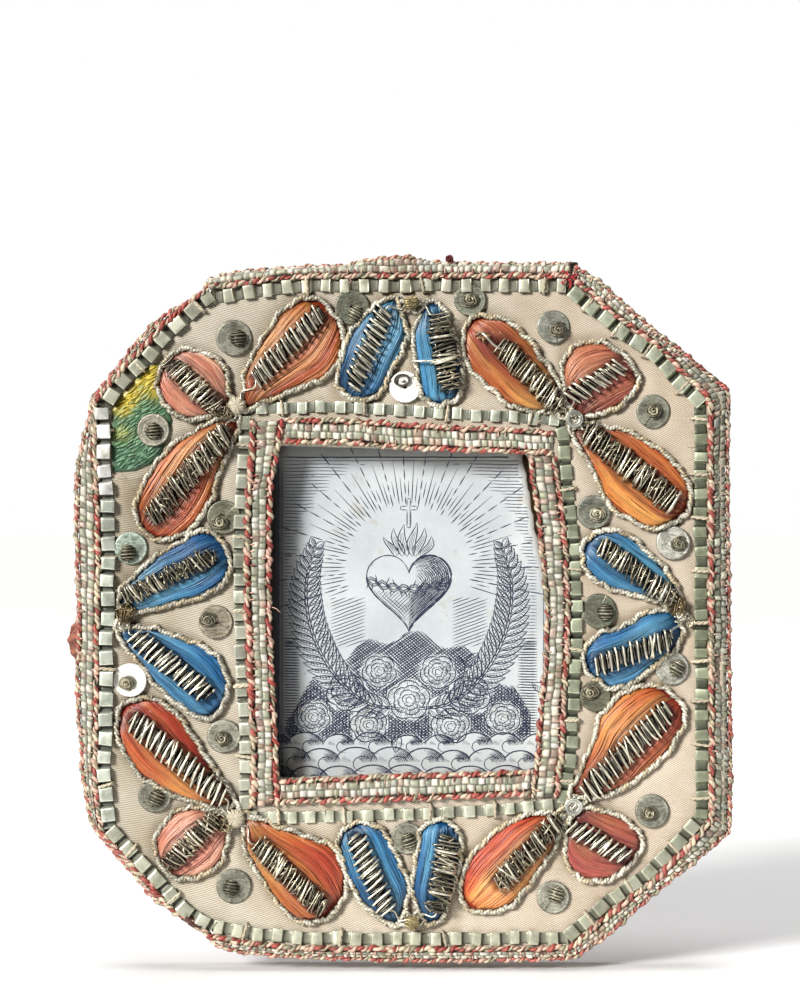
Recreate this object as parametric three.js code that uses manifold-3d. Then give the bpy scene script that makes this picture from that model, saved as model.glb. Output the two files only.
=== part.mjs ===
// An embroidered reliquary: an eight-sided card frame, covered in cream silk, around a
// recessed printed paper.  Silk satin-stitch petals lie in it in pairs and threes, each petal
// edged with twisted cord and crossed by a coil of metal purl.  Sequins fill the spaces
// between, and crimped metal strip and woven metal braid run round the outer edge and
// round the window.
//
// Frame: millimetres, X right, Z up, the front faces -Y.  The origin is the middle of the flat
// back.  Every outline below is [X, Z] as seen from the front, and "depth" is measured
// forwards from the back face, so that a point at depth d lies at Y = -d.
import * as THREE from 'three';
import { mergeVertices } from 'three/addons/utils/BufferGeometryUtils.js';
import Module from 'manifold-3d';

const wasm = await Module();
wasm.setup();

// ---- driving dimensions, mm -------------------------------------------------------------
const BACK_CLOTH = [0, 0.45];      // depth range of the backing cloth
const BACK_BOARD = [0.55, 2.05];   // back card
const PRINT = [2.15, 2.4];         // printed paper between the two cards
const FRONT_BOARD = [2.55, 7.1];   // thick front card with the window
const FRONT_CLOTH = [2.55, 7.55];  // silk over the front card, folded down both of its edges
const CLOTH_T = 0.38;              // the silk's thickness, with its paste
const FIT = 0.08;                  // clearance between a covered card and its cover
const LEAF_PATCH = [7.59, 7.66];   // scrap of figured silk let into one corner
const GROUND = [7.72, 7.9];        // thin stitched ground under a motif
const SILK_TOP = 8.95;             // top of the padded petals
const CORD = [8.0, 8.95];          // twisted outline cord
const CORD_R = 0.48;               // half its width
const COIL = [9.05, 10.9];         // coil of purl on a petal
const STRIP = [7.72, 8.4];         // crimped metal strip
const STRIP_W = 2.0;               // its width
const STRIP_IN_W = 1.75;           // width of the one round the window
const BRAID = [7.72, 8.9];         // woven braid
const SEQUIN = [7.72, 7.97];       // sequin
const BEAD_TOP = 9.1;              // snail of purl that holds a sequin
const EDGE_OVERHANG = 0.95;        // how far the outer braid stands past the covered card
const GAP = 0.12;                  // clearance between neighbouring trims

// ---- outlines, mm -----------------------------------------------------------------------
// EDGE is the outside of the outer braid.  STRIP_* are centrelines of the crimped strips.
// BRAID_IN gives both edges of each length of braid round the window.
const EDGE = [[-29.1,50.25],[-27.15,50.85],[-24.45,51.38],[-21.15,51.6],[-17.7,51.9],[-13.95,52.12],[-7.95,52.35],[-5.85,52.95],[-2.7,53.32],[0.3,53.4],[3.3,53.02],[6.3,52.65],[10.8,52.65],[16.05,52.5],[21.3,52.57],[25.35,52.5],[27.15,51.3],[29.1,50.25],[33.3,46.5],[37.35,42.9],[41.1,40.05],[44.55,37.2],[47.25,35.1],[49.2,33.15],[49.05,24.3],[49.05,16.8],[49.27,1.8],[49.35,-10.2],[49.5,-19.5],[49.5,-26.7],[49.35,-33.0],[47.55,-34.8],[44.85,-36.9],[41.25,-39.75],[37.5,-42.75],[33.6,-46.35],[29.55,-49.8],[27.45,-51.0],[25.65,-52.2],[21.3,-52.35],[16.05,-52.5],[8.55,-52.65],[0.3,-52.57],[-7.95,-52.35],[-15.45,-52.05],[-19.95,-51.75],[-23.7,-51.38],[-26.85,-50.7],[-28.8,-49.95],[-29.55,-48.3],[-31.95,-46.65],[-34.8,-45.0],[-37.65,-43.05],[-39.3,-41.25],[-41.4,-38.55],[-43.65,-35.85],[-45.3,-33.9],[-46.65,-32.1],[-47.4,-29.7],[-48.0,-26.4],[-48.45,-22.95],[-48.6,-19.2],[-49.05,-15.45],[-49.2,-11.7],[-49.12,-7.2],[-48.9,-1.95],[-48.98,1.8],[-49.2,7.8],[-49.35,13.8],[-49.27,19.05],[-48.98,22.8],[-48.3,25.8],[-47.25,29.1],[-46.95,32.25],[-45.45,33.6],[-43.95,35.7],[-41.7,38.62],[-39.45,41.4],[-37.8,43.27],[-34.95,45.3],[-31.8,46.95],[-29.85,48.3]];
const STRIP_OUT = [[-28.5,47.32],[-26.7,47.48],[-23.7,47.91],[-20.25,48.39],[-16.95,48.81],[-7.95,48.99],[7.05,48.99],[17.55,48.99],[24.45,48.96],[28.05,46.05],[29.55,44.4],[32.85,41.85],[37.05,39.0],[40.35,35.55],[43.05,32.7],[44.59,31.05],[44.59,24.3],[44.62,13.8],[44.67,1.8],[44.7,-10.2],[44.77,-19.5],[44.77,-28.2],[44.62,-30.9],[43.05,-32.55],[40.35,-35.4],[37.05,-38.85],[32.85,-41.85],[29.55,-44.55],[26.55,-47.1],[24.75,-48.82],[17.55,-48.96],[7.05,-48.99],[-7.95,-48.99],[-16.95,-48.84],[-23.7,-48.0],[-28.35,-47.25],[-31.05,-45.75],[-33.6,-43.65],[-35.85,-41.25],[-37.5,-39.3],[-39.9,-36.75],[-42.0,-34.65],[-43.8,-32.55],[-44.48,-28.2],[-44.77,-23.7],[-44.55,-18.9],[-44.45,-13.2],[-44.4,-4.2],[-44.31,1.8],[-44.16,7.8],[-44.32,15.3],[-44.7,22.8],[-44.94,28.05],[-44.88,30.75],[-43.65,32.4],[-42.15,34.27],[-39.9,36.67],[-37.5,39.15],[-35.85,40.95],[-33.75,43.2],[-31.2,45.45]];
const STRIP_IN = [[-23.7,30.6],[-21.15,30.6],[-9.45,30.75],[-0.45,30.3],[7.05,29.7],[14.55,29.4],[23.4,28.65],[24.0,27.0],[24.52,19.8],[25.2,13.8],[25.72,7.8],[25.88,1.8],[26.02,-4.2],[25.57,-13.2],[25.27,-19.2],[24.75,-24.45],[24.0,-28.65],[16.05,-29.55],[7.05,-30.0],[-0.45,-30.3],[-9.45,-30.6],[-21.15,-30.75],[-23.4,-30.6],[-23.77,-26.7],[-23.7,-19.2],[-24.0,-13.2],[-24.38,-4.2],[-24.52,1.8],[-24.52,7.8],[-24.3,16.8],[-23.77,25.8]];
const BRAID_IN = {
  left: { out: [[-22.88,28.65],[-23.1,25.8],[-23.4,19.8],[-23.7,16.8],[-23.85,7.8],[-23.85,1.8],[-23.55,-4.2],[-23.25,-13.2],[-22.95,-18.9],[-22.88,-23.7],[-22.95,-29.1]], in: [[-17.85,28.65],[-18.45,25.8],[-19.57,19.8],[-19.8,16.8],[-19.95,7.8],[-19.95,1.8],[-19.8,-4.2],[-19.35,-13.2],[-19.05,-18.9],[-18.9,-23.7],[-18.75,-29.1]] },
  right: { out: [[22.95,23.18],[23.55,19.8],[24.0,16.8],[24.75,9.15],[25.05,1.05],[24.9,-6.9],[24.45,-13.2],[24.3,-19.05],[23.85,-23.7],[23.4,-27.75]], in: [[18.97,23.18],[19.35,19.8],[19.95,16.8],[20.7,9.15],[21.45,1.05],[21.3,-6.9],[20.7,-13.2],[20.25,-19.05],[19.8,-23.7],[19.35,-27.75]] },
  top: { out: [[-17.55,29.1],[-9.45,29.1],[-0.45,28.5],[7.05,28.05],[14.55,27.75],[22.5,27.3]], in: [[-17.55,25.35],[-9.45,25.35],[-0.45,24.6],[7.05,24.3],[14.55,24.07],[22.5,23.7]] },
  bottom: { out: [[-18.3,-28.8],[-9.45,-28.65],[-0.45,-28.35],[7.05,-28.05],[14.55,-27.75],[19.05,-27.6]], in: [[-18.3,-25.2],[-9.45,-24.9],[-0.45,-24.45],[7.05,-24.3],[14.55,-24.07],[19.05,-23.85]] },
};
const PETALS = {
  tl_salmon: [[-25.65,31.8],[-25.95,33.3],[-26.55,36.0],[-27.6,37.8],[-29.7,39.0],[-31.95,39.45],[-34.2,39.0],[-35.7,37.8],[-36.45,36.0],[-36.75,33.6],[-36.15,31.8],[-34.65,30.15],[-33.0,29.25],[-30.75,28.95],[-28.2,29.7],[-26.25,30.6]],
  tl_upper: [[-24.0,33.6],[-23.7,36.3],[-21.15,40.8],[-19.2,44.1],[-17.7,45.6],[-15.45,46.8],[-13.65,46.8],[-12.15,46.65],[-10.65,45.15],[-9.45,43.35],[-9.0,40.8],[-9.45,38.25],[-10.35,36.3],[-11.7,35.1],[-13.95,34.2],[-16.95,33.0],[-19.95,31.8],[-22.2,30.9],[-24.0,30.3]],
  tl_lower: [[-26.7,29.1],[-29.7,28.05],[-32.7,26.4],[-34.95,24.6],[-36.75,22.8],[-37.95,21.0],[-39.0,19.05],[-39.75,17.25],[-40.05,15.6],[-39.9,13.8],[-39.3,12.3],[-37.95,11.25],[-36.45,10.88],[-34.65,10.95],[-33.0,11.85],[-31.2,13.05],[-29.7,15.0],[-28.65,17.1],[-27.9,19.8],[-27.0,22.35],[-25.95,24.3],[-24.9,26.55],[-24.75,28.5]],
  lf_upper: [[-42.75,1.8],[-42.15,3.6],[-40.2,5.55],[-38.7,6.9],[-36.45,8.85],[-34.2,10.05],[-31.95,11.55],[-29.7,12.15],[-28.2,11.55],[-27.15,10.8],[-26.25,9.0],[-25.8,7.05],[-26.4,5.1],[-27.45,3.9],[-28.95,2.85],[-31.2,1.95],[-34.2,1.35],[-36.45,0.6],[-38.7,0.0],[-40.95,0.0],[-42.45,0.9]],
  lf_lower: [[-42.75,-1.5],[-40.95,-2.1],[-37.95,-2.4],[-35.7,-3.0],[-32.7,-3.9],[-30.45,-4.65],[-28.65,-6.0],[-27.3,-7.5],[-26.4,-9.45],[-25.95,-10.95],[-26.4,-12.9],[-27.15,-14.4],[-28.5,-15.45],[-30.0,-15.9],[-31.95,-15.3],[-33.45,-14.1],[-34.95,-12.9],[-36.45,-11.4],[-37.65,-10.2],[-38.7,-8.7],[-40.65,-6.45],[-42.15,-4.2],[-42.9,-2.4]],
  tp_left: [[-1.2,47.1],[-0.6,46.05],[0.3,43.8],[0.6,41.55],[-0.15,39.3],[-1.2,37.05],[-2.25,34.8],[-3.45,33.0],[-4.95,32.1],[-7.2,31.8],[-8.7,32.25],[-9.45,33.3],[-9.9,35.1],[-9.45,37.5],[-8.7,40.05],[-7.65,42.0],[-6.15,44.1],[-4.65,45.6],[-2.7,46.8]],
  tp_right: [[3.75,46.5],[2.85,45.6],[1.95,43.5],[1.5,41.55],[1.65,39.3],[1.95,37.05],[2.4,34.8],[2.85,32.55],[4.05,31.35],[5.55,30.9],[7.35,31.5],[8.55,32.85],[9.0,34.8],[8.85,37.05],[8.25,39.3],[7.35,41.55],[6.75,43.8],[6.0,45.6],[4.8,46.5]],
  tr_upper: [[9.0,40.05],[9.0,41.55],[9.3,42.9],[10.35,44.1],[12.3,44.4],[14.55,44.1],[16.8,43.05],[18.3,41.55],[19.5,40.05],[20.55,38.55],[21.6,37.05],[22.8,35.1],[23.85,32.55],[24.15,30.6],[22.05,30.0],[19.8,30.0],[17.25,30.6],[15.3,31.5],[13.8,32.85],[11.85,34.5],[10.35,36.0],[9.45,37.8]],
  tr_salmon: [[24.3,31.5],[24.0,34.05],[23.85,36.3],[24.45,38.55],[25.8,40.05],[28.05,40.65],[30.3,40.35],[32.25,39.3],[33.9,37.65],[35.1,35.7],[35.1,33.75],[34.05,32.25],[32.25,30.9],[30.3,30.0],[27.75,29.25],[26.25,29.1]],
  tr_lower: [[25.05,27.3],[27.0,28.05],[28.8,28.2],[31.05,27.75],[33.3,27.3],[35.55,26.25],[37.35,25.05],[39.0,23.85],[40.5,22.5],[41.85,20.85],[42.9,19.05],[43.2,17.25],[42.9,15.6],[41.85,14.4],[40.35,13.35],[38.55,12.6],[36.75,12.6],[34.8,13.35],[32.85,14.55],[31.05,16.05],[29.85,17.55],[29.1,19.8],[28.05,22.05],[26.85,24.3],[25.8,25.8]],
  rt_upper: [[27.75,10.8],[28.8,11.85],[30.3,12.3],[32.55,12.15],[34.35,11.1],[36.3,9.3],[37.8,8.1],[39.3,6.3],[40.5,4.5],[41.55,2.55],[42.0,1.05],[40.05,1.05],[37.8,1.8],[36.3,2.25],[34.05,2.55],[31.8,3.3],[29.85,4.05],[28.35,5.25],[27.3,6.6],[26.85,8.1],[27.0,9.6]],
  rt_lower: [[38.55,0.3],[36.3,-0.15],[34.05,-1.5],[31.8,-2.25],[29.55,-3.15],[28.05,-4.2],[27.15,-5.7],[27.15,-7.95],[27.75,-9.45],[29.55,-10.2],[30.75,-11.4],[32.55,-11.25],[34.8,-10.5],[36.3,-9.15],[38.25,-7.65],[40.05,-6.45],[41.25,-4.95],[42.0,-3.0],[41.55,-1.2],[40.8,0.3]],
  bl_upper: [[-25.17,-28.78],[-25.65,-27.06],[-27.1,-25.09],[-28.52,-23.39],[-29.89,-21.16],[-31.12,-18.79],[-32.55,-16.95],[-34.05,-15.0],[-35.85,-13.8],[-37.5,-12.9],[-39.3,-12.82],[-40.8,-13.2],[-42.15,-14.25],[-42.75,-15.75],[-42.9,-17.55],[-42.6,-19.2],[-41.85,-21.0],[-40.78,-22.94],[-39.23,-24.5],[-37.0,-26.0],[-34.26,-27.46],[-30.66,-28.71],[-27.14,-29.4]],
  bl_salmon: [[-26.3,-30.67],[-28.33,-29.88],[-30.98,-29.26],[-33.31,-29.66],[-35.02,-30.64],[-36.57,-32.36],[-37.2,-34.2],[-36.9,-36.6],[-36.15,-38.4],[-34.65,-39.6],[-32.37,-40.0],[-30.05,-39.47],[-27.88,-38.17],[-26.75,-36.27],[-26.05,-33.43],[-25.69,-31.86]],
  bl_lower: [[-23.97,-30.27],[-22.13,-30.83],[-19.81,-31.66],[-16.73,-32.78],[-13.64,-33.89],[-11.32,-34.72],[-9.93,-35.88],[-9.0,-37.8],[-8.55,-40.35],[-9.0,-42.9],[-10.2,-44.7],[-11.7,-46.2],[-13.2,-46.35],[-15.0,-46.35],[-17.25,-45.15],[-18.81,-43.71],[-20.86,-40.51],[-23.55,-36.15],[-23.92,-33.52]],
  br_upper: [[25.63,-25.48],[26.59,-23.82],[27.65,-21.32],[28.57,-18.82],[29.19,-16.34],[30.29,-14.65],[31.97,-12.94],[33.9,-11.7],[35.85,-10.95],[37.65,-10.95],[39.45,-11.7],[40.95,-12.75],[42.0,-13.95],[42.3,-15.6],[42.0,-17.4],[40.95,-19.2],[39.62,-20.88],[38.22,-22.42],[36.68,-23.82],[34.99,-25.22],[32.87,-26.52],[30.75,-27.2],[28.62,-27.88],[26.91,-27.89],[24.95,-27.12]],
  br_salmon: [[26.28,-29.08],[27.86,-29.2],[30.54,-29.88],[32.59,-30.73],[34.5,-32.02],[35.63,-33.49],[35.68,-35.41],[34.5,-37.35],[32.85,-39.0],[30.9,-40.05],[28.65,-40.35],[26.36,-39.77],[24.93,-38.31],[24.23,-36.11],[24.27,-33.92],[24.44,-31.43]],
  br_lower: [[9.15,-38.4],[10.05,-36.6],[11.58,-35.04],[13.57,-33.3],[15.11,-31.89],[17.09,-30.91],[19.69,-30.22],[21.98,-30.14],[24.11,-30.68],[23.78,-32.7],[22.68,-35.35],[21.44,-37.38],[20.35,-38.95],[19.27,-40.51],[18.03,-42.08],[16.5,-43.65],[14.25,-44.7],[12.0,-45.0],[10.05,-44.7],[9.0,-43.5],[8.7,-42.15],[8.7,-40.65]],
  bt_left: [[-2.4,-46.5],[-4.35,-45.3],[-5.85,-43.8],[-7.35,-41.7],[-8.4,-39.75],[-9.15,-37.2],[-9.6,-34.8],[-9.15,-33.0],[-8.4,-31.95],[-6.9,-31.5],[-4.65,-31.8],[-3.15,-32.7],[-1.95,-34.5],[-0.9,-36.75],[0.15,-39.0],[0.9,-41.25],[0.6,-43.5],[-0.3,-45.75],[-0.9,-46.8]],
  bt_right: [[4.65,-46.65],[5.85,-45.75],[6.6,-43.95],[7.2,-41.7],[8.1,-39.45],[8.7,-37.2],[8.85,-34.95],[8.4,-33.0],[7.2,-31.65],[5.4,-31.05],[3.9,-31.5],[2.7,-32.7],[2.25,-34.95],[1.8,-37.2],[1.5,-39.45],[1.35,-41.7],[1.8,-43.65],[2.7,-45.75],[3.6,-46.65]],
};
const COILS = {
  tl_salmon: { a: [-34.95,37.5], b: [-27.75,30.3], w: 3.3 },
  tl_upper: { a: [-22.05,34.8], b: [-12.15,45.0], w: 3.6 },
  tl_lower: { a: [-26.25,27.3], b: [-37.95,13.8], w: 3.9 },
  lf_upper: { a: [-41.7,2.25], b: [-28.2,8.55], w: 3.0 },
  lf_lower: { a: [-40.2,-3.45], b: [-28.95,-12.45], w: 3.6 },
  tp_left: { a: [-2.7,45.0], b: [-7.65,33.6], w: 3.6 },
  tp_right: { a: [5.25,44.55], b: [7.05,33.3], w: 3.9 },
  tr_upper: { a: [14.55,40.05], b: [23.55,30.6], w: 3.6 },
  tr_salmon: { a: [25.05,32.1], b: [32.85,37.05], w: 3.3 },
  tr_lower: { a: [27.3,27.3], b: [40.8,16.05], w: 4.2 },
  rt_upper: { a: [29.55,10.05], b: [40.35,1.8], w: 3.3 },
  rt_lower: { a: [28.8,-7.95], b: [40.35,-3.9], w: 3.6 },
  bl_upper: { a: [-26.91,-27.75], b: [-40.8,-15.75], w: 3.9 },
  bl_salmon: { a: [-35.4,-38.1], b: [-27.86,-30.45], w: 3.3 },
  bl_lower: { a: [-21.92,-34.67], b: [-11.7,-44.55], w: 3.6 },
  br_upper: { a: [27.17,-27.07], b: [39.9,-14.4], w: 4.2 },
  br_salmon: { a: [25.21,-32.02], b: [33.39,-36.78], w: 3.3 },
  br_lower: { a: [14.26,-40.62], b: [23.5,-30.7], w: 3.6 },
  bt_left: { a: [-2.4,-44.7], b: [-7.35,-33.3], w: 3.6 },
  bt_right: { a: [5.1,-44.7], b: [6.9,-33.45], w: 3.9 },
};
const MOTIFS = {
  top_left: { petals: ["tl_salmon", "tl_upper", "tl_lower"], c: [-24.9,30.9], r: 1.35 },
  top_right: { petals: ["tr_upper", "tr_salmon", "tr_lower"], c: [25.65,28.95], r: 1.35 },
  bottom_left: { petals: ["bl_upper", "bl_salmon", "bl_lower"], c: [-25.05,-30.9], r: 1.35 },
  bottom_right: { petals: ["br_upper", "br_salmon", "br_lower"], c: [25.5,-29.1], r: 1.35 },
  top_mid: { petals: ["tp_left", "tp_right"], c: [1.2,46.35], r: 1.2 },
  bottom_mid: { petals: ["bt_left", "bt_right"], c: [1.35,-46.35], r: 1.2 },
  left_mid: { petals: ["lf_upper", "lf_lower"], c: [-42.15,-0.6], r: 1.05 },
  right_mid: { petals: ["rt_upper", "rt_lower"], c: [41.7,0.45], r: 1.05 },
};
const SEQUINS = [[-37.42,27.3,2.48,-37.42,27.15],[-25.35,41.1,2.7,-24.75,41.1],[-7.65,45.67,2.62,-7.2,44.7],[0.3,33.75,2.4,0.0,34.5],[10.05,46.8,2.4,10.05,46.8],[22.57,42.75,2.48,23.25,42.3],[37.5,30.07,2.55,37.5,30.15],[-26.85,14.25,2.55,-27.45,13.5],[-40.8,9.6,2.48,-41.25,8.85],[-28.05,-1.5,2.55,-29.25,-1.2],[-40.95,-10.2,2.55,-41.4,-10.65],[-26.85,-18.6,2.55,-27.15,-18.9],[28.57,15.0,2.55,29.1,14.7],[40.5,10.35,2.55,41.4,10.2],[29.4,0.15,2.62,30.3,0.0],[40.35,-8.4,2.55,41.1,-8.4],[28.8,-12.6,2.32,28.05,-12.0],[-37.2,-27.6,2.48,-36.9,-27.9],[-25.35,-41.1,2.62,-25.8,-41.4],[0.6,-33.9,2.4,0.9,-34.35],[22.5,-42.75,2.48,22.95,-42.3],[37.35,-29.85,2.55,36.9,-30.15]];
const LEAF = [[-42.45,32.1],[-43.65,30.3],[-43.8,25.8],[-43.5,21.0],[-40.2,21.15],[-37.95,22.2],[-36.45,23.55],[-34.95,27.3],[-34.65,28.8],[-35.7,31.05],[-36.75,32.85],[-36.45,35.1],[-36.75,37.2],[-37.95,36.9],[-39.45,35.55],[-41.25,33.6]];
// The window as the silk leaves it, and the printed paper, whose right edge curls clear of it.
const WINDOW = [[-19.5,24.75],[0,24.2],[18.5,23.45],[19.85,16.8],[20.7,9.1],[21.45,1],[21.3,-7],[20.7,-13.2],[20.25,-19],[19.5,-24],[0,-24.3],[-18.45,-25],[-19.2,-13.2],[-19.95,1.8],[-19.95,7.8],[-19.8,16.8]];
const PAPER = [[-22.9,28],[17.8,28],[18,23.85],[19.05,18.3],[19.95,12.6],[21.45,6],[22.6,0],[23.2,-13.2],[23.2,-28],[-22.9,-28]];

// ---- outline helpers ----------------------------------------------------------------------
const v2 = (p) => new THREE.Vector2(p[0], p[1]);
const ccw = (pts) => (THREE.ShapeUtils.area(pts.map(v2)) < 0 ? pts.slice().reverse() : pts.slice());

// Drops points that lie within tol of the line between the ones kept.
function simplify(pts, tol) {
  const n = pts.length;
  const line = [...pts, pts[0]];
  const keep = new Array(n + 1).fill(false);
  let far = 0;
  for (let i = 1; i < n; i++) if (Math.hypot(line[i][0] - line[0][0], line[i][1] - line[0][1]) > Math.hypot(line[far][0] - line[0][0], line[far][1] - line[0][1])) far = i;
  keep[0] = keep[n] = keep[far] = true;
  const todo = [[0, far], [far, n]];
  while (todo.length) {
    const [a, b] = todo.pop();
    const dx = line[b][0] - line[a][0], dz = line[b][1] - line[a][1], l = Math.hypot(dx, dz) || 1;
    let worst = 0, at = -1;
    for (let i = a + 1; i < b; i++) {
      const off = Math.abs((line[i][0] - line[a][0]) * dz - (line[i][1] - line[a][1]) * dx) / l;
      if (off > worst) { worst = off; at = i; }
    }
    if (worst > tol) { keep[at] = true; todo.push([a, at], [at, b]); }
  }
  return line.slice(0, n).filter((_, i) => keep[i]);
}

// Moves a closed outline outwards by d, or inwards where d is negative, with mitred corners.
function grow(pts, d) {
  const p = ccw(pts), n = p.length, out = [];
  for (let i = 0; i < n; i++) {
    const a = p[(i + n - 1) % n], b = p[i], c = p[(i + 1) % n];
    const u = v2(b).sub(v2(a)).normalize(), w = v2(c).sub(v2(b)).normalize();
    const nu = new THREE.Vector2(u.y, -u.x), nw = new THREE.Vector2(w.y, -w.x);
    const m = nu.clone().add(nw).normalize();
    const k = Math.min(1 / Math.max(m.dot(nu), 0.2), 1.6);
    out.push([b[0] + m.x * d * k, b[1] + m.y * d * k]);
  }
  return out;
}

// A closed smooth outline through the points, as n points evenly along it.
function smooth(pts, n) {
  const c = new THREE.CatmullRomCurve3(pts.map((p) => new THREE.Vector3(p[0], p[1], 0)), true, 'centripetal');
  return ccw(c.getSpacedPoints(n).slice(0, n).map((p) => [p.x, p.y]));
}
function middle(pts) {
  const n = pts.length;
  return [pts.reduce((s, p) => s + p[0], 0) / n, pts.reduce((s, p) => s + p[1], 0) / n];
}

// ---- solids -------------------------------------------------------------------------------
// Turns a shape drawn as [X, Z] and extruded forwards into the part's frame.
function prism(outline, d0, d1, holes = [], bevel = 0) {
  const shape = new THREE.Shape(ccw(outline).map(v2));
  for (const h of holes) shape.holes.push(new THREE.Path(ccw(h).reverse().map(v2)));
  const g = new THREE.ExtrudeGeometry(shape, {
    depth: d1 - d0 - bevel, steps: 1, curveSegments: 4,
    bevelEnabled: bevel > 0, bevelThickness: bevel, bevelSize: bevel, bevelSegments: 1,
  });
  g.translate(0, 0, d0);
  g.rotateX(Math.PI / 2);
  return g;
}
function solid(geometry) {
  const g = geometry.index ? geometry.toNonIndexed() : geometry.clone();
  g.deleteAttribute('normal');
  if (g.attributes.uv) g.deleteAttribute('uv');
  const m = mergeVertices(g, 1e-4);
  return new wasm.Manifold(new wasm.Mesh({
    numProp: 3,
    vertProperties: new Float32Array(m.attributes.position.array),
    triVerts: new Uint32Array(m.index.array),
  }));
}
function geometryOf(manifold) {
  const mesh = manifold.getMesh();
  const pos = new Float32Array(mesh.numVert * 3);
  for (let i = 0; i < mesh.numVert; i++) for (let k = 0; k < 3; k++) pos[i * 3 + k] = mesh.vertProperties[i * mesh.numProp + k];
  const g = new THREE.BufferGeometry();
  g.setAttribute('position', new THREE.BufferAttribute(pos, 3));
  g.setIndex(new THREE.BufferAttribute(new Uint32Array(mesh.triVerts), 1));
  g.computeVertexNormals();
  return g;
}
const sprism = (...a) => solid(prism(...a));
const joined = (list) => list.reduce((a, b) => a.add(b));
const cut = (a, list) => list.reduce((s, b) => s.subtract(b), a);
const largest = (m) => m.decompose().sort((a, b) => b.volume() - a.volume())[0];

// A flat bar of width w from p to q, between two depths.
function bar(p, q, w, d0, d1) {
  const l = Math.hypot(q[0] - p[0], q[1] - p[1]);
  const g = new THREE.BoxGeometry(l, w, d1 - d0);
  g.rotateZ(Math.atan2(q[1] - p[1], q[0] - p[0]));
  g.translate((p[0] + q[0]) / 2, (p[1] + q[1]) / 2, (d0 + d1) / 2);
  g.rotateX(Math.PI / 2);
  return solid(g);
}
function disc(c, r, d0, d1, n = 12) {
  const g = new THREE.CylinderGeometry(r, r, d1 - d0, n);
  g.translate(0, (d0 + d1) / 2, 0);
  g.rotateX(Math.PI);
  g.translate(c[0], 0, c[1]);
  return solid(g);
}
// A coil's envelope: an oval rod with domed ends along a-b.
function rod(a, b, w, d0, d1) {
  const l = Math.hypot(b[0] - a[0], b[1] - a[1]);
  const profile = [[0, -l / 2], [0.7, -l / 2], [1, -l / 2 + 0.5], [1, l / 2 - 0.5], [0.7, l / 2], [0, l / 2]];
  const g = new THREE.LatheGeometry(profile.map(v2), 8);
  g.scale(w / 2, 1, (d1 - d0) / 2);
  g.rotateZ(Math.atan2(b[1] - a[1], b[0] - a[0]) - Math.PI / 2);
  g.translate((a[0] + b[0]) / 2, (a[1] + b[1]) / 2, (d0 + d1) / 2);
  g.rotateX(Math.PI / 2);
  return solid(g);
}

// ---- the scene graph ------------------------------------------------------------------------
const group = new THREE.Group();
const looks = {
  backing: [0x8a4a38, 0.9, 0], card: [0xb9a27c, 0.9, 0], paper: [0xcdd4da, 0.85, 0],
  silk: [0xcdbea8, 0.7, 0], figured: [0x3c7850, 0.6, 0], braid: [0xb5b09a, 0.5, 0.4],
  strip: [0x969b87, 0.35, 0.9], cord: [0xc8c0aa, 0.55, 0.3], purl: [0x8c8670, 0.4, 0.9],
  sequin: [0x8c9187, 0.4, 0.9], orange: [0xcd6e37, 0.45, 0], salmon: [0xd78269, 0.45, 0],
  blue: [0x3264a5, 0.45, 0],
};
function add(name, look, manifoldOrGeometry) {
  const g = manifoldOrGeometry.isBufferGeometry ? manifoldOrGeometry : geometryOf(manifoldOrGeometry);
  const [color, roughness, metalness] = looks[look];
  const mesh = new THREE.Mesh(g, new THREE.MeshStandardMaterial({ color, roughness, metalness, name: look }));
  mesh.name = name;
  group.add(mesh);
  return mesh;
}

// ---- cards, cloths and print ----------------------------------------------------------------
const edge = simplify(EDGE, 0.2);
const clothOuter = grow(edge, -EDGE_OVERHANG);
const clothWindow = grow(WINDOW, 0.3);
const boardOuter = grow(clothOuter, -(CLOTH_T + FIT));
const boardWindow = grow(clothWindow, CLOTH_T + FIT);

add('back_cloth', 'backing', prism(grow(edge, -1.2), ...BACK_CLOTH));
add('back_board', 'card', prism(grow(edge, -1.6), ...BACK_BOARD));
add('picture_print', 'paper', prism(PAPER, ...PRINT));
add('front_board', 'card', prism(boardOuter, ...FRONT_BOARD, [boardWindow]));
const skin = sprism(clothOuter, ...FRONT_CLOTH, [clothWindow]);
const hollow = sprism(grow(clothOuter, -CLOTH_T), FRONT_CLOTH[0] - 1, FRONT_BOARD[1] + FIT, [grow(clothWindow, CLOTH_T)]);
add('front_cloth', 'silk', skin.subtract(hollow));

// ---- crimped strips and braids ----------------------------------------------------------------
const stripOut = simplify(STRIP_OUT, 0.15), stripIn = simplify(STRIP_IN, 0.12);
const braids = Object.fromEntries(Object.entries(BRAID_IN).map(([k, b]) => [k, simplify([...b.out, ...b.in.slice().reverse()], 0.06)]));
for (const [k, outline] of Object.entries(braids)) add(`inner_braid_${k}`, 'braid', prism(outline, ...BRAID));

const stripOuterLine = grow(stripOut, STRIP_W / 2);
const outerBraid = sprism(edge, ...BRAID, [grow(stripOuterLine, GAP)]);
// The length along the top is a separate piece, whose outer half rolls over the card's edge.
const TOP_RUN = [[-29.3, 46.6], [-30.2, 60], [26.6, 60], [24.6, 46.6]];
const lip = cut(sprism(edge, 5.6, BRAID[1]), [sprism(grow(clothOuter, GAP), 5, 7.65), sprism(grow(clothOuter, -0.35), 7.6, 10), sprism(grow(stripOuterLine, GAP), 7.6, 10)]);
const topRun = sprism(TOP_RUN, 0, 12);
add('outer_braid_top', 'braid', outerBraid.intersect(topRun).add(lip.intersect(topRun)));
add('outer_braid_sides', 'braid', outerBraid.subtract(sprism(grow(TOP_RUN, GAP), 0, 12)));

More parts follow.
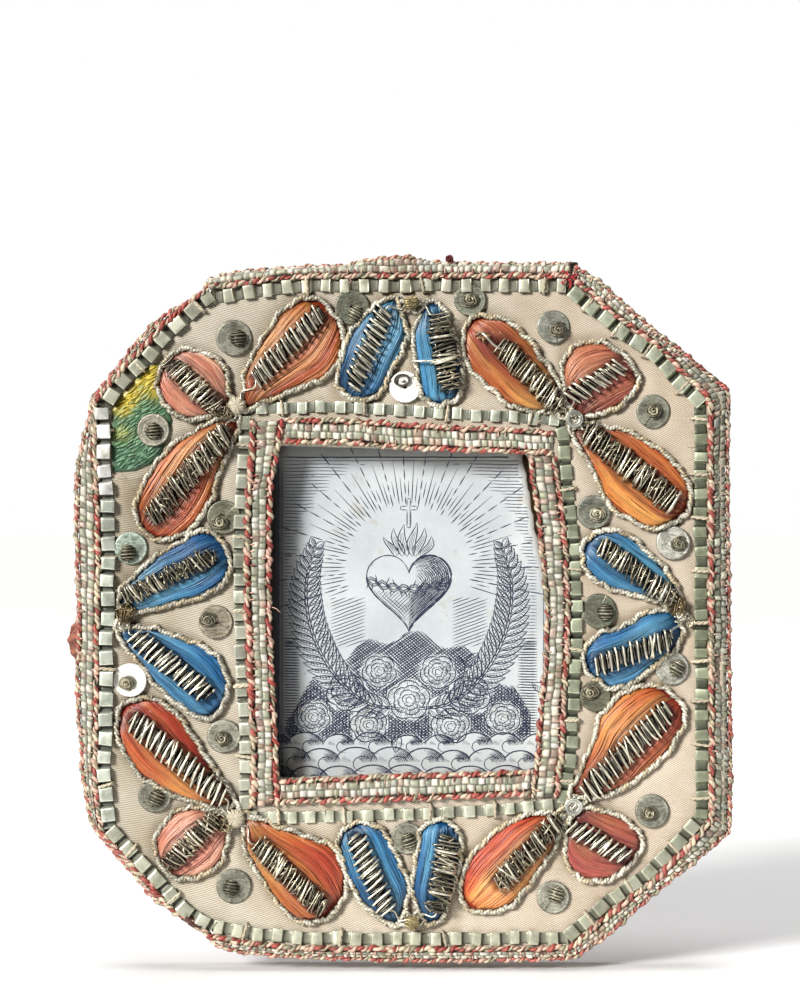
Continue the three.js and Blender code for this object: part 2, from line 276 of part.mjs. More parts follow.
// ---- motifs -------------------------------------------------------------------------------------
// Each motif is three nodes: the stitched silk, the cord that edges its petals, and its run of purl.
const motifFoot = [];
for (const [name, m] of Object.entries(MOTIFS)) {
  const ground = [], domes = [], rings = [], coils = [], foot = [], cordFeet = [];
  for (const key of m.petals) {
    const around = PETALS[key].reduce((s, p, i, all) => s + Math.hypot(p[0] - all[(i + 1) % all.length][0], p[1] - all[(i + 1) % all.length][1]), 0);
    const line = smooth(PETALS[key], Math.round(Math.min(18, Math.max(13, around / 1.5))));
    const outer = grow(line, CORD_R), inner = grow(line, -CORD_R);
    const mid = middle(line);
    ground.push(sprism(outer, ...GROUND));
    rings.push(sprism(outer, ...CORD, [inner]));
    const core = line.map((p) => [mid[0] + (p[0] - mid[0]) * 0.6, mid[1] + (p[1] - mid[1]) * 0.6]);
    const dome = sprism(core, GROUND[0] + 0.05, SILK_TOP, [], 0.6);
    domes.push(dome.intersect(sprism(grow(line, -CORD_R - GAP), GROUND[0] + 0.02, SILK_TOP + 1)));
    // the thread carried from the petal to the middle of the motif
    const near = line.reduce((best, p) => (Math.hypot(p[0] - m.c[0], p[1] - m.c[1]) < Math.hypot(best[0] - m.c[0], best[1] - m.c[1]) ? p : best));
    const d = Math.hypot(near[0] - m.c[0], near[1] - m.c[1]) || 1;
    const past = [near[0] + (near[0] - m.c[0]) / d * 0.2, near[1] + (near[1] - m.c[1]) / d * 0.2];
    ground.push(bar(m.c, past, 0.9, ...GROUND));
    rings.push(bar(m.c, past, 0.9, CORD[0], CORD[1] - 0.2));
    foot.push(sprism(grow(line, CORD_R + GAP), 6, 12), bar(m.c, past, 0.9 + 2 * GAP, 6, 12));
    cordFeet.push(sprism(grow(line, CORD_R + GAP), 6, 12, [grow(line, -CORD_R - GAP)]));
    const c = COILS[key];
    const endFirst = Math.hypot(c.a[0] - m.c[0], c.a[1] - m.c[1]) < Math.hypot(c.b[0] - m.c[0], c.b[1] - m.c[1]);
    const [p, q] = endFirst ? [c.a, c.b] : [c.b, c.a];
    coils.push(rod(c.a, c.b, c.w, ...COIL));
    coils.push(bar(m.c, [p[0] + (q[0] - p[0]) * 0.15, p[1] + (q[1] - p[1]) * 0.15], 0.7, COIL[0] + 0.02, COIL[0] + 1.1));
  }
  // the petals' domes of one motif never reach under a neighbour's cord
  const cords = joined([...rings, disc(m.c, m.r, ...CORD, 9)]);
  const cordFoot = joined(cordFeet);
  const silkDomes = domes.map((d) => largest(cut(d, [cordFoot, disc(m.c, m.r + GAP, GROUND[1] + 0.02, 12)])));
  const look = name.endsWith('_mid') ? 'blue' : 'orange';
  // where two motifs touch, the later one gives way
  add(`petal_silk_${name}`, look, largest(cut(joined([...ground, disc(m.c, m.r, ...GROUND, 9), ...silkDomes]), motifFoot)));
  add(`outline_cord_${name}`, 'cord', largest(cut(cords, motifFoot)));
  add(`purl_${name}`, 'purl', joined([...coils, disc(m.c, m.r * 0.8, COIL[0], COIL[0] + 0.9, 8)]));
  motifFoot.push(joined([...foot, disc(m.c, m.r + GAP, 6, 12)]));
}

// The strips give way to the motifs and the braids where those lie over them.
const braidFoot = Object.values(braids).map((b) => sprism(grow(b, GAP), 6, 12));
add('outer_crimped_strip', 'strip', cut(sprism(stripOuterLine, ...STRIP, [grow(stripOut, -STRIP_W / 2)]), motifFoot));
add('inner_crimped_strip', 'strip', cut(sprism(grow(stripIn, STRIP_IN_W / 2), ...STRIP, [grow(stripIn, -STRIP_IN_W / 2)]), [...motifFoot, ...braidFoot]));
add('leaf_patch', 'figured', prism(LEAF, ...LEAF_PATCH));

// ---- sequins, each held by a snail of purl ------------------------------------------------------
const trimFoot = [
  ...motifFoot,
  sprism(grow(stripOut, STRIP_W / 2 + GAP), 6, 12, [grow(stripOut, -STRIP_W / 2 - GAP)]),
  sprism(grow(stripIn, STRIP_IN_W / 2 + GAP), 6, 12, [grow(stripIn, -STRIP_IN_W / 2 - GAP)]),
];
SEQUINS.forEach(([x, z, r, bx, bz], i) => {
  const plate = largest(cut(disc([0, 0], r, ...SEQUIN, 12), trimFoot.map((f) => f.translate([-x, 0, -z]))));
  const bead = disc([bx - x, bz - z], 0.95, SEQUIN[0], BEAD_TOP, 7);
  const mesh = add(`sequin_${String(i + 1).padStart(2, '0')}`, 'sequin', largest(plate.add(cut(bead, motifFoot.map((f) => f.translate([-x, 0, -z]))))));
  mesh.position.set(x, 0, z);
});

export default group;
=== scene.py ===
# An embroidered reliquary: silk-covered card frame, padded satin-stitch petals edged with twisted
# metal cord and crossed by coils of purl, sequins, crimped strip and woven metal braid round a
# recessed printed paper.  Lengths below are millimetres: X right, Z up, and d forwards from the
# back face (world Y = -d / 1000).
import math

import bpy
import numpy as np
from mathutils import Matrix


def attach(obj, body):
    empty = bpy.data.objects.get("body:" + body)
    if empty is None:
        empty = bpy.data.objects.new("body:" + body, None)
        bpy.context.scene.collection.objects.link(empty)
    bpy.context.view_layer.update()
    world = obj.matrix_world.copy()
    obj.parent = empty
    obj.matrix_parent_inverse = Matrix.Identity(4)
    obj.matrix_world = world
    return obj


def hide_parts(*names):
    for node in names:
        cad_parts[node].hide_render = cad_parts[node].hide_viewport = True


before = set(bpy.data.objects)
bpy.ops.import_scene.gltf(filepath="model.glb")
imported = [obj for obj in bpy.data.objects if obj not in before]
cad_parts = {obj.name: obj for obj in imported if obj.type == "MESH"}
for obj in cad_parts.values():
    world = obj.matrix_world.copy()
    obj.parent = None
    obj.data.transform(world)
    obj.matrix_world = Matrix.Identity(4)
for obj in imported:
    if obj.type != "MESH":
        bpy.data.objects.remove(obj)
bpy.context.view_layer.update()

# ------------------------------------------------------------------ driving sizes, mm
CLOTH_D = 7.58        # front of the silk
BACK_D = 0.0
TRIM_D = 7.68         # what lies on the silk starts here
PRINT_D = 2.32        # face of the printed paper
OVERHANG = 0.95       # outer braid past the covered card

# ------------------------------------------------------------------ outlines, mm, as (x, z) seen from the front
# EDGE is the outside of the outer braid, STRIP_* the middles of the crimped strips, and IB both edges
# of each length of braid round the window.  A coil runs from a to b and is w wide; a sequin is
# (x, z, radius) and the (x, z) of the snail of purl that holds it.
EDGE = [(-29.1, 50.25), (-27.15, 50.85), (-24.45, 51.38), (-21.15, 51.6), (-17.7, 51.9), (-13.95, 52.12), (-7.95, 52.35), (-5.85, 52.95), (-2.7,
    53.32), (0.3, 53.4), (3.3, 53.02), (6.3, 52.65), (10.8, 52.65), (16.05, 52.5), (21.3, 52.57), (25.35, 52.5), (27.15, 51.3), (29.1, 50.25), (33.3,
    46.5), (37.35, 42.9), (41.1, 40.05), (44.55, 37.2), (47.25, 35.1), (49.2, 33.15), (49.05, 24.3), (49.05, 16.8), (49.27, 1.8), (49.35, -10.2),
    (49.5, -19.5), (49.5, -26.7), (49.35, -33), (47.55, -34.8), (44.85, -36.9), (41.25, -39.75), (37.5, -42.75), (33.6, -46.35), (29.55, -49.8),
    (27.45, -51), (25.65, -52.2), (21.3, -52.35), (16.05, -52.5), (8.55, -52.65), (0.3, -52.57), (-7.95, -52.35), (-15.45, -52.05), (-19.95, -51.75),
    (-23.7, -51.38), (-26.85, -50.7), (-28.8, -49.95), (-29.55, -48.3), (-31.95, -46.65), (-34.8, -45), (-37.65, -43.05), (-39.3, -41.25), (-41.4,
    -38.55), (-43.65, -35.85), (-45.3, -33.9), (-46.65, -32.1), (-47.4, -29.7), (-48, -26.4), (-48.45, -22.95), (-48.6, -19.2), (-49.05, -15.45),
    (-49.2, -11.7), (-49.12, -7.2), (-48.9, -1.95), (-48.98, 1.8), (-49.2, 7.8), (-49.35, 13.8), (-49.27, 19.05), (-48.98, 22.8), (-48.3, 25.8),
    (-47.25, 29.1), (-46.95, 32.25), (-45.45, 33.6), (-43.95, 35.7), (-41.7, 38.62), (-39.45, 41.4), (-37.8, 43.27), (-34.95, 45.3), (-31.8, 46.95),
    (-29.85, 48.3)]
STRIP_OUT = [(-28.5, 47.32), (-26.7, 47.48), (-23.7, 47.91), (-20.25, 48.39), (-16.95, 48.81), (-7.95, 48.99), (7.05, 48.99), (17.55, 48.99), (24.45,
    48.96), (28.05, 46.05), (29.55, 44.4), (32.85, 41.85), (37.05, 39), (40.35, 35.55), (43.05, 32.7), (44.59, 31.05), (44.59, 24.3), (44.62, 13.8),
    (44.67, 1.8), (44.7, -10.2), (44.77, -19.5), (44.77, -28.2), (44.62, -30.9), (43.05, -32.55), (40.35, -35.4), (37.05, -38.85), (32.85, -41.85),
    (29.55, -44.55), (26.55, -47.1), (24.75, -48.82), (17.55, -48.96), (7.05, -48.99), (-7.95, -48.99), (-16.95, -48.84), (-23.7, -48), (-28.35,
    -47.25), (-31.05, -45.75), (-33.6, -43.65), (-35.85, -41.25), (-37.5, -39.3), (-39.9, -36.75), (-42, -34.65), (-43.8, -32.55), (-44.48, -28.2),
    (-44.77, -23.7), (-44.55, -18.9), (-44.45, -13.2), (-44.4, -4.2), (-44.31, 1.8), (-44.16, 7.8), (-44.32, 15.3), (-44.7, 22.8), (-44.94, 28.05),
    (-44.88, 30.75), (-43.65, 32.4), (-42.15, 34.27), (-39.9, 36.67), (-37.5, 39.15), (-35.85, 40.95), (-33.75, 43.2), (-31.2, 45.45)]
STRIP_IN = [(-23.7, 30.6), (-21.15, 30.6), (-9.45, 30.75), (-0.45, 30.3), (7.05, 29.7), (14.55, 29.4), (23.4, 28.65), (24, 27), (24.52, 19.8), (25.2,
    13.8), (25.72, 7.8), (25.88, 1.8), (26.02, -4.2), (25.57, -13.2), (25.27, -19.2), (24.75, -24.45), (24, -28.65), (16.05, -29.55), (7.05, -30),
    (-0.45, -30.3), (-9.45, -30.6), (-21.15, -30.75), (-23.4, -30.6), (-23.77, -26.7), (-23.7, -19.2), (-24, -13.2), (-24.38, -4.2), (-24.52, 1.8),
    (-24.52, 7.8), (-24.3, 16.8), (-23.77, 25.8)]
WINDOW = [(-19.5, 24.75), (0, 24.2), (18.5, 23.45), (19.85, 16.8), (20.7, 9.1), (21.45, 1), (21.3, -7), (20.7, -13.2), (20.25, -19), (19.5, -24), (0,
    -24.3), (-18.45, -25), (-19.2, -13.2), (-19.95, 1.8), (-19.95, 7.8), (-19.8, 16.8)]
LEAF = [(-42.45, 32.1), (-43.65, 30.3), (-43.8, 25.8), (-43.5, 21), (-40.2, 21.15), (-37.95, 22.2), (-36.45, 23.55), (-34.95, 27.3), (-34.65, 28.8),
    (-35.7, 31.05), (-36.75, 32.85), (-36.45, 35.1), (-36.75, 37.2), (-37.95, 36.9), (-39.45, 35.55), (-41.25, 33.6)]
IB = {
    "left": {"o": [(-22.88, 28.65), (-23.1, 25.8), (-23.4, 19.8), (-23.7, 16.8), (-23.85, 7.8), (-23.85, 1.8), (-23.55, -4.2), (-23.25, -13.2),
        (-22.95, -18.9), (-22.88, -23.7), (-22.95, -29.1)], "i": [(-17.85, 28.65), (-18.45, 25.8), (-19.57, 19.8), (-19.8, 16.8), (-19.95, 7.8),
        (-19.95, 1.8), (-19.8, -4.2), (-19.35, -13.2), (-19.05, -18.9), (-18.9, -23.7), (-18.75, -29.1)]},
    "right": {"o": [(22.95, 23.18), (23.55, 19.8), (24, 16.8), (24.75, 9.15), (25.05, 1.05), (24.9, -6.9), (24.45, -13.2), (24.3, -19.05), (23.85,
        -23.7), (23.4, -27.75)], "i": [(18.97, 23.18), (19.35, 19.8), (19.95, 16.8), (20.7, 9.15), (21.45, 1.05), (21.3, -6.9), (20.7, -13.2), (20.25,
        -19.05), (19.8, -23.7), (19.35, -27.75)]},
    "top": {"o": [(-17.55, 29.1), (-9.45, 29.1), (-0.45, 28.5), (7.05, 28.05), (14.55, 27.75), (22.5, 27.3)], "i": [(-17.55, 25.35), (-9.45, 25.35),
        (-0.45, 24.6), (7.05, 24.3), (14.55, 24.07), (22.5, 23.7)]},
    "bottom": {"o": [(-18.3, -28.8), (-9.45, -28.65), (-0.45, -28.35), (7.05, -28.05), (14.55, -27.75), (19.05, -27.6)], "i": [(-18.3, -25.2), (-9.45,
        -24.9), (-0.45, -24.45), (7.05, -24.3), (14.55, -24.07), (19.05, -23.85)]},
}
PETALS = {
    "tl_salmon": [(-25.65, 31.8), (-25.95, 33.3), (-26.55, 36), (-27.6, 37.8), (-29.7, 39), (-31.95, 39.45), (-34.2, 39), (-35.7, 37.8), (-36.45, 36),
        (-36.75, 33.6), (-36.15, 31.8), (-34.65, 30.15), (-33, 29.25), (-30.75, 28.95), (-28.2, 29.7), (-26.25, 30.6)],
    "tl_upper": [(-24, 33.6), (-23.7, 36.3), (-21.15, 40.8), (-19.2, 44.1), (-17.7, 45.6), (-15.45, 46.8), (-13.65, 46.8), (-12.15, 46.65), (-10.65,
        45.15), (-9.45, 43.35), (-9, 40.8), (-9.45, 38.25), (-10.35, 36.3), (-11.7, 35.1), (-13.95, 34.2), (-16.95, 33), (-19.95, 31.8), (-22.2,
        30.9), (-24, 30.3)],
    "tl_lower": [(-26.7, 29.1), (-29.7, 28.05), (-32.7, 26.4), (-34.95, 24.6), (-36.75, 22.8), (-37.95, 21), (-39, 19.05), (-39.75, 17.25), (-40.05,
        15.6), (-39.9, 13.8), (-39.3, 12.3), (-37.95, 11.25), (-36.45, 10.88), (-34.65, 10.95), (-33, 11.85), (-31.2, 13.05), (-29.7, 15), (-28.65,
        17.1), (-27.9, 19.8), (-27, 22.35), (-25.95, 24.3), (-24.9, 26.55), (-24.75, 28.5)],
    "lf_upper": [(-42.75, 1.8), (-42.15, 3.6), (-40.2, 5.55), (-38.7, 6.9), (-36.45, 8.85), (-34.2, 10.05), (-31.95, 11.55), (-29.7, 12.15), (-28.2,
        11.55), (-27.15, 10.8), (-26.25, 9), (-25.8, 7.05), (-26.4, 5.1), (-27.45, 3.9), (-28.95, 2.85), (-31.2, 1.95), (-34.2, 1.35), (-36.45, 0.6),
        (-38.7, 0), (-40.95, 0), (-42.45, 0.9)],
    "lf_lower": [(-42.75, -1.5), (-40.95, -2.1), (-37.95, -2.4), (-35.7, -3), (-32.7, -3.9), (-30.45, -4.65), (-28.65, -6), (-27.3, -7.5), (-26.4,
        -9.45), (-25.95, -10.95), (-26.4, -12.9), (-27.15, -14.4), (-28.5, -15.45), (-30, -15.9), (-31.95, -15.3), (-33.45, -14.1), (-34.95, -12.9),
        (-36.45, -11.4), (-37.65, -10.2), (-38.7, -8.7), (-40.65, -6.45), (-42.15, -4.2), (-42.9, -2.4)],
    "tp_left": [(-1.2, 47.1), (-0.6, 46.05), (0.3, 43.8), (0.6, 41.55), (-0.15, 39.3), (-1.2, 37.05), (-2.25, 34.8), (-3.45, 33), (-4.95, 32.1),
        (-7.2, 31.8), (-8.7, 32.25), (-9.45, 33.3), (-9.9, 35.1), (-9.45, 37.5), (-8.7, 40.05), (-7.65, 42), (-6.15, 44.1), (-4.65, 45.6), (-2.7,
        46.8)],
    "tp_right": [(3.75, 46.5), (2.85, 45.6), (1.95, 43.5), (1.5, 41.55), (1.65, 39.3), (1.95, 37.05), (2.4, 34.8), (2.85, 32.55), (4.05, 31.35),
        (5.55, 30.9), (7.35, 31.5), (8.55, 32.85), (9, 34.8), (8.85, 37.05), (8.25, 39.3), (7.35, 41.55), (6.75, 43.8), (6, 45.6), (4.8, 46.5)],
    "tr_upper": [(9, 40.05), (9, 41.55), (9.3, 42.9), (10.35, 44.1), (12.3, 44.4), (14.55, 44.1), (16.8, 43.05), (18.3, 41.55), (19.5, 40.05), (20.55,
        38.55), (21.6, 37.05), (22.8, 35.1), (23.85, 32.55), (24.15, 30.6), (22.05, 30), (19.8, 30), (17.25, 30.6), (15.3, 31.5), (13.8, 32.85),
        (11.85, 34.5), (10.35, 36), (9.45, 37.8)],
    "tr_salmon": [(24.3, 31.5), (24, 34.05), (23.85, 36.3), (24.45, 38.55), (25.8, 40.05), (28.05, 40.65), (30.3, 40.35), (32.25, 39.3), (33.9,
        37.65), (35.1, 35.7), (35.1, 33.75), (34.05, 32.25), (32.25, 30.9), (30.3, 30), (27.75, 29.25), (26.25, 29.1)],
    "tr_lower": [(25.05, 27.3), (27, 28.05), (28.8, 28.2), (31.05, 27.75), (33.3, 27.3), (35.55, 26.25), (37.35, 25.05), (39, 23.85), (40.5, 22.5),
        (41.85, 20.85), (42.9, 19.05), (43.2, 17.25), (42.9, 15.6), (41.85, 14.4), (40.35, 13.35), (38.55, 12.6), (36.75, 12.6), (34.8, 13.35),
        (32.85, 14.55), (31.05, 16.05), (29.85, 17.55), (29.1, 19.8), (28.05, 22.05), (26.85, 24.3), (25.8, 25.8)],
    "rt_upper": [(27.75, 10.8), (28.8, 11.85), (30.3, 12.3), (32.55, 12.15), (34.35, 11.1), (36.3, 9.3), (37.8, 8.1), (39.3, 6.3), (40.5, 4.5),
        (41.55, 2.55), (42, 1.05), (40.05, 1.05), (37.8, 1.8), (36.3, 2.25), (34.05, 2.55), (31.8, 3.3), (29.85, 4.05), (28.35, 5.25), (27.3, 6.6),
        (26.85, 8.1), (27, 9.6)],
    "rt_lower": [(38.55, 0.3), (36.3, -0.15), (34.05, -1.5), (31.8, -2.25), (29.55, -3.15), (28.05, -4.2), (27.15, -5.7), (27.15, -7.95), (27.75,
        -9.45), (29.55, -10.2), (30.75, -11.4), (32.55, -11.25), (34.8, -10.5), (36.3, -9.15), (38.25, -7.65), (40.05, -6.45), (41.25, -4.95), (42,
        -3), (41.55, -1.2), (40.8, 0.3)],
    "bl_upper": [(-25.17, -28.78), (-25.65, -27.06), (-27.1, -25.09), (-28.52, -23.39), (-29.89, -21.16), (-31.12, -18.79), (-32.55, -16.95), (-34.05,
        -15), (-35.85, -13.8), (-37.5, -12.9), (-39.3, -12.82), (-40.8, -13.2), (-42.15, -14.25), (-42.75, -15.75), (-42.9, -17.55), (-42.6, -19.2),
        (-41.85, -21), (-40.78, -22.94), (-39.23, -24.5), (-37, -26), (-34.26, -27.46), (-30.66, -28.71), (-27.14, -29.4)],
    "bl_salmon": [(-26.3, -30.67), (-28.33, -29.88), (-30.98, -29.26), (-33.31, -29.66), (-35.02, -30.64), (-36.57, -32.36), (-37.2, -34.2), (-36.9,
        -36.6), (-36.15, -38.4), (-34.65, -39.6), (-32.37, -40), (-30.05, -39.47), (-27.88, -38.17), (-26.75, -36.27), (-26.05, -33.43), (-25.69,
        -31.86)],
    "bl_lower": [(-23.97, -30.27), (-22.13, -30.83), (-19.81, -31.66), (-16.73, -32.78), (-13.64, -33.89), (-11.32, -34.72), (-9.93, -35.88), (-9,
        -37.8), (-8.55, -40.35), (-9, -42.9), (-10.2, -44.7), (-11.7, -46.2), (-13.2, -46.35), (-15, -46.35), (-17.25, -45.15), (-18.81, -43.71),
        (-20.86, -40.51), (-23.55, -36.15), (-23.92, -33.52)],
    "br_upper": [(25.63, -25.48), (26.59, -23.82), (27.65, -21.32), (28.57, -18.82), (29.19, -16.34), (30.29, -14.65), (31.97, -12.94), (33.9, -11.7),
        (35.85, -10.95), (37.65, -10.95), (39.45, -11.7), (40.95, -12.75), (42, -13.95), (42.3, -15.6), (42, -17.4), (40.95, -19.2), (39.62, -20.88),
        (38.22, -22.42), (36.68, -23.82), (34.99, -25.22), (32.87, -26.52), (30.75, -27.2), (28.62, -27.88), (26.91, -27.89), (24.95, -27.12)],
    "br_salmon": [(26.28, -29.08), (27.86, -29.2), (30.54, -29.88), (32.59, -30.73), (34.5, -32.02), (35.63, -33.49), (35.68, -35.41), (34.5, -37.35),
        (32.85, -39), (30.9, -40.05), (28.65, -40.35), (26.36, -39.77), (24.93, -38.31), (24.23, -36.11), (24.27, -33.92), (24.44, -31.43)],
    "br_lower": [(9.15, -38.4), (10.05, -36.6), (11.58, -35.04), (13.57, -33.3), (15.11, -31.89), (17.09, -30.91), (19.69, -30.22), (21.98, -30.14),
        (24.11, -30.68), (23.78, -32.7), (22.68, -35.35), (21.44, -37.38), (20.35, -38.95), (19.27, -40.51), (18.03, -42.08), (16.5, -43.65), (14.25,
        -44.7), (12, -45), (10.05, -44.7), (9, -43.5), (8.7, -42.15), (8.7, -40.65)],
    "bt_left": [(-2.4, -46.5), (-4.35, -45.3), (-5.85, -43.8), (-7.35, -41.7), (-8.4, -39.75), (-9.15, -37.2), (-9.6, -34.8), (-9.15, -33), (-8.4,
        -31.95), (-6.9, -31.5), (-4.65, -31.8), (-3.15, -32.7), (-1.95, -34.5), (-0.9, -36.75), (0.15, -39), (0.9, -41.25), (0.6, -43.5), (-0.3,
        -45.75), (-0.9, -46.8)],
    "bt_right": [(4.65, -46.65), (5.85, -45.75), (6.6, -43.95), (7.2, -41.7), (8.1, -39.45), (8.7, -37.2), (8.85, -34.95), (8.4, -33), (7.2, -31.65),
        (5.4, -31.05), (3.9, -31.5), (2.7, -32.7), (2.25, -34.95), (1.8, -37.2), (1.5, -39.45), (1.35, -41.7), (1.8, -43.65), (2.7, -45.75), (3.6,
        -46.65)],
}
COILS = {
    "tl_salmon": {"a": (-34.95, 37.5), "b": (-27.75, 30.3), "w": 3.3},
    "tl_upper": {"a": (-22.05, 34.8), "b": (-12.15, 45), "w": 3.6},
    "tl_lower": {"a": (-26.25, 27.3), "b": (-37.95, 13.8), "w": 3.9},
    "lf_upper": {"a": (-41.7, 2.25), "b": (-28.2, 8.55), "w": 3},
    "lf_lower": {"a": (-40.2, -3.45), "b": (-28.95, -12.45), "w": 3.6},
    "tp_left": {"a": (-2.7, 45), "b": (-7.65, 33.6), "w": 3.6},
    "tp_right": {"a": (5.25, 44.55), "b": (7.05, 33.3), "w": 3.9},
    "tr_upper": {"a": (14.55, 40.05), "b": (23.55, 30.6), "w": 3.6},
    "tr_salmon": {"a": (25.05, 32.1), "b": (32.85, 37.05), "w": 3.3},
    "tr_lower": {"a": (27.3, 27.3), "b": (40.8, 16.05), "w": 4.2},
    "rt_upper": {"a": (29.55, 10.05), "b": (40.35, 1.8), "w": 3.3},
    "rt_lower": {"a": (28.8, -7.95), "b": (40.35, -3.9), "w": 3.6},
    "bl_upper": {"a": (-26.91, -27.75), "b": (-40.8, -15.75), "w": 3.9},
    "bl_salmon": {"a": (-35.4, -38.1), "b": (-27.86, -30.45), "w": 3.3},
    "bl_lower": {"a": (-21.92, -34.67), "b": (-11.7, -44.55), "w": 3.6},
    "br_upper": {"a": (27.17, -27.07), "b": (39.9, -14.4), "w": 4.2},
    "br_salmon": {"a": (25.21, -32.02), "b": (33.39, -36.78), "w": 3.3},
    "br_lower": {"a": (14.26, -40.62), "b": (23.5, -30.7), "w": 3.6},
    "bt_left": {"a": (-2.4, -44.7), "b": (-7.35, -33.3), "w": 3.6},
    "bt_right": {"a": (5.1, -44.7), "b": (6.9, -33.45), "w": 3.9},
}
MOTIFS = {
    "top_left": {"petals": ["tl_salmon", "tl_upper", "tl_lower"], "c": (-24.9, 30.9), "r": 1.35},
    "top_right": {"petals": ["tr_upper", "tr_salmon", "tr_lower"], "c": (25.65, 28.95), "r": 1.35},
    "bottom_left": {"petals": ["bl_upper", "bl_salmon", "bl_lower"], "c": (-25.05, -30.9), "r": 1.35},
    "bottom_right": {"petals": ["br_upper", "br_salmon", "br_lower"], "c": (25.5, -29.1), "r": 1.35},
    "top_mid": {"petals": ["tp_left", "tp_right"], "c": (1.2, 46.35), "r": 1.2},
    "bottom_mid": {"petals": ["bt_left", "bt_right"], "c": (1.35, -46.35), "r": 1.2},
    "left_mid": {"petals": ["lf_upper", "lf_lower"], "c": (-42.15, -0.6), "r": 1.05},
    "right_mid": {"petals": ["rt_upper", "rt_lower"], "c": (41.7, 0.45), "r": 1.05},
}
SEQUINS = [(-37.42, 27.3, 2.48, -37.42, 27.15), (-25.35, 41.1, 2.7, -24.75, 41.1), (-7.65, 45.67, 2.62, -7.2, 44.7), (0.3, 33.75, 2.4, 0, 34.5),
    (10.05, 46.8, 2.4, 10.05, 46.8), (22.57, 42.75, 2.48, 23.25, 42.3), (37.5, 30.07, 2.55, 37.5, 30.15), (-26.85, 14.25, 2.55, -27.45, 13.5), (-40.8,
    9.6, 2.48, -41.25, 8.85), (-28.05, -1.5, 2.55, -29.25, -1.2), (-40.95, -10.2, 2.55, -41.4, -10.65), (-26.85, -18.6, 2.55, -27.15, -18.9), (28.57,
    15, 2.55, 29.1, 14.7), (40.5, 10.35, 2.55, 41.4, 10.2), (29.4, 0.15, 2.62, 30.3, 0), (40.35, -8.4, 2.55, 41.1, -8.4), (28.8, -12.6, 2.32, 28.05,
    -12), (-37.2, -27.6, 2.48, -36.9, -27.9), (-25.35, -41.1, 2.62, -25.8, -41.4), (0.6, -33.9, 2.4, 0.9, -34.35), (22.5, -42.75, 2.48, 22.95, -42.3),
    (37.35, -29.85, 2.55, 36.9, -30.15)]


# ------------------------------------------------------------------ small tools
def rng(seed):
    return np.random.RandomState(seed)


def A(v):
    return np.asarray(v, float)


def unit(v):
    return v / np.maximum(np.linalg.norm(v, axis=-1, keepdims=True), 1e-12)


def arc(P, closed=False):
    Q = np.vstack([P, P[:1]]) if closed else P
    return np.concatenate([[0], np.cumsum(np.linalg.norm(np.diff(Q, axis=0), axis=1))])


def resample(P, n, closed=False):
    """n points evenly along a polyline (a closed one doesn't repeat its first point)."""
    Q = np.vstack([P, P[:1]]) if closed else P
    s = arc(Q)
    at = np.linspace(0, s[-1], n + 1)[:-1] if closed else np.linspace(0, s[-1], n)
    return np.stack([np.interp(at, s, Q[:, k]) for k in range(Q.shape[1])], axis=1)


def crom(P, per=12, closed=True):
    """A uniform Catmull-Rom curve through the points, per points a span."""
    P = A(P)
    n = len(P)
    if closed:
        P0, P1, P2, P3 = np.roll(P, 1, 0), P, np.roll(P, -1, 0), np.roll(P, -2, 0)
    else:
        E = np.vstack([2 * P[0] - P[1], P, 2 * P[-1] - P[-2]])
        P0, P1, P2, P3 = E[:-3], E[1:-2], E[2:-1], E[3:]
    t = np.linspace(0, 1, per, endpoint=False)[None, :, None]
    a, b, c, d = (X[:, None, :] for X in (P0, P1, P2, P3))
    out = 0.5 * (2 * b + (c - a) * t + (2 * a - 5 * b + 4 * c - d) * t**2 + (3 * b - a - 3 * c + d) * t**3)
    out = out.reshape(-1, P.shape[1])
    return out if closed else np.vstack([out, P[-1:]])


def smooth(P, n, closed=True):
    return resample(crom(P, 10, closed), n, closed)


def area2(P):
    x, y = P[:, 0], P[:, 1]
    return 0.5 * float(np.sum(x * np.roll(y, -1) - np.roll(x, -1) * y))


def ccw(P):
    P = A(P)
    return P[::-1] if area2(P) < 0 else P


def offset(P, d):
    """A closed outline moved outwards by d, with mitred corners."""
    P = ccw(P)
    u, w = unit(P - np.roll(P, 1, 0)), unit(np.roll(P, -1, 0) - P)
    nu, nw = np.stack([u[:, 1], -u[:, 0]], 1), np.stack([w[:, 1], -w[:, 0]], 1)
    m = unit(nu + nw)
    k = np.minimum(1 / np.maximum((m * nu).sum(1), 0.2), 1.6)
    return P + m * (d * k)[:, None]


def inside(P, poly):
    """Which of the points lie inside the closed outline."""
    x, y = P[:, 0], P[:, 1]
    out = np.zeros(len(P), bool)
    a = poly
    b = np.roll(poly, -1, 0)
    for (x0, y0), (x1, y1) in zip(a, b):
        if y0 == y1:
            continue
        hit = ((y0 > y) != (y1 > y)) & (x < (x1 - x0) * (y - y0) / (y1 - y0) + x0)
        out ^= hit
    return out


def near(P, Q, chunk=4000):
    """The distance from each point of P to the nearest point of Q."""
    out = np.empty(len(P))
    for i in range(0, len(P), chunk):
        p = P[i:i + chunk]
        out[i:i + chunk] = np.sqrt(((p[:, None, :] - Q[None]) ** 2).sum(-1).min(1))
    return out


def wob(x, z, seed, scale=1.0, n=6):
    """Smooth noise of about -1 to 1, from a few sines."""
    r = rng(seed)
    out = 0
    for i in range(n):
        a, f, p = r.uniform(0, 2 * np.pi), r.uniform(0.5, 1.6) / scale, r.uniform(0, 2 * np.pi)
        out = out + np.sin((x * math.cos(a) + z * math.sin(a)) * f * 2 * np.pi + p)
    return out / n * 1.6


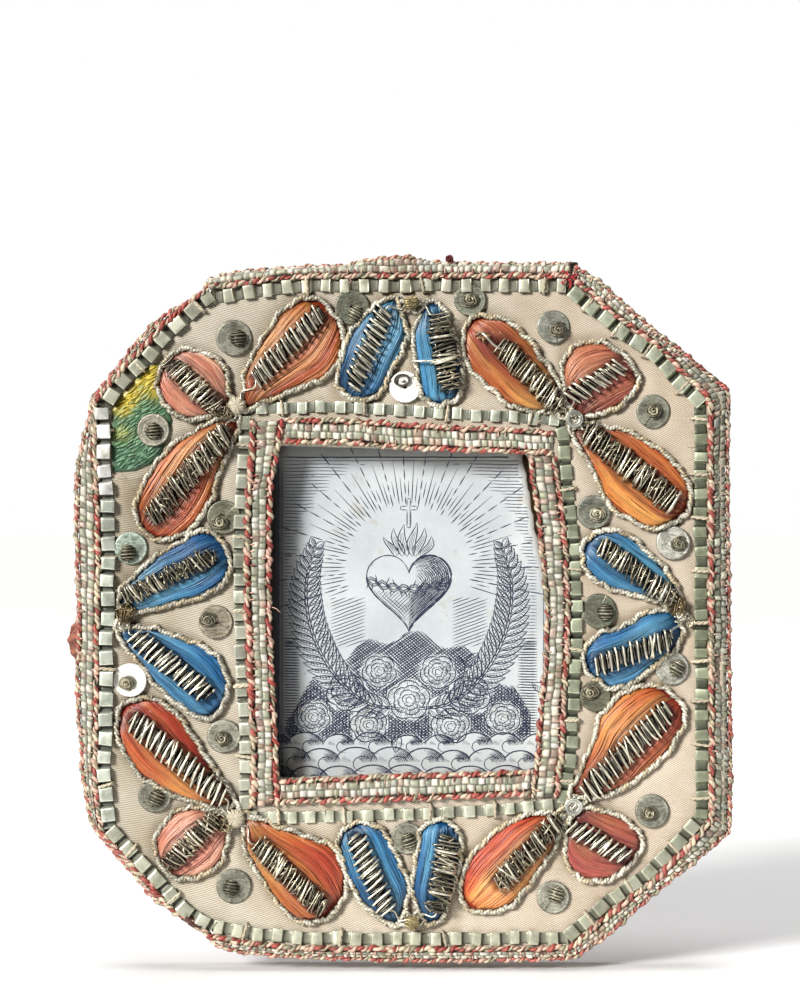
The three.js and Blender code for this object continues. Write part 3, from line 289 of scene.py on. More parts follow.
class Bag:
    """Gathers vertices (x, z, d), faces and a three-number attribute."""

    def __init__(self):
        self.V, self.Q, self.T, self.C, self.n = [], [], [], [], 0

    def add(self, V, Q=None, T=None, C=None):
        V = A(V).reshape(-1, 3)
        if Q is not None and len(Q):
            self.Q.append(np.asarray(Q, np.int64) + self.n)
        if T is not None and len(T):
            self.T.append(np.asarray(T, np.int64) + self.n)
        c = np.zeros((len(V), 3))
        if C is not None:
            c[:] = C
        self.V.append(V)
        self.C.append(c)
        self.n += len(V)

    def make(self, name, mats, slot, replaces=(), flat=False, mat_of=None):
        V = np.vstack(self.V)
        Q = np.vstack(self.Q) if self.Q else np.zeros((0, 4), np.int64)
        T = np.vstack(self.T) if self.T else np.zeros((0, 3), np.int64)
        W = np.stack([V[:, 0], -V[:, 2], V[:, 1]], 1) * 0.001
        me = bpy.data.meshes.new(name)
        me.vertices.add(len(W))
        me.vertices.foreach_set("co", W.ravel())
        me.loops.add(Q.size + T.size)
        me.loops.foreach_set("vertex_index", np.concatenate([Q.ravel(), T.ravel()]).astype(np.int32))
        me.polygons.add(len(Q) + len(T))
        starts = np.concatenate([np.arange(len(Q)) * 4, len(Q) * 4 + np.arange(len(T)) * 3])
        me.polygons.foreach_set("loop_start", starts.astype(np.int32))
        me.polygons.foreach_set("use_smooth", np.full(len(starts), not flat))
        me.update(calc_edges=True)
        at = me.attributes.new("a", "FLOAT_COLOR", "POINT")
        at.data.foreach_set("color", np.hstack([np.vstack(self.C), np.ones((len(W), 1))]).ravel())
        for m in (mats if isinstance(mats, (list, tuple)) else [mats]):
            me.materials.append(m)
        me.validate()
        o = bpy.data.objects.new(name, me)
        bpy.context.scene.collection.objects.link(o)
        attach(o, "root")
        if replaces:
            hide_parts(*replaces)
        return o


def tubes(bag, P, R, k=6, ref=(0, 0, 1), closed=False, flat=1.0, C=None, roll=0.0):
    """Sweeps a round section of k sides along many lines at once.  P is (S, n, 3), R is (S, n) or less,
    ref is a direction (or one for each line) that the lines never follow, and flat squashes the section along it."""
    P = A(P)
    if P.ndim == 2:
        P = P[None]
    S, n, _ = P.shape
    T = (np.roll(P, -1, 1) - np.roll(P, 1, 1)) if closed else np.gradient(P, axis=1)
    T = unit(T)
    ref = A(ref)
    ref = np.broadcast_to(ref if ref.ndim > 1 else ref[None], (S, 3))[:, None, :] if ref.ndim < 3 else ref
    B = unit(np.cross(T, np.broadcast_to(ref, T.shape)))
    N = np.cross(B, T)
    R = np.broadcast_to(A(R) if np.ndim(R) != 1 else A(R)[None] if len(R) == n else A(R)[:, None], (S, n))
    a = 2 * np.pi * np.arange(k) / k + roll
    ring = P[:, :, None, :] + R[..., None, None] * (np.cos(a)[:, None] * B[:, :, None, :] + flat * np.sin(a)[:, None] * N[:, :, None, :])
    i, j = np.meshgrid(np.arange(n if closed else n - 1), np.arange(k), indexing="ij")
    i2, j2 = (i + 1) % n, (j + 1) % k
    one = np.stack([i * k + j, i * k + j2, i2 * k + j2, i2 * k + j], -1).reshape(-1, 4)
    Q = (one[None] + (np.arange(S) * n * k)[:, None, None]).reshape(-1, 4)
    V = ring.reshape(-1, 3)
    if C is None:
        c = np.zeros((len(V), 3))
    else:
        C = A(C)
        if C.ndim == 1:
            c = np.tile(C, (len(V), 1))
        elif C.ndim == 2 and len(C) == S:
            c = np.repeat(C, n * k, 0)
        else:
            c = np.repeat(C.reshape(S * n, 3), k, 0)
    Tr = None
    if not closed:
        base = len(V)
        ends = np.concatenate([P[:, 0], P[:, -1]])
        V = np.vstack([V, ends])
        c = np.vstack([c, c.reshape(S, n * k, 3)[:, 0], c.reshape(S, n * k, 3)[:, -1]])
        s, j = np.meshgrid(np.arange(S), np.arange(k), indexing="ij")
        lo = np.stack([s * n * k + (j + 1) % k, s * n * k + j, base + s], -1).reshape(-1, 3)
        hi = np.stack([(s * n + n - 1) * k + j, (s * n + n - 1) * k + (j + 1) % k, base + S + s], -1).reshape(-1, 3)
        Tr = np.vstack([lo, hi])
    bag.add(V, Q, Tr, c)


def grid_faces(m, n, wrap_m=False, wrap_n=False):
    """Quads of an m by n grid of points."""
    i, j = np.meshgrid(np.arange(m if wrap_m else m - 1), np.arange(n if wrap_n else n - 1), indexing="ij")
    i2, j2 = (i + 1) % m, (j + 1) % n
    return np.stack([i * n + j, i2 * n + j, i2 * n + j2, i * n + j2], -1).reshape(-1, 4)


# ------------------------------------------------------------------ materials
def lin(r, g, b):
    """An sRGB colour of 0 to 255 as the renderer's linear numbers."""
    return np.array([(c / 12.92 if c <= 0.04045 else ((c + 0.055) / 1.055) ** 2.4) for c in (r / 255, g / 255, b / 255)])


class Mat:
    """A small writer of node materials."""

    def __init__(self, name, **sockets):
        self.m = bpy.data.materials.new(name)
        self.m.use_nodes = True
        self.t = self.m.node_tree
        self.t.nodes.clear()
        self.bsdf = self.t.nodes.new("ShaderNodeBsdfPrincipled")
        out = self.t.nodes.new("ShaderNodeOutputMaterial")
        self.t.links.new(self.bsdf.outputs["BSDF"], out.inputs["Surface"])
        for k, v in sockets.items():
            self.bsdf.inputs[k.replace("_", " ")].default_value = v
        self.xyz = self.n("ShaderNodeTexCoord").outputs["Object"]

    def put(self, sock, v):
        if isinstance(v, bpy.types.NodeSocket):
            self.t.links.new(v, sock)
        else:
            sock.default_value = v

    def n(self, kind, inputs=None, **props):
        node = self.t.nodes.new(kind)
        for k, v in props.items():
            setattr(node, k, v)
        for k, v in (inputs or {}).items():
            self.put(node.inputs[k], v)
        return node

    def math(self, op, a, b=0.0, clamp=False):
        return self.n("ShaderNodeMath", {0: a, 1: b}, operation=op, use_clamp=clamp).outputs[0]

    def mix(self, fac, a, b, blend="MIX"):
        node = self.n("ShaderNodeMix", data_type="RGBA", blend_type=blend)
        for i, v in ((0, fac), (6, a), (7, b)):
            self.put(node.inputs[i], (*v, 1) if not isinstance(v, (bpy.types.NodeSocket, float, int)) and len(v) == 3 else v)
        return node.outputs[2]

    def noise(self, scale, detail=3.0, rough=0.55, vec=None, distortion=0.0):
        return self.n("ShaderNodeTexNoise", {"Vector": vec or self.xyz, "Scale": float(scale), "Detail": float(detail),
                                             "Roughness": float(rough), "Distortion": float(distortion)}).outputs["Fac"]

    def stretch(self, sx, sy, sz, rot=(0, 0, 0)):
        return self.n("ShaderNodeMapping", {"Vector": self.xyz, "Scale": (sx, sy, sz), "Rotation": rot}).outputs["Vector"]

    def ramp(self, fac, stops):
        node = self.n("ShaderNodeValToRGB", {"Fac": fac})
        e = node.color_ramp.elements
        while len(e) > 1:
            e.remove(e[-1])
        for i, (p, c) in enumerate(stops):
            c = (c, c, c) if np.isscalar(c) else c
            el = e[0] if i == 0 else e.new(p)
            el.position, el.color = p, (*c, 1)
        return node.outputs["Color"]

    def attr(self, name="a"):
        return self.n("ShaderNodeAttribute", attribute_name=name).outputs["Color"]

    def split(self, col):
        return self.n("ShaderNodeSeparateColor", {"Color": col}).outputs

    def bump(self, height, strength, distance, normal=None):
        node = self.n("ShaderNodeBump", {"Height": height, "Strength": float(strength), "Distance": float(distance)})
        if normal is not None:
            self.put(node.inputs["Normal"], normal)
        return node.outputs["Normal"]

    def done(self, **links):
        for k, v in links.items():
            self.put(self.bsdf.inputs[k.replace("_", " ")], v)
        return self.m


def metal(name, rough, tarnish, tarnish_at, grain, metallic=0.9, wear=0.0, **sockets):
    """Old silvered metal: the vertex colour, darkened by tarnish in patches, with fine scratches."""
    m = Mat(name, Metallic=metallic, **sockets)
    patch = m.noise(520, 4, 0.6)
    fine = m.noise(grain, 3, 0.65)
    t = m.math("MULTIPLY", m.ramp(patch, [(tarnish_at[0], 0.0), (tarnish_at[1], 1.0)]), m.ramp(fine, [(0.25, 0.45), (0.75, 1.0)]))
    col = m.mix(t, m.attr(), tarnish)
    col = m.mix(m.ramp(fine, [(0.3, 0.0), (0.8, 1.0)]), col, m.mix(1.0, col, (1.16, 1.14, 1.08), "MULTIPLY"))
    if wear:                       # crossed scratches, dark where dirt has settled in them and bright where they are fresh
        one = m.noise(1.0, 3, 0.7, m.stretch(1000, 1000, 3400, (0, 0.5, 0)), 0.9)
        two = m.noise(1.0, 3, 0.7, m.stretch(850, 850, 2900, (0, -0.8, 0)), 0.9)
        old = m.math("MAXIMUM", m.ramp(one, [(0.52, 0.0), (0.66, 1.0)]), m.ramp(two, [(0.54, 0.0), (0.68, 1.0)]))
        col = m.mix(m.math("MULTIPLY", old, wear), col, m.mix(1.0, col, (0.30, 0.29, 0.26), "MULTIPLY"))
        col = m.mix(m.math("MULTIPLY", m.ramp(one, [(0.32, 1.0), (0.45, 0.0)]), wear), col, m.mix(1.0, col, (1.45, 1.45, 1.42), "MULTIPLY"))
    r = m.math("ADD", m.math("MULTIPLY", fine, rough[1] - rough[0]), rough[0], clamp=True)
    return m.done(Base_Color=col, Roughness=r, Normal=m.bump(fine, 0.35, 0.00002, m.bump(patch, 0.25, 0.00005)))


def thread(name, rough, grain, depth, **sockets):
    """Spun silk or cotton: the vertex colour, with fibres and soft dirt."""
    m = Mat(name, **sockets)
    fibre = m.noise(grain, 3, 0.7)
    dirt = m.noise(300, 3, 0.6)
    col = m.mix(m.ramp(fibre, [(0.3, 0.0), (0.7, 1.0)]), m.mix(1.0, m.attr(), (0.78, 0.75, 0.72), "MULTIPLY"), m.mix(1.0, m.attr(), (1.12, 1.11, 1.09), "MULTIPLY"))
    col = m.mix(m.ramp(dirt, [(0.5, 0.0), (0.8, 0.35)]), col, m.mix(1.0, col, (0.62, 0.55, 0.46), "MULTIPLY"))
    r = m.math("ADD", m.math("MULTIPLY", fibre, 0.22), rough - 0.1)
    return m.done(Base_Color=col, Roughness=r, Normal=m.bump(fibre, 0.5, depth))


def make_materials():
    M = {}
    # cream ribbed silk: the attribute holds the rib's phase (green), a share darkened by soil and by painted shade
    # beside the cords and down the walls (red), and stain (blue)
    m = Mat("cream_ribbed_silk", Specular_IOR_Level=0.35, Sheen_Weight=0.15, Sheen_Roughness=0.4)
    r, g, b = (m.split(m.attr())[i] for i in range(3))
    phase = m.math("MULTIPLY", g, 1000.0)
    jit = m.math("MULTIPLY", m.math("SUBTRACT", m.noise(180, 2), 0.5), 2.6)
    pick = m.math("MULTIPLY_ADD", m.math("SINE", m.math("ADD", m.math("MULTIPLY", b, 1000.0), m.math("MULTIPLY", jit, 0.8))), 0.07)
    pick.node.inputs[2].default_value = 0.5
    rib = m.math("MULTIPLY_ADD", m.math("SINE", m.math("ADD", phase, jit)), 0.34)
    m.put(rib.node.inputs[2], pick)
    slub = m.noise(1.0, 3, 0.6, m.stretch(500, 500, 2600))
    weave = m.noise(5200, 2, 0.6)
    col = m.mix(m.ramp(rib, [(0.05, 0.0), (0.65, 1.0)]), tuple(lin(148, 137, 121)), tuple(lin(217, 207, 193)))
    col = m.mix(m.ramp(slub, [(0.35, 0.0), (0.75, 1.0)]), col, m.mix(1.0, col, (0.93, 0.90, 0.86), "MULTIPLY"))
    col = m.mix(m.ramp(m.noise(95, 4, 0.6), [(0.42, 0.0), (0.72, 0.75)]), col, m.mix(1.0, col, (0.90, 0.84, 0.76), "MULTIPLY"))
    # red darkens the silk: real soil, and painted shade beside the cords and down the walls
    col = m.mix(m.math("MULTIPLY", r, 0.8), col, m.mix(1.0, col, (0.55, 0.47, 0.38), "MULTIPLY"))
    east = m.n("ShaderNodeSeparateXYZ", {0: m.xyz}).outputs[0]        # the right side is a little lighter and warmer, the left a little greyer
    side = m.math("MULTIPLY_ADD", east, 10.0)
    side.node.inputs[2].default_value = 0.5
    col = m.mix(m.ramp(side, [(0.0, 0.0), (1.0, 1.0)]), m.mix(1.0, col, (0.96, 1.0, 0.98), "MULTIPLY"), m.mix(1.0, col, (1.12, 1.07, 1.02), "MULTIPLY"))
    col = m.mix(m.ramp(weave, [(0.3, 0.0), (0.7, 1.0)]), m.mix(1.0, col, (0.92, 0.92, 0.92), "MULTIPLY"), col)
    ro = m.math("ADD", m.math("MULTIPLY", weave, 0.25), 0.5)
    M["silk"] = m.done(Base_Color=col, Roughness=ro, Normal=m.bump(weave, 0.3, 0.00002, m.bump(rib, 0.7, 0.00005)))

    # coarse russet cotton of the back
    m = Mat("russet_cotton", Specular_IOR_Level=0.2, Sheen_Weight=0.2, Sheen_Roughness=0.6)
    sx, sy, sz = m.n("ShaderNodeSeparateXYZ", {0: m.xyz}).outputs
    wob1 = m.math("MULTIPLY", m.noise(160, 2), 6.0)
    u = m.math("SINE", m.math("ADD", m.math("MULTIPLY", sx, 2 * math.pi / 0.00064), wob1))
    v = m.math("SINE", m.math("ADD", m.math("MULTIPLY", sz, 2 * math.pi / 0.00072), wob1))
    cloth = m.math("MULTIPLY_ADD", m.math("MULTIPLY", u, v), 0.5)
    cloth.node.inputs[2].default_value = 0.5
    hair = m.noise(3800, 3, 0.7)
    col = m.mix(m.ramp(cloth, [(0.1, 0.0), (0.9, 1.0)]), tuple(lin(84, 38, 30)), tuple(lin(172, 96, 72)))
    col = m.mix(m.ramp(m.noise(45, 5, 0.62), [(0.40, 0.0), (0.66, 0.9)]), col, m.mix(1.0, col, (0.60, 0.52, 0.46), "MULTIPLY"))
    col = m.mix(m.ramp(m.noise(90, 4, 0.6), [(0.55, 0.0), (0.8, 0.7)]), col, tuple(lin(176, 128, 98)))
    col = m.mix(m.ramp(hair, [(0.3, 0.0), (0.7, 1.0)]), m.mix(1.0, col, (0.82, 0.82, 0.82), "MULTIPLY"), col)
    M["cotton"] = m.done(Base_Color=col, Roughness=m.math("ADD", m.math("MULTIPLY", hair, 0.2), 0.75),
                         Normal=m.bump(hair, 0.5, 0.00003, m.bump(cloth, 0.9, 0.00008)))

    # grey-brown pressed card
    m = Mat("old_card", Specular_IOR_Level=0.25)
    fib = m.noise(1.0, 4, 0.7, m.stretch(900, 5200, 900))
    col = m.mix(m.ramp(fib, [(0.3, 0.0), (0.7, 1.0)]), tuple(lin(112, 92, 68)), tuple(lin(158, 136, 104)))
    col = m.mix(m.ramp(m.noise(120, 4), [(0.45, 0.0), (0.75, 0.8)]), col, m.mix(1.0, col, (0.55, 0.46, 0.38), "MULTIPLY"))
    M["card"] = m.done(Base_Color=col, Roughness=m.math("ADD", m.math("MULTIPLY", fib, 0.15), 0.8), Normal=m.bump(fib, 0.6, 0.00006))

    # laid paper, foxed; red holds soiling and painted shade towards the edges, blue a painted shadow by the window's
    # left and top walls
    m = Mat("laid_paper", Specular_IOR_Level=0.25)
    r, g, b = (m.split(m.attr())[i] for i in range(3))
    fib = m.noise(2600, 4, 0.7)
    sx, sy, sz = m.n("ShaderNodeSeparateXYZ", {0: m.xyz}).outputs
    laid = m.math("SINE", m.math("MULTIPLY", sz, 2 * math.pi / 0.0011))
    col = m.mix(m.ramp(m.noise(70, 5, 0.6), [(0.35, 0.0), (0.7, 1.0)]), tuple(lin(208, 214, 215)), tuple(lin(182, 189, 193)))
    col = m.mix(m.ramp(m.noise(210, 4, 0.65), [(0.60, 0.0), (0.74, 0.55)]), col, tuple(lin(176, 164, 142)))
    col = m.mix(m.ramp(m.noise(620, 3, 0.6), [(0.68, 0.0), (0.76, 0.55)]), col, tuple(lin(128, 112, 96)))
    # red: soil and painted shade along the paper's edges
    col = m.mix(m.math("MULTIPLY", r, 0.75), col, tuple(lin(132, 122, 112)))
    # blue paints the near-black shadow cast by the window's left and top walls
    col = m.mix(b, col, tuple(lin(26, 24, 24)))
    col = m.mix(m.ramp(fib, [(0.3, 0.0), (0.7, 1.0)]), m.mix(1.0, col, (0.92, 0.92, 0.93), "MULTIPLY"), col)
    M["paper"] = m.done(Base_Color=col, Roughness=m.math("ADD", m.math("MULTIPLY", fib, 0.2), 0.68),
                        Normal=m.bump(fib, 0.35, 0.00003, m.bump(laid, 0.15, 0.00004)))
    m = Mat("printing_ink", Specular_IOR_Level=0.2)
    worn = m.noise(1500, 4, 0.65)
    col = m.mix(m.ramp(worn, [(0.50, 0.0), (0.72, 0.8)]), tuple(lin(44, 50, 72)), tuple(lin(108, 114, 132)))
    M["ink"] = m.done(Base_Color=col, Roughness=m.math("ADD", m.math("MULTIPLY", worn, 0.2), 0.6))

    # silk floss: lustrous, the strands are mesh
    m = Mat("silk_floss", Specular_IOR_Level=0.75, Sheen_Weight=0.1, Sheen_Roughness=0.3, Anisotropic=0.4)
    fine = m.noise(4200, 3, 0.7)
    soft = m.noise(800, 3, 0.6)
    col = m.mix(m.ramp(fine, [(0.25, 0.0), (0.75, 1.0)]), m.mix(1.0, m.attr(), (0.80, 0.77, 0.77), "MULTIPLY"), m.mix(1.0, m.attr(), (1.15, 1.15, 1.15), "MULTIPLY"))
    col = m.mix(m.ramp(soft, [(0.4, 0.0), (0.75, 0.6)]), col, m.mix(1.0, col, (0.75, 0.70, 0.68), "MULTIPLY"))
    M["floss"] = m.done(Base_Color=col, Roughness=m.math("ADD", m.math("MULTIPLY", fine, 0.24), 0.26), Normal=m.bump(fine, 0.35, 0.00002))

    M["thread"] = thread("silk_thread", 0.62, 3600, 0.00003, Specular_IOR_Level=0.35)
    M["rough_thread"] = thread("coarse_thread", 0.8, 2600, 0.00005, Specular_IOR_Level=0.2)
    M["cord"] = metal("metal_wrapped_cord", (0.36, 0.60), tuple(lin(88, 78, 60)), (0.50, 0.74), 5200, metallic=0.35)
    M["braid"] = metal("woven_metal_tape", (0.42, 0.66), tuple(lin(118, 108, 86)), (0.54, 0.80), 4200, metallic=0.22)
    M["strip"] = metal("crimped_silvered_strip", (0.34, 0.56), tuple(lin(92, 94, 72)), (0.46, 0.78), 3600, metallic=0.5)
    M["purl"] = metal("purl_wire", (0.24, 0.46), tuple(lin(52, 46, 34)), (0.46, 0.74), 4200, metallic=0.75)
    M["sequin"] = metal("tarnished_sequin", (0.34, 0.58), tuple(lin(76, 76, 64)), (0.42, 0.72), 3000, metallic=0.5, wear=0.85)
    M["white_sequin"] = metal("whitened_sequin", (0.40, 0.60), tuple(lin(176, 172, 160)), (0.58, 0.86), 3400, metallic=0.08)
    return M


# ------------------------------------------------------------------ the covers
EDGE, STRIP_OUT, STRIP_IN = ccw(EDGE), ccw(STRIP_OUT), ccw(STRIP_IN)
WINDOW, LEAF = ccw(WINDOW), ccw(LEAF)
PETALS = {k: ccw(v) for k, v in PETALS.items()}
CENTRE = A([0.4, 0.0])
CLOTH_OUT = offset(resample(EDGE, 900, True), -OVERHANG)
CLOTH_IN = offset(resample(WINDOW, 500, True), 0.3)


def ray_hit(poly, ang, c=CENTRE):
    """How far the outline lies from c in each direction, for an outline that c sees all of."""
    P = resample(poly, 5000, True) - c
    a = np.arctan2(P[:, 1], P[:, 0])
    o = np.argsort(a)
    a, r = a[o], np.hypot(P[o, 0], P[o, 1])
    return np.interp(ang, np.concatenate([a - 2 * np.pi, a, a + 2 * np.pi]), np.tile(r, 3))


CORD_LINES = {k: smooth(v, 260) for k, v in PETALS.items()}
CORD_PTS = np.vstack([resample(v, 90, True) for v in CORD_LINES.values()])


def cloth_relief(x, z):
    """How far the silk stands off its card: drawn down under the cords and trims, puffed between, and creased."""
    P = np.stack([x.ravel(), z.ravel()], 1)
    dc = near(P, CORD_PTS).reshape(x.shape)
    ds = near(P, resample(STRIP_OUT, 500, True)).reshape(x.shape)
    di = near(P, resample(STRIP_IN, 300, True)).reshape(x.shape)
    h = 0.10 * wob(x, z, 5, 14.0) + 0.05 * wob(x, z, 6, 5.0)
    free = np.minimum(np.minimum(dc, ds), di)
    h = h + 0.20 * (1 - np.exp(-((free / 2.2) ** 2)))
    h = h - 0.22 * np.exp(-((dc / 0.9) ** 2)) - 0.10 * np.exp(-((ds / 1.5) ** 2))
    # little creases that run away from the stitches
    crease = np.sin(2 * np.pi * (x * 0.83 + z * 0.55 + 1.2 * wob(x, z, 7, 9.0)) / 1.9)
    h = h + 0.062 * crease * np.exp(-((free / 1.7) ** 2))
    under = inside(P, offset(LEAF, 0.5)).reshape(x.shape)
    h = np.where(under, 0.25 * h - 0.12, h)
    # two folds under the figured scrap, and one each by the lower corners
    for (x0, z0, ang, amp, wd, ln) in ((-40.2, 20.3, 0.06, 0.34, 0.42, 4.2), (-39.8, 18.9, -0.10, 0.20, 0.5, 3.0),
                                       (38.9, -24.9, 0.5, 0.18, 0.5, 3.4), (-33.5, -42.0, -0.7, 0.16, 0.5, 3.0), (17.5, 46.8, 0.1, 0.12, 0.6, 5.0)):
        u = (x - x0) * math.cos(ang) + (z - z0) * math.sin(ang)
        w = -(x - x0) * math.sin(ang) + (z - z0) * math.cos(ang)
        h = h + amp * np.exp(-((w / wd) ** 2) - (u / ln) ** 2)
    return h


def make_front_cloth(M):
    n = 620
    ang = np.linspace(-np.pi, np.pi, n, endpoint=False)
    ri, ro = ray_hit(CLOTH_IN, ang), ray_hit(CLOTH_OUT, ang)
    dirs = np.stack([np.cos(ang), np.sin(ang)], 1)
    rows = []                                    # (kind, share) of each ring, from the window's foot to the outer foot and back inside
    rows += [("in", ri + 0.02, 2.6 + (7.15 - 2.6) * t) for t in np.linspace(0, 1, 7)]
    rows += [("in", ri + 0.30 * (1 - math.cos(a)), 7.15 + 0.43 * math.sin(a)) for a in (0.4, 0.8, 1.2)]
    front = np.linspace(0, 1, 47)
    rows += [("front", ri + 0.32 + (ro - ri - 0.74) * t, 7.58) for t in front]
    rows += [("out", ro - 0.40 * (1 - math.sin(a)), 7.58 - 0.45 * (1 - math.cos(a))) for a in (0.4, 0.8, 1.2)]
    rows += [("out", ro, 7.1 + (2.5 - 7.1) * t) for t in np.linspace(0, 1, 12)]
    rows += [("back", ro - 0.3, 2.5), ("back", ro - 0.3, 5.0), ("back", ro - 0.34, 7.05)]
    rows += [("back", ri + 0.6 + (ro - ri - 1.1) * (1 - t), 7.26) for t in np.linspace(0, 1, 6)]
    rows += [("back", ri + 0.34, 7.0), ("back", ri + 0.34, 4.8), ("back", ri + 0.34, 2.6)]
    V = np.zeros((len(rows), n, 3))
    for k, (kind, r, d) in enumerate(rows):
        xy = CENTRE + dirs * np.asarray(r)[:, None]
        V[k, :, :2], V[k, :, 2] = xy, d
    front_rows = [k for k, r in enumerate(rows) if r[0] == "front"]
    X, Z = V[front_rows, :, 0], V[front_rows, :, 1]
    V[front_rows, :, 2] += cloth_relief(X, Z)
    # the side wrap is drawn in by its stitches and creased at the corners
    for k, (kind, r, d) in enumerate(rows):
        if kind == "out":
            x, z = V[k, :, 0], V[k, :, 1]
            s = ang * 50
            sway = 0.10 * np.sin(s * 1.3 + d) + 0.08 * np.sin(s * 3.1 + 1.7 * d) + 0.06 * np.sin(s * 7.7 - d)
            pull = 0.22 * np.exp(-((d - 2.5) / 0.9) ** 2) * (0.5 + 0.5 * np.cos(2 * np.pi * s / 1.35))
            V[k, :, :2] -= dirs * (np.maximum(0, 7.1 - d)[..., None] * 0.02 + np.minimum(1, max(0, 7.4 - d)) * (0.12 - sway)[:, None] * 0.6 + pull[:, None])
        if kind == "in":
            V[k, :, :2] += dirs * (0.06 * np.sin(ang * 37 + d * 2.1) * min(1, max(0, 7.3 - d)))[:, None]
    # the rib runs level down the left side and climbs to the right elsewhere
    x, z = V[..., 0], V[..., 1]
    slope = 0.10 * x + 0.5 * 13 * np.log(1 + np.exp((x + 20) / 13))
    phase = (z - slope + 0.35 * wob(x, z, 9, 30.0)) * 2 * np.pi / 0.33
    phase = np.where(V[..., 2] < 7.0, (V[..., 2] * 0.9 + (x + z) * 0.8) * 2 * np.pi / 0.33, phase)
    across = (x + 0.35 * z + 0.3 * wob(x, z, 10, 30.0)) * 2 * np.pi / 0.36
    across = np.where(V[..., 2] < 7.0, (x - z) * 2 * np.pi / 0.36, across)
    soil_and_painted_shade = np.zeros(x.shape)
    P = np.stack([X.ravel(), Z.ravel()], 1)
    dc = near(P, CORD_PTS).reshape(X.shape)
    # soil and painted shade: darker beside the cords and down the window and side walls (painted shade), in patches,
    # towards the left edge, and in a stain below the scrap
    soil_and_painted_shade[front_rows] = 0.55 * np.exp(-((dc / 0.8) ** 2)) + 0.25 * np.clip(wob(X, Z, 12, 8.0), 0, 1)
    soil_and_painted_shade += np.where(V[..., 2] < 6.8, 0.25, 0) + 0.46 / (1 + np.exp((x + 37.0) / 1.8))
    soil_and_painted_shade += 0.45 * np.exp(-(((x + 41.2) / 1.6) ** 2) - ((z - 17.6) / 3.0) ** 2) + 0.18 * np.clip(wob(x, z, 13, 22.0), 0, 1)
    C = np.stack([np.clip(soil_and_painted_shade, 0, 1), phase / 1000.0, across / 1000.0], -1)
    bag = Bag()
    bag.add(V.reshape(-1, 3), fix(V.reshape(-1, 3), grid_faces(len(rows), n, True, True)), None, C.reshape(-1, 3))
    o = bag.make("silk_front_cover", M["silk"], "cream_silk", ["front_cloth"])
    return o


def fix(V, Q):
    """Turns the faces of a closed mesh outwards."""
    a, b, c = V[Q[:, 0]], V[Q[:, 1]], V[Q[:, 2]]
    vol = float(np.einsum("ij,ij->i", a, np.cross(b, c)).sum())
    if Q.shape[1] == 4:
        d = V[Q[:, 3]]
        vol += float(np.einsum("ij,ij->i", a, np.cross(c, d)).sum())
    return Q[:, ::-1] if vol < 0 else Q


def make_back_cloth(M):
    n, m = 560, 46
    ang = np.linspace(-np.pi, np.pi, n, endpoint=False)
    ro = ray_hit(offset(resample(EDGE, 900, True), -1.3), ang)
    dirs = np.stack([np.cos(ang), np.sin(ang)], 1)
    V, kinds = [], []

    def ring(r, d, kind):
        V.append(np.hstack([CENTRE + dirs * np.asarray(r)[:, None], np.broadcast_to(d, (n,))[:, None]]))
        kinds.append(kind)
    rr = np.linspace(0.02, 1, m) ** 0.85
    for t in rr:                                         # the back face
        x, z = (CENTRE + dirs * ((ro - 0.35) * t)[:, None]).T
        edge = (ro - 0.35) * (1 - t)
        relief = 0.12 * wob(x, z, 21, 18) + 0.09 * wob(x, z, 22, 6) + 0.10 * np.exp(-((edge - 2.2) / 0.7) ** 2)
        pk = 0.07 * np.sin(ang * 150) * np.exp(-(edge / 2.2) ** 2)
        ring((ro - 0.35) * t, np.clip(0.13 - relief - pk, 0.0, 0.34), "face")
    for a in (0.35, 0.75, 1.15, 1.5):
        ring(ro - 0.35 * (1 - math.sin(a)), 0.05 + 0.4 * (1 - math.cos(a)), "rim")
    for d in (0.8, 1.2, 1.6, 2.0, 2.4):
        ring(ro + 0.06 * np.sin(ang * 130 + d) - (0.12 if d > 2.2 else 0), d, "rim")
    for d in (2.4, 1.4, 0.56):
        ring(ro - 0.3, d, "under")
    for t in np.linspace(0.97, 0.02, 8):
        ring((ro - 0.35) * t, 0.48, "under")
    V = np.stack(V)
    V2 = V.reshape(-1, 3)
    Q = grid_faces(len(V), n, False, True)
    c0, c1 = len(V2), len(V2) + 1
    V3 = np.vstack([V2, [[*CENTRE, 0.1]], [[*CENTRE, 0.48]]])
    j = np.arange(n)
    last = (len(V) - 1) * n
    T = np.vstack([np.stack([j, (j + 1) % n, np.full(n, c0)], 1), np.stack([last + (j + 1) % n, last + j, np.full(n, c1)], 1)])
    if fix(V3, Q)[0, 0] != Q[0, 0]:
        Q = Q[:, ::-1]
    else:
        T = T[:, ::-1]
    # the caps close the same way round as the quads
    e = set(map(tuple, np.vstack([Q[:, [0, 1]], Q[:, [1, 2]], Q[:, [2, 3]], Q[:, [3, 0]]]).tolist()))
    if (int(T[0, 0]), int(T[0, 1])) in e:
        T = T[:, ::-1]
    bag = Bag()
    bag.add(V3, Q, T, None)
    o = bag.make("cotton_back", M["cotton"], "backing_cloth", ["back_cloth"])
    return o


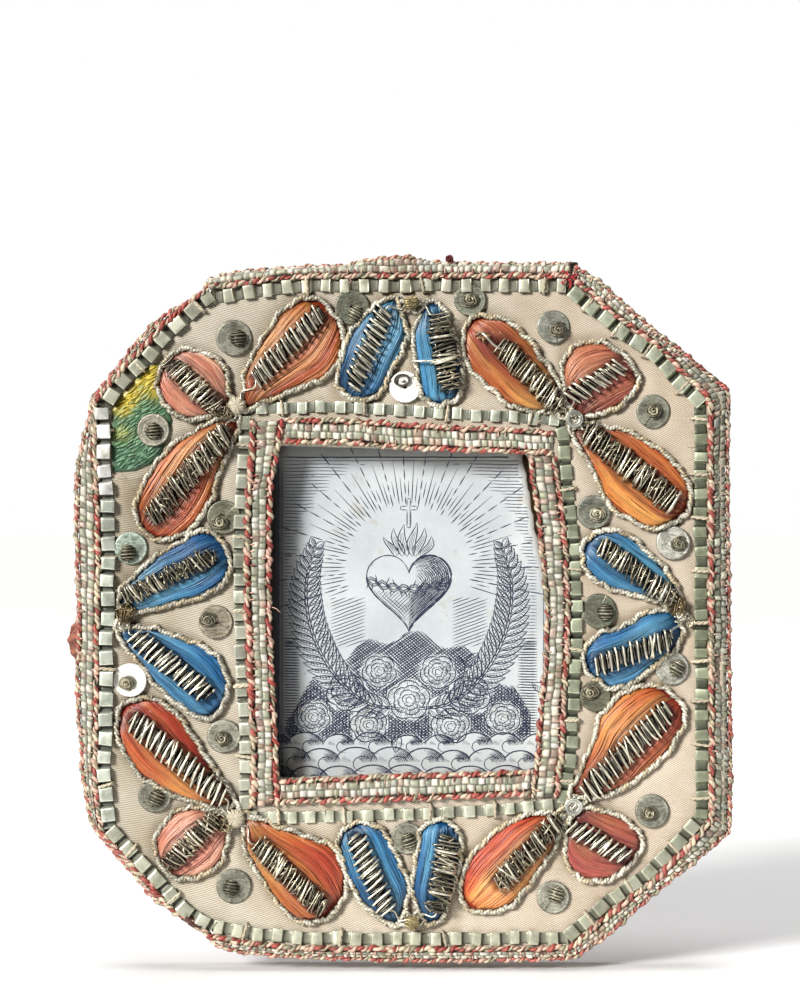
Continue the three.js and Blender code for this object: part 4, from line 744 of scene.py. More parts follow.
def make_side_seam(M):
    """Whipping that joins the two cloths all round the edge."""
    r = rng(31)
    line = resample(offset(resample(EDGE, 900, True), -1.12), 4000, True)
    s = arc(line, True)
    total = s[-1]
    bag = Bag()
    at, stitches = 0.0, []
    while at < total:
        stitches.append(at)
        at += r.uniform(2.0, 3.3)
    nrm = unit(np.roll(line, -3, 0) - np.roll(line, 3, 0))
    out = np.stack([nrm[:, 1], -nrm[:, 0]], 1)
    N = 15
    P, C = [], []
    for a in stitches:
        lean, lo, hi = r.uniform(0.7, 1.5), r.uniform(1.0, 1.5), r.uniform(3.4, 4.3)
        t = np.linspace(0, 1, N)
        pos = np.interp((a + lean * (t - 0.5)) % total, s[:-1], np.arange(len(line)))
        i = pos.astype(int)
        lift = 0.05 + 0.30 * np.sin(np.pi * t) ** 0.6 - 0.30 * (t < 0.03) - 0.30 * (t > 0.97)
        q = line[i] + out[i] * lift[:, None]
        P.append(np.column_stack([q, lo + (hi - lo) * t]))
        C.append(lin(172, 92, 78) * r.uniform(0.7, 1.15) if r.rand() < 0.6 else lin(206, 190, 164) * r.uniform(0.7, 1.0))
    P = A(P)
    tubes(bag, P, 0.15, 6, ref=(0.3, 0.2, 1.0), C=A(C))
    o = bag.make("edge_whipping", M["thread"], "metal_braid")
    return o


# ------------------------------------------------------------------ crimped strips
PERIOD = 2.92


def crimped(bag, path, width, d0, amp, r, tone, side_tilt=0.0, deep=1.0, steps=False):
    """One length of strip pressed into flats and steps; path is an open line of (x, z)."""
    L = arc(path)[-1]
    count = max(3, int(round(L / PERIOD)))
    # each step is (place, height, painted light): the third number lightens the flats and fold edges that face the lamp
    # and darkens the drops, as painted light and shade
    shape = [(0.0, 0.98, 1.5), (0.025, 1.06, 1.7), (0.06, 1.07, 1.02), (0.30, 1.10, 0.96), (0.57, 1.04, 1.0), (0.61, 1.02, 1.55), (0.635, 0.90, 1.2), (0.67, 0.46, 0.42),
             (0.705, 0.03, 0.24), (0.75, -0.04, 0.32), (0.81, -0.02, 0.52), (0.88, 0.20, 0.76), (0.94, 0.52, 0.95), (0.975, 0.84, 1.2)]
    if steps:                      # wide valleys: lit flats and shaded flats take turns
        shape = [(0.0, 1.0, 1.6), (0.03, 1.04, 1.24), (0.22, 1.08, 1.18), (0.40, 1.04, 1.24), (0.43, 1.00, 1.7), (0.46, 0.88, 1.3), (0.49, 0.30, 0.40),
                 (0.53, 0.02, 0.28), (0.58, -0.04, 0.48), (0.72, -0.05, 0.66), (0.88, -0.02, 0.74), (0.925, 0.12, 1.2), (0.96, 0.62, 1.6), (0.985, 0.92, 1.7)]
    lens = r.uniform(0.88, 1.12, count)
    starts = np.concatenate([[0], np.cumsum(lens)])
    starts = starts / starts[-1] * L
    tiles = dict(h=r.uniform(0.82, 1.25, count), lean=r.normal(0, 0.08, count), shift=r.normal(0, 0.08, count), tone=r.uniform(0.84, 1.14, count), twist=r.normal(0, 0.09, count))
    s, h, lean, shift, col, low, twist = [], [], [], [], [], [], []
    for i in range(count):
        for f, y, bright in shape:
            s.append(starts[i] + f * (starts[i + 1] - starts[i]))
            h.append(y * amp * tiles["h"][i])
            up = 1.0 if y > 0.5 else 0.0
            lean.append((tiles["lean"][i] + side_tilt) * up)
            twist.append(tiles["twist"][i] * up * (f - 0.27))
            shift.append(tiles["shift"][i] * (1.0 if y > 0.4 else 0.4))
            # deep darkens the shaded facets further, as painted shade
            b2 = bright * (deep if bright < 0.8 else 1.0)
            col.append(np.minimum(tone(starts[i] / L) * tiles["tone"][i] * b2, 0.94))
            low.append(up)
    s, h, lean, shift, low, twist = map(A, (s, h, lean, shift, low, twist))
    col = A(col)
    sp = arc(path)
    c = np.stack([np.interp(s, sp, path[:, k]) for k in (0, 1)], 1)
    T = unit(np.stack([np.interp(s + 0.4, sp, path[:, k]) - np.interp(s - 0.4, sp, path[:, k]) for k in (0, 1)], 1))
    B = np.stack([T[:, 1], -T[:, 0]], 1)                   # outwards, on an anticlockwise path
    across = np.array([-1, -0.93, -0.5, 0.0, 0.5, 0.93, 1])
    th = 0.11
    rows = []
    for side in (1, -1):
        a = across if side > 0 else across[::-1]
        for v in a:
            w = v * width / 2 * (1 - 0.15 * (1 - low))
            lip = 0.05 * max(0, abs(v) - 0.9) / 0.1
            d = d0 + 0.04 + h + lean * w + twist * w - lip + (th / 2) * side
            q = c + B * (w + shift)[:, None]
            rows.append(np.column_stack([q, d]))
    V = np.stack(rows, 1)                                  # along, round, 3
    n, k = V.shape[:2]
    C = np.repeat(col[:, None, :], k, 1)
    # both long edges are lightened: rubbed metal and painted highlight
    edge_wear_and_highlight = np.ones(k)
    for j, v in enumerate(list(across) + list(across[::-1])):
        edge_wear_and_highlight[j] = 1.12 if abs(v) > 0.9 else 1.0
    C = C * edge_wear_and_highlight[None, :, None]
    Q = grid_faces(n, k, False, True)
    V2 = V.reshape(-1, 3)
    caps = []
    for row, flip in ((0, True), (n - 1, False)):
        base = row * k
        half = k // 2
        for j in range(half - 1):
            q = [base + j, base + j + 1, base + k - 2 - j, base + k - 1 - j]
            caps.append(q[::-1] if flip else q)
    Q = np.vstack([Q, caps])
    bag.add(V2, fix(V2, Q), None, C.reshape(-1, 3))


def strip_runs(line, corners):
    """Cuts a closed line at the points nearest to the corners."""
    P = resample(line, 3000, True)
    idx = [int(np.argmin(((P - A(c)) ** 2).sum(1))) for c in corners]
    runs = []
    for a, b in zip(idx, idx[1:] + idx[:1]):
        runs.append(P[a:b + 1] if b > a else np.vstack([P[a:], P[:b + 1]]))
    return runs


OUT_CORNERS = [(24.4, 48.96), (-28.5, 47.32), (-44.9, 30.6), (-43.8, -32.4), (-28.4, -47.25), (24.7, -48.8), (44.7, -30.9), (44.6, 31.05)]
IN_CORNERS = [(23.4, 28.65), (-23.75, 30.6), (-23.4, -30.6), (24.0, -28.65)]


def over_threads(bag, line, half, d, r, gaps, skip=()):
    """Couching threads laid over a strip from one side to the other."""
    L = arc(line)[-1]
    sp = arc(line)
    at = r.uniform(2, 5)
    N = 13
    P, R, C = [], [], []
    while at < L - 1.5:
        lean = r.uniform(-0.22, 0.22)
        t = np.linspace(-1, 1, N)
        s = at + lean * t
        c = np.stack([np.interp(s, sp, line[:, k]) for k in (0, 1)], 1)
        T = unit(np.stack([np.interp(s + 0.4, sp, line[:, k]) - np.interp(s - 0.4, sp, line[:, k]) for k in (0, 1)], 1))
        B = np.stack([T[:, 1], -T[:, 0]], 1)
        reach = half + r.uniform(0.12, 0.62)
        h = d + 0.85 + 0.10 * (1 - t**2) - 1.0 * np.clip((np.abs(t) * reach - half) / (reach - half), 0, 1) ** 1.5
        q = c + B * (t * reach)[:, None]
        P.append(np.column_stack([q, h]))
        R.append(np.full(N, r.uniform(0.17, 0.27)))
        C.append(lin(212, 200, 176) * r.uniform(0.70, 1.05))
        at += r.uniform(*gaps)
    if P:
        P, R, C = A(P), A(R), A(C)
        for ply in (0, 1):
            ph = np.linspace(0, 3.2 * np.pi, N) + np.pi * ply
            T = unit(np.gradient(P, axis=1))
            U = unit(np.cross(T, np.array([0.1, 0.1, 1.0])))
            W = np.cross(U, T)
            Q = P + 0.45 * R[..., None] * (np.cos(ph)[None, :, None] * U + np.sin(ph)[None, :, None] * W)
            tubes(bag, Q, R * 0.72, 6, ref=(0.1, 0.1, 1), C=C)


def make_strips(M):
    r = rng(41)
    bag, thr = Bag(), Bag()
    # each length has its own tone; the near-white upper left and the darker lower right and right lengths are painted
    # light and shade
    left, right, lower = lin(252, 253, 244), lin(136, 142, 120), lin(206, 212, 198)
    tones = [lambda t: lin(188, 186, 168), lambda t: lin(186, 186, 168), lambda t: left if t < 0.19 else lower, lambda t: lin(182, 184, 166),
             lambda t: lin(176, 176, 158), lambda t: lin(160, 162, 144), lambda t: right, lambda t: lin(192, 197, 175)]
    tilt = [0.0, 0.05, 0.10, 0.04, 0.0, 0.0, -0.02, 0.02]
    for k, run in enumerate(strip_runs(STRIP_OUT, OUT_CORNERS)):
        run = resample(crom(resample(run, max(6, int(arc(run)[-1] / 2.5))), 8, False), 400)
        wavy = 0.10 * np.sin(np.linspace(0, arc(run)[-1] / 9.0 * 2 * np.pi, 400) + k)
        T = unit(np.gradient(run, axis=0))
        run = run + np.stack([T[:, 1], -T[:, 0]], 1) * wavy[:, None]
        d0 = 7.74
        crimped(bag, run, 2.0, d0, (0.52, 0.80, 0.86, 0.72, 0.50, 0.56, 0.46, 0.76)[k], r, tones[k], tilt[k], (0.8, 0.55, 0.42, 0.6, 0.8, 0.8, 0.80, 0.34)[k], steps=k in (0, 4, 6))
        over_threads(thr, run, 1.05, 7.7, r, ((17.0, 24.0), (8.0, 13.0), (13.0, 20.0), (8.0, 12.0), (14.0, 22.0), (7.0, 10.0), (5.5, 8.5), (5.5, 8.0))[k])
    o1 = bag.make("crimped_strip_outer", M["strip"], "crimped_strip", ["outer_crimped_strip"])
    bag2 = Bag()
    # the darker right length is painted shade
    tones = [lambda t: lin(190, 194, 178), lambda t: lin(182, 184, 168), lambda t: lin(182, 184, 166), lambda t: lin(158, 164, 142)]
    for k, run in enumerate(strip_runs(STRIP_IN, IN_CORNERS)):
        run = resample(crom(resample(run, max(6, int(arc(run)[-1] / 2.5))), 8, False), 300)
        sp = arc(run)
        if k == 1:                    # the left length starts below the top one
            run = resample(run[sp > 1.2], 300)
        crimped(bag2, run, 1.75, 7.72, (0.44, 0.56, 0.44, 0.46)[k], r, tones[k], (0.0, 0.06, 0.0, -0.02)[k], (0.8, 0.5, 0.8, 0.55)[k], steps=k in (0, 2))
        over_threads(thr, run, 0.9, 7.62, r, (9.0, 15.0))
    o2 = bag2.make("crimped_strip_inner", M["strip"], "crimped_strip", ["inner_crimped_strip"])
    o3 = thr.make("strip_couching_threads", M["thread"], "cream_silk")
    return o1, o2, o3


# ------------------------------------------------------------------ woven braids
SQ = 1.04             # one square of the weave


def two_ply(bag, path, radius, off, pitch, r, cols, k=7, per=12, closed=False, wobble=0.06, flat=1.0, phase=0.0, ref=(0.05, 0.03, 1), uneven=0.0, mottle=None):
    """A cord of two plies along a line of (x, z, d)."""
    L = arc(path, closed)[-1]
    turns = max(1, int(round(L / pitch)))
    n = turns * per + (0 if closed else 1)
    P = resample(path, n, closed)
    s = np.linspace(0, turns, n, endpoint=not closed)
    T = unit((np.roll(P, -1, 0) - np.roll(P, 1, 0)) if closed else np.gradient(P, axis=0))
    U = unit(np.cross(T, np.broadcast_to(A(ref), T.shape)))
    W = np.cross(U, T)
    amp = 1 + 0.10 * np.sin(2 * np.pi * s * 0.31 + phase)
    whole = 2 * np.pi / turns * np.array([round(turns * f) for f in (0.09, 0.23, 0.41)])      # whole waves, so that a closed cord meets itself
    ph = 2 * np.pi * s + phase + (0.35 + uneven) * (np.sin(s * whole[0]) + 0.6 * np.sin(s * whole[1] + 1) + 0.35 * np.sin(s * whole[2] + 2))
    for j, col in enumerate(cols):
        a = ph + 2 * np.pi * j / len(cols)
        Q = P + (off * amp)[:, None] * (np.cos(a)[:, None] * U + np.sin(a)[:, None] * W)
        tone = np.repeat(r.uniform(0.72, 1.18, turns * 2 + 2), per // 2)[:n]
        C = col[None, :] * tone[:, None]
        if mottle is not None:         # rubbed, and dyed in more than one bath: each turn shows another of the colours
            odds = A([[0.50, 0.20, 0.20, 0.10], [0.14, 0.44, 0.28, 0.14]][j % 2])
            pick = r.choice(len(mottle), turns * 2 + 2, p=odds)
            C = A(mottle)[pick].repeat(per // 2, 0)[:n] * tone[:, None]
        elif uneven:                   # the dyes wander from one ply into the other
            swap = (np.sin(s * 0.43 + 2.1 * j) + 0.7 * np.sin(s * 1.1 + 4 * j) > 1.05)[:, None]
            C = np.where(swap, cols[1 - j][None] * tone[:, None], C)
        # painted shade: each ply is darker on its lower half, towards the cloth
        up = np.clip(0.5 + 0.5 * np.sin(a), 0, 1)
        C = C * (0.42 + 0.62 * up)[:, None]
        rad = radius * (1 + wobble * r.uniform(-1, 1, turns + 2).repeat(per)[:n])
        tubes(bag, Q[None], rad[None], k, ref=ref, closed=closed, flat=flat, C=C[None])
    return P


def woven(bag, inner, outer, prof, r, tone, cord_cols, start=0.0, d_under=7.66, cords=(True, True), both=None, dim=None, even=None, thick=(1.0, 1.0), edge=None):
    """A length of tape: two rows of metal squares between two edge cords.  inner and outer are matching
    open lines of (x, z); prof gives (across, depth) for each station, with across 0 at inner and 1 at outer."""
    n0 = len(inner)
    mid = (inner + outer) / 2
    L = arc(mid)[-1]
    cells = int(round(L / SQ))
    per = 10
    n = cells * per + 1
    s = np.linspace(0, 1, n)
    sm = arc(mid) / L
    I = np.stack([np.interp(s, sm, inner[:, k]) for k in (0, 1)], 1)
    O = np.stack([np.interp(s, sm, outer[:, k]) for k in (0, 1)], 1)
    profs = prof(s, I, O)                                  # (n, p, 2): across in mm, depth
    # the tape's own width, measured round the profile
    seg = np.linalg.norm(np.diff(profs, axis=1), axis=2)
    al = np.concatenate([np.zeros((n, 1)), np.cumsum(seg, axis=1)], axis=1)
    W = al[:, -1]
    ow = unit(O - I)

    def on(w):                                             # points at distance w (n,) round the profile, with outward normals
        a = np.empty((n, 2))
        b = np.empty((n, 2))
        for i in range(n):
            a[i] = [np.interp(w[i], al[i], profs[i, :, 0]), np.interp(w[i], al[i], profs[i, :, 1])]
            b[i] = [np.interp(min(w[i] + 0.15, W[i]), al[i], profs[i, :, 0]) - np.interp(max(w[i] - 0.15, 0), al[i], profs[i, :, 0]),
                    np.interp(min(w[i] + 0.15, W[i]), al[i], profs[i, :, 1]) - np.interp(max(w[i] - 0.15, 0), al[i], profs[i, :, 1])]
        b = unit(b)
        nrm = np.stack([-b[:, 1], b[:, 0]], 1)             # (across, depth) normal: depth part is up where the tape lies flat
        return a, nrm
    # rows of squares
    lo, hi = 0.14 + 0.98 * thick[0], W - 0.14 - 0.98 * thick[1]
    K = 15
    share = np.concatenate([np.linspace(0, 1, 8)[:-1], np.linspace(1, 2, 8)]) / 2
    lay = []                       # the two rows keep their own count, a little out of step
    for row in (0, 1):
        cell = s * cells + 0.30 * np.sin(s * cells * 0.37 + 2 * row) + 0.22 * np.sin(s * cells * 0.83 + 5 * row) + 0.12 * np.sin(s * cells * 2.1 + row)
        cell = np.clip(cell, 0, cells - 1e-6)
        lay.append((np.floor(cell).astype(int), (cell - np.floor(cell)) * 2 - 1))
    rub = np.clip(0.55 + 0.9 * np.sin(s * cells * 0.21 + r.uniform(0, 6)) * np.sin(s * cells * 0.083 + r.uniform(0, 6)), 0, 1)
    # painted light: dim makes one side of the tape lighter or darker
    painted_side_light = 1.0 if dim is None else dim((I + O) / 2)
    rnd = r.uniform(0, 1, (cells + 2, 2))
    rnd2 = r.uniform(0, 1, (cells + 2, 2))
    tu, tv = r.normal(0, 0.09, (cells + 2, 2)), r.normal(0, 0.09, (cells + 2, 2))
    flip = np.cumsum(r.rand(cells + 2) < 0.10)
    odd = r.rand(cells + 2, 2) < 0.12
    top, colt = [], []
    for j, sh in enumerate(share):
        row = 0 if sh < 0.5 or (sh == 0.5 and j < 7) else 1
        v = (sh * 2 - row) * 2 - 1
        ci, fu = lay[row]
        w = lo + (hi - lo) * (sh + 0.035 * np.sin(s * cells * 0.61 + 1.0) + 0.03 * np.sin(s * cells * 1.37))
        a, nrm = on(w)
        up = ((ci + row + flip[ci] + start) % 2 < 1) ^ odd[ci, row]
        b = (1 - np.abs(fu) ** 3.4) * (1 - abs(v) ** 4)
        b = np.maximum(b, 0)
        hgt = -0.24 + b * (0.28 + (0.20 * up + 0.24 * (rnd[ci, row] - 0.5)) * (1 - 0.6 * rub) + tu[ci, row] * fu + tv[ci, row] * v)
        bright = np.where(up, 0.80 + 0.30 * rnd[ci, row], 0.62 + 0.42 * rnd[ci, row])
        # painted shade: each square darkens towards its edges, in the grooves between squares, and takes the side's
        # painted light
        bright = bright * (1 - 0.18 * rub * rnd2[ci, row]) * (0.26 + 0.74 * np.clip(b * 1.5, 0, 1)) * 0.88 * painted_side_light
        first = tone[0][None] if even is None else tone[0][None] + (tone[1] - tone[0])[None] * even((I + O) / 2)[:, None]
        base = np.where(up[:, None], first, tone[1][None])
        base = base * (1 + 0.12 * (rnd2[ci, row][:, None] - 0.5) * np.array([1, 0.6, -0.6]))
        worn = (rnd2[ci, 1 - row] > 0.86)[:, None]          # squares rubbed down to the warp
        base = np.where(worn, base * 0.45 + (cord_cols[0] * 0.4 + cord_cols[1] * 0.6)[None] * 0.5, base)
        p = I + ow * (a[:, :1] + nrm[:, :1] * hgt[:, None])
        top.append(np.column_stack([p, a[:, 1] + nrm[:, 1] * hgt]))
        colt.append(base * bright[:, None])
    # the shoulders under the edge cords, and the flat underside
    def flank(w, sink):
        a, nrm = on(w)
        p = I + ow * (a[:, :1] - nrm[:, :1] * sink)
        return np.column_stack([p, a[:, 1] - nrm[:, 1] * sink])
    # the shoulders and underside are coloured dark as painted shade under the tape's edges
    dark = np.broadcast_to(lin(96, 60, 50) * 0.7, (n, 3))
    ring = [flank(np.full(n, 0.16), 0.5), flank(np.full(n, 0.40), 0.26)] + top + [flank(W - 0.40, 0.26), flank(W - 0.16, 0.5)]
    cring = [dark, dark] + colt + [dark, dark]
    ring.append(flank(W * 0.72, 0.72))
    ring.append(flank(W * 0.28, 0.72))
    cring += [dark, dark]
    V = np.stack(ring, 1)
    V[..., 2] = np.maximum(V[..., 2], 5.2)
    C = np.stack(cring, 1)
    k = V.shape[1]
    V2 = V.reshape(-1, 3)
    Q = grid_faces(n, k, False, True)
    T = []
    mid0, mid1 = len(V2), len(V2) + 1
    V3 = np.vstack([V2, V[0].mean(0)[None], V[-1].mean(0)[None]])
    j = np.arange(k)
    T = np.vstack([np.stack([(j + 1) % k, j, np.full(k, mid0)], 1), np.stack([(n - 1) * k + j, (n - 1) * k + (j + 1) % k, np.full(k, mid1)], 1)])
    F = fix(V3, Q)
    if F[0, 0] != Q[0, 0]:
        T = T[:, ::-1]
    e = set(map(tuple, np.vstack([F[:, [0, 1]], F[:, [1, 2]], F[:, [2, 3]], F[:, [3, 0]]]).tolist()))
    if (int(T[0, 0]), int(T[0, 1])) in e:
        T = T[:, ::-1]
    bag.add(V3, F, T, np.vstack([C.reshape(-1, 3), C[0, :1], C[-1, :1]]))
    # the edge cords
    for w, flag, ph, fat in ((np.full(n, 0.02 + 0.58 * thick[0]), cords[0], 0.0, thick[0]), (W - 0.02 - 0.58 * thick[1], cords[1], 1.3, thick[1])):
        if not flag:
            continue
        a, nrm = on(w)
        sway = 0.06 * np.sin(s * cells * 0.9 + ph) + 0.05 * np.sin(s * cells * 1.7 + 2 * ph) + 0.13 * np.sin(s * cells * 3.05 + ph + 0.8 * np.sin(s * cells * 0.23))
        p = I + ow * (a[:, :1] + nrm[:, :1] * 0.08 + sway[:, None])
        line = np.column_stack([p, a[:, 1] + nrm[:, 1] * 0.10 + sway * 0.5])
        cut = max(1, n // 700)
        dye = cord_cols if both is None else (cord_cols, both)[ph > 0]
        g = painted_side_light if np.isscalar(painted_side_light) else float(np.median(painted_side_light))
        two_ply(bag if edge is None else edge, line[::cut], 0.300 * fat, 0.255 * fat, 2.05 * (0.3 + 0.7 * fat), r, dye, k=7, per=12, wobble=0.34, phase=r.uniform(0, 6), uneven=1.0,
                mottle=[dye[0] * g, dye[1] * g, lin(204, 190, 164) * g, lin(148, 142, 120) * g])
    # binding threads that show between the squares
    P, Rr, Cc = [], [], []
    for c0 in range(cells):
        for row in (0, 1):
            if r.rand() > 0.50:
                continue
            i = min(n - 1, c0 * per)
            wv = (0.06 + 0.98 * thick[0] if row == 0 else float(W[i]) - 0.06 - 0.98 * thick[1])
            ln = r.uniform(0.25, 0.75) * (1 if row == 0 else -1)
            ws = wv + ln * np.linspace(0, 1, 7)
            q = []
            for w1, bulge in zip(ws, np.sin(np.pi * np.linspace(0.05, 1, 7))):
                ax, dx = np.interp(w1, al[i], profs[i, :, 0]), np.interp(w1, al[i], profs[i, :, 1])
                p2 = I[i] + ow[i] * ax
                q.append([p2[0], p2[1], dx + 0.10 + 0.16 * bulge])
            P.append(q)
            Rr.append(np.full(7, r.uniform(0.08, 0.13)))
            Cc.append((cord_cols[0] if r.rand() < 0.38 else cord_cols[1]) * r.uniform(0.75, 1.1))
    if P:
        tubes(bag if edge is None else edge, A(P), A(Rr), 5, ref=(0.02, 0.03, 1), C=A(Cc))


def matched(inner, outer, pairs, per=220):
    """Two closed lines as matching points: pairs are (inner corner, outer corner), anticlockwise."""
    I, O = resample(inner, 4000, True), resample(outer, 4000, True)
    ii = [int(np.argmin(((I - A(a)) ** 2).sum(1))) for a, b in pairs]
    oo = [int(np.argmin(((O - A(b)) ** 2).sum(1))) for a, b in pairs]
    runs = []
    for k in range(len(pairs)):
        a0, a1, b0, b1 = ii[k], ii[(k + 1) % len(pairs)], oo[k], oo[(k + 1) % len(pairs)]
        p = I[a0:a1 + 1] if a1 > a0 else np.vstack([I[a0:], I[:a1 + 1]])
        q = O[b0:b1 + 1] if b1 > b0 else np.vstack([O[b0:], O[:b1 + 1]])
        runs.append((resample(p, per), resample(q, per)))
    return runs


RED, PINK = lin(162, 80, 72), lin(212, 176, 158)
RED2, PINK2 = lin(160, 62, 58), lin(218, 174, 158)
BRIGHT, MID = lin(232, 226, 210), lin(188, 190, 168)


def make_outer_braids(M):
    r = rng(51)
    strip_edge = offset(resample(STRIP_OUT, 600, True), 1.08)
    pairs = [((24.9, 50.0), (25.35, 52.5)), ((-28.9, 48.4), (-29.3, 49.9)), ((-45.9, 31.2), (-46.95, 32.25)), ((-44.9, -32.9), (-46.75, -32.0)),
             ((-28.8, -48.3), (-29.1, -49.2)), ((25.1, -49.9), (25.65, -52.2)), ((45.8, -31.3), (49.35, -33.0)), ((45.7, 31.5), (49.2, 33.15))]
    runs = matched(strip_edge, EDGE, pairs)
    top = runs[0]

    def prof_top(s, I, O):
        D = np.linalg.norm(O - I, axis=1)
        x = I[:, 0] + (O[:, 0] - I[:, 0]) * 0.5
        flat = np.exp(-(((x + 1.4) / 4.6) ** 4))
        f = np.array([0, 0.10, 0.32, 0.58, 0.80, 0.94, 1.0, 1.0, 0.97])
        d1 = np.array([8.08, 8.32, 8.42, 8.42, 8.22, 7.86, 7.30, 6.75, 6.15])
        d2 = np.array([8.08, 8.34, 8.46, 8.50, 8.50, 8.42, 8.20, 7.85, 7.5])
        a = (D - 0.30)[:, None] * f[None]
        d = d1[None] * (1 - flat[:, None]) + d2[None] * flat[:, None]
        d = d + 0.05 * wob(x, x * 0, 53, 9)[:, None]
        return np.stack([a, d], 2)

    bag = Bag()
    woven(bag, *[t[::-1] for t in top], prof_top, r, (BRIGHT * 0.93, MID * 1.04), [RED, PINK * 1.05], both=[lin(196, 138, 120), PINK * 1.05], thick=(0.76, 0.62))
    o1 = bag.make("woven_braid_top", M["braid"], "metal_braid", ["outer_braid_top"])

    def prof_side(s, I, O):
        D = np.linalg.norm(O - I, axis=1)
        f = np.array([0, 0.08, 0.30, 0.60, 0.84, 0.96, 1.0, 1.0])
        d = np.array([8.02, 8.26, 8.38, 8.40, 8.28, 8.02, 7.70, 7.40])
        x = (I[:, 0] + O[:, 0]) / 2
        z = (I[:, 1] + O[:, 1]) / 2
        rolled = np.array([8.00, 8.24, 8.24, 7.98, 7.62, 7.22, 6.85, 6.50])       # the right side lies over the edge
        u = (1 / (1 + np.exp(-(x - 43.5) / 0.8)))[:, None]
        return np.stack([(D - 0.42)[:, None] * f[None], d[None] * (1 - u) + rolled[None] * u + 0.06 * wob(x, z, 54, 12)[:, None]], 2)

    bag, edge = Bag(), Bag()
    I = np.vstack([a[:-1] for a, b in runs[1:]])
    O = np.vstack([b[:-1] for a, b in runs[1:]])
    I, O = I[3:-2], O[3:-2]
    # the cross lines turn gradually at the corners
    for _ in range(6):
        I[1:-1] = (I[:-2] + 2 * I[1:-1] + I[2:]) / 4
        O[1:-1] = (O[:-2] + 2 * O[1:-1] + O[2:]) / 4
    # painted light: dim darkens the right side, where the tape rolls over the edge away from the lamp, and the far left
    # a little; even dulls the right side's squares towards the second colour
    woven(bag, I, O, prof_side, r, (BRIGHT, MID), [RED, PINK], edge=edge, both=[lin(174, 98, 88), lin(206, 168, 150)], thick=(0.88, 0.74),
          dim=lambda p: 1 - 0.28 / (1 + np.exp(-(p[:, 0] - 44.0) / 0.8)) - 0.02 / (1 + np.exp((p[:, 0] + 43.5) / 0.8)),
          even=lambda p: 0.65 / (1 + np.exp(-(p[:, 0] - 44.0) / 0.8)))
    # a thin dark thread binds the outer edge
    rim = resample(crom(resample(offset(resample(EDGE, 900, True), -0.22), 120, True), 8, True), 900, True)
    keep = ~((rim[:, 1] > 47.5) & (np.abs(rim[:, 0] + 2) < 27.5))
    i0 = int(np.flatnonzero(keep & ~np.roll(keep, 1))[0])
    rim = np.roll(rim, -i0, 0)[:int(keep.sum())]
    t = arc(rim)
    two_ply(edge, np.column_stack([rim, 6.75 + 0.12 * np.sin(t * 0.21) + 0.05 * np.sin(t * 1.3)]), 0.15, 0.11, 1.3, r, [lin(104, 44, 42), lin(140, 74, 62)], k=6, per=8, wobble=0.2, uneven=0.4)
    o2 = bag.make("woven_braid_sides", M["braid"], "metal_braid", ["outer_braid_sides"])
    edge.make("edge_cords_sides", M["braid"], "metal_braid", ["outer_braid_sides"])
    return o1, o2


def make_inner_braids(M):
    out = []
    for key in ("left", "right", "top", "bottom"):
        r = rng(dict(left=61, right=62, top=63, bottom=64)[key])
        o, i = A(IB[key]["o"]), A(IB[key]["i"])
        O, I = resample(crom(o, 12, False), 300), resample(crom(i, 12, False), 300)
        if key in ("left", "right"):                   # matching heights, not matching lengths
            z = np.linspace(o[0, 1], o[-1, 1], 300)
            O = np.column_stack([np.interp(-z, -crom(o, 12, False)[:, 1], crom(o, 12, False)[:, 0]), z])
            I = np.column_stack([np.interp(-z, -crom(i, 12, False)[:, 1], crom(i, 12, False)[:, 0]), z])

        def prof(s, I, O, lift=(0.10 if key in ("top", "bottom") else 0.0)):
            D = np.linalg.norm(O - I, axis=1)
            f = np.array([0, 0.02, 0.14, 0.38, 0.66, 0.88, 1.0])
            d = np.array([7.55, 7.90, 8.24, 8.40, 8.40, 8.26, 7.98])
            x, z = (I[:, 0] + O[:, 0]) / 2, (I[:, 1] + O[:, 1]) / 2
            ends = 0.35 * np.exp(-((s / 0.03) ** 2)) * (key in ("top",)) + 0.3 * np.exp(-(((1 - s) / 0.03) ** 2)) * (key in ("top",))
            return np.stack([D[:, None] * f[None], d[None] + lift + 0.05 * wob(x, z, 55, 9)[:, None] - ends[:, None]], 2)
        bag = Bag()
        # painted light: dim darkens the right length and lightens the top one
        woven(bag, I, O, prof, r, (BRIGHT, MID * 0.96), [RED2, PINK2] if key == "left" else [RED, PINK], both=[RED, PINK],
              dim=lambda p, k=dict(right=0.90, top=1.08).get(key, 1.0): np.full(len(p), k), thick=(0.84, 1.0) if key == "left" else (0.78, 0.84))
        out.append(bag.make(f"woven_braid_window_{key}", M["braid"], "metal_braid", [f"inner_braid_{key}"]))
    return out


# ------------------------------------------------------------------ petals
ORANGE = dict(main=lin(212, 118, 46), second=lin(236, 178, 98), third=lin(176, 60, 34), dark=lin(76, 24, 20))
ORANGE2 = dict(main=lin(224, 112, 46), second=lin(246, 184, 98), third=lin(196, 66, 36), dark=lin(84, 28, 22))
DEEP = dict(main=lin(212, 104, 42), second=lin(234, 164, 82), third=lin(182, 50, 36), dark=lin(72, 22, 20))
SALMON = dict(main=lin(226, 160, 128), second=lin(242, 194, 164), third=lin(206, 118, 90), dark=lin(100, 40, 34))
SALMON2 = dict(main=lin(184, 104, 70), second=lin(212, 142, 100), third=lin(176, 80, 74), dark=lin(84, 30, 30))
BLUE = dict(main=lin(24, 111, 176), second=lin(112, 192, 230), third=lin(1, 82, 138), dark=lin(2, 30, 50))
BLUE2 = dict(main=lin(30, 118, 182), second=lin(116, 194, 232), third=lin(3, 86, 142), dark=lin(2, 32, 54))
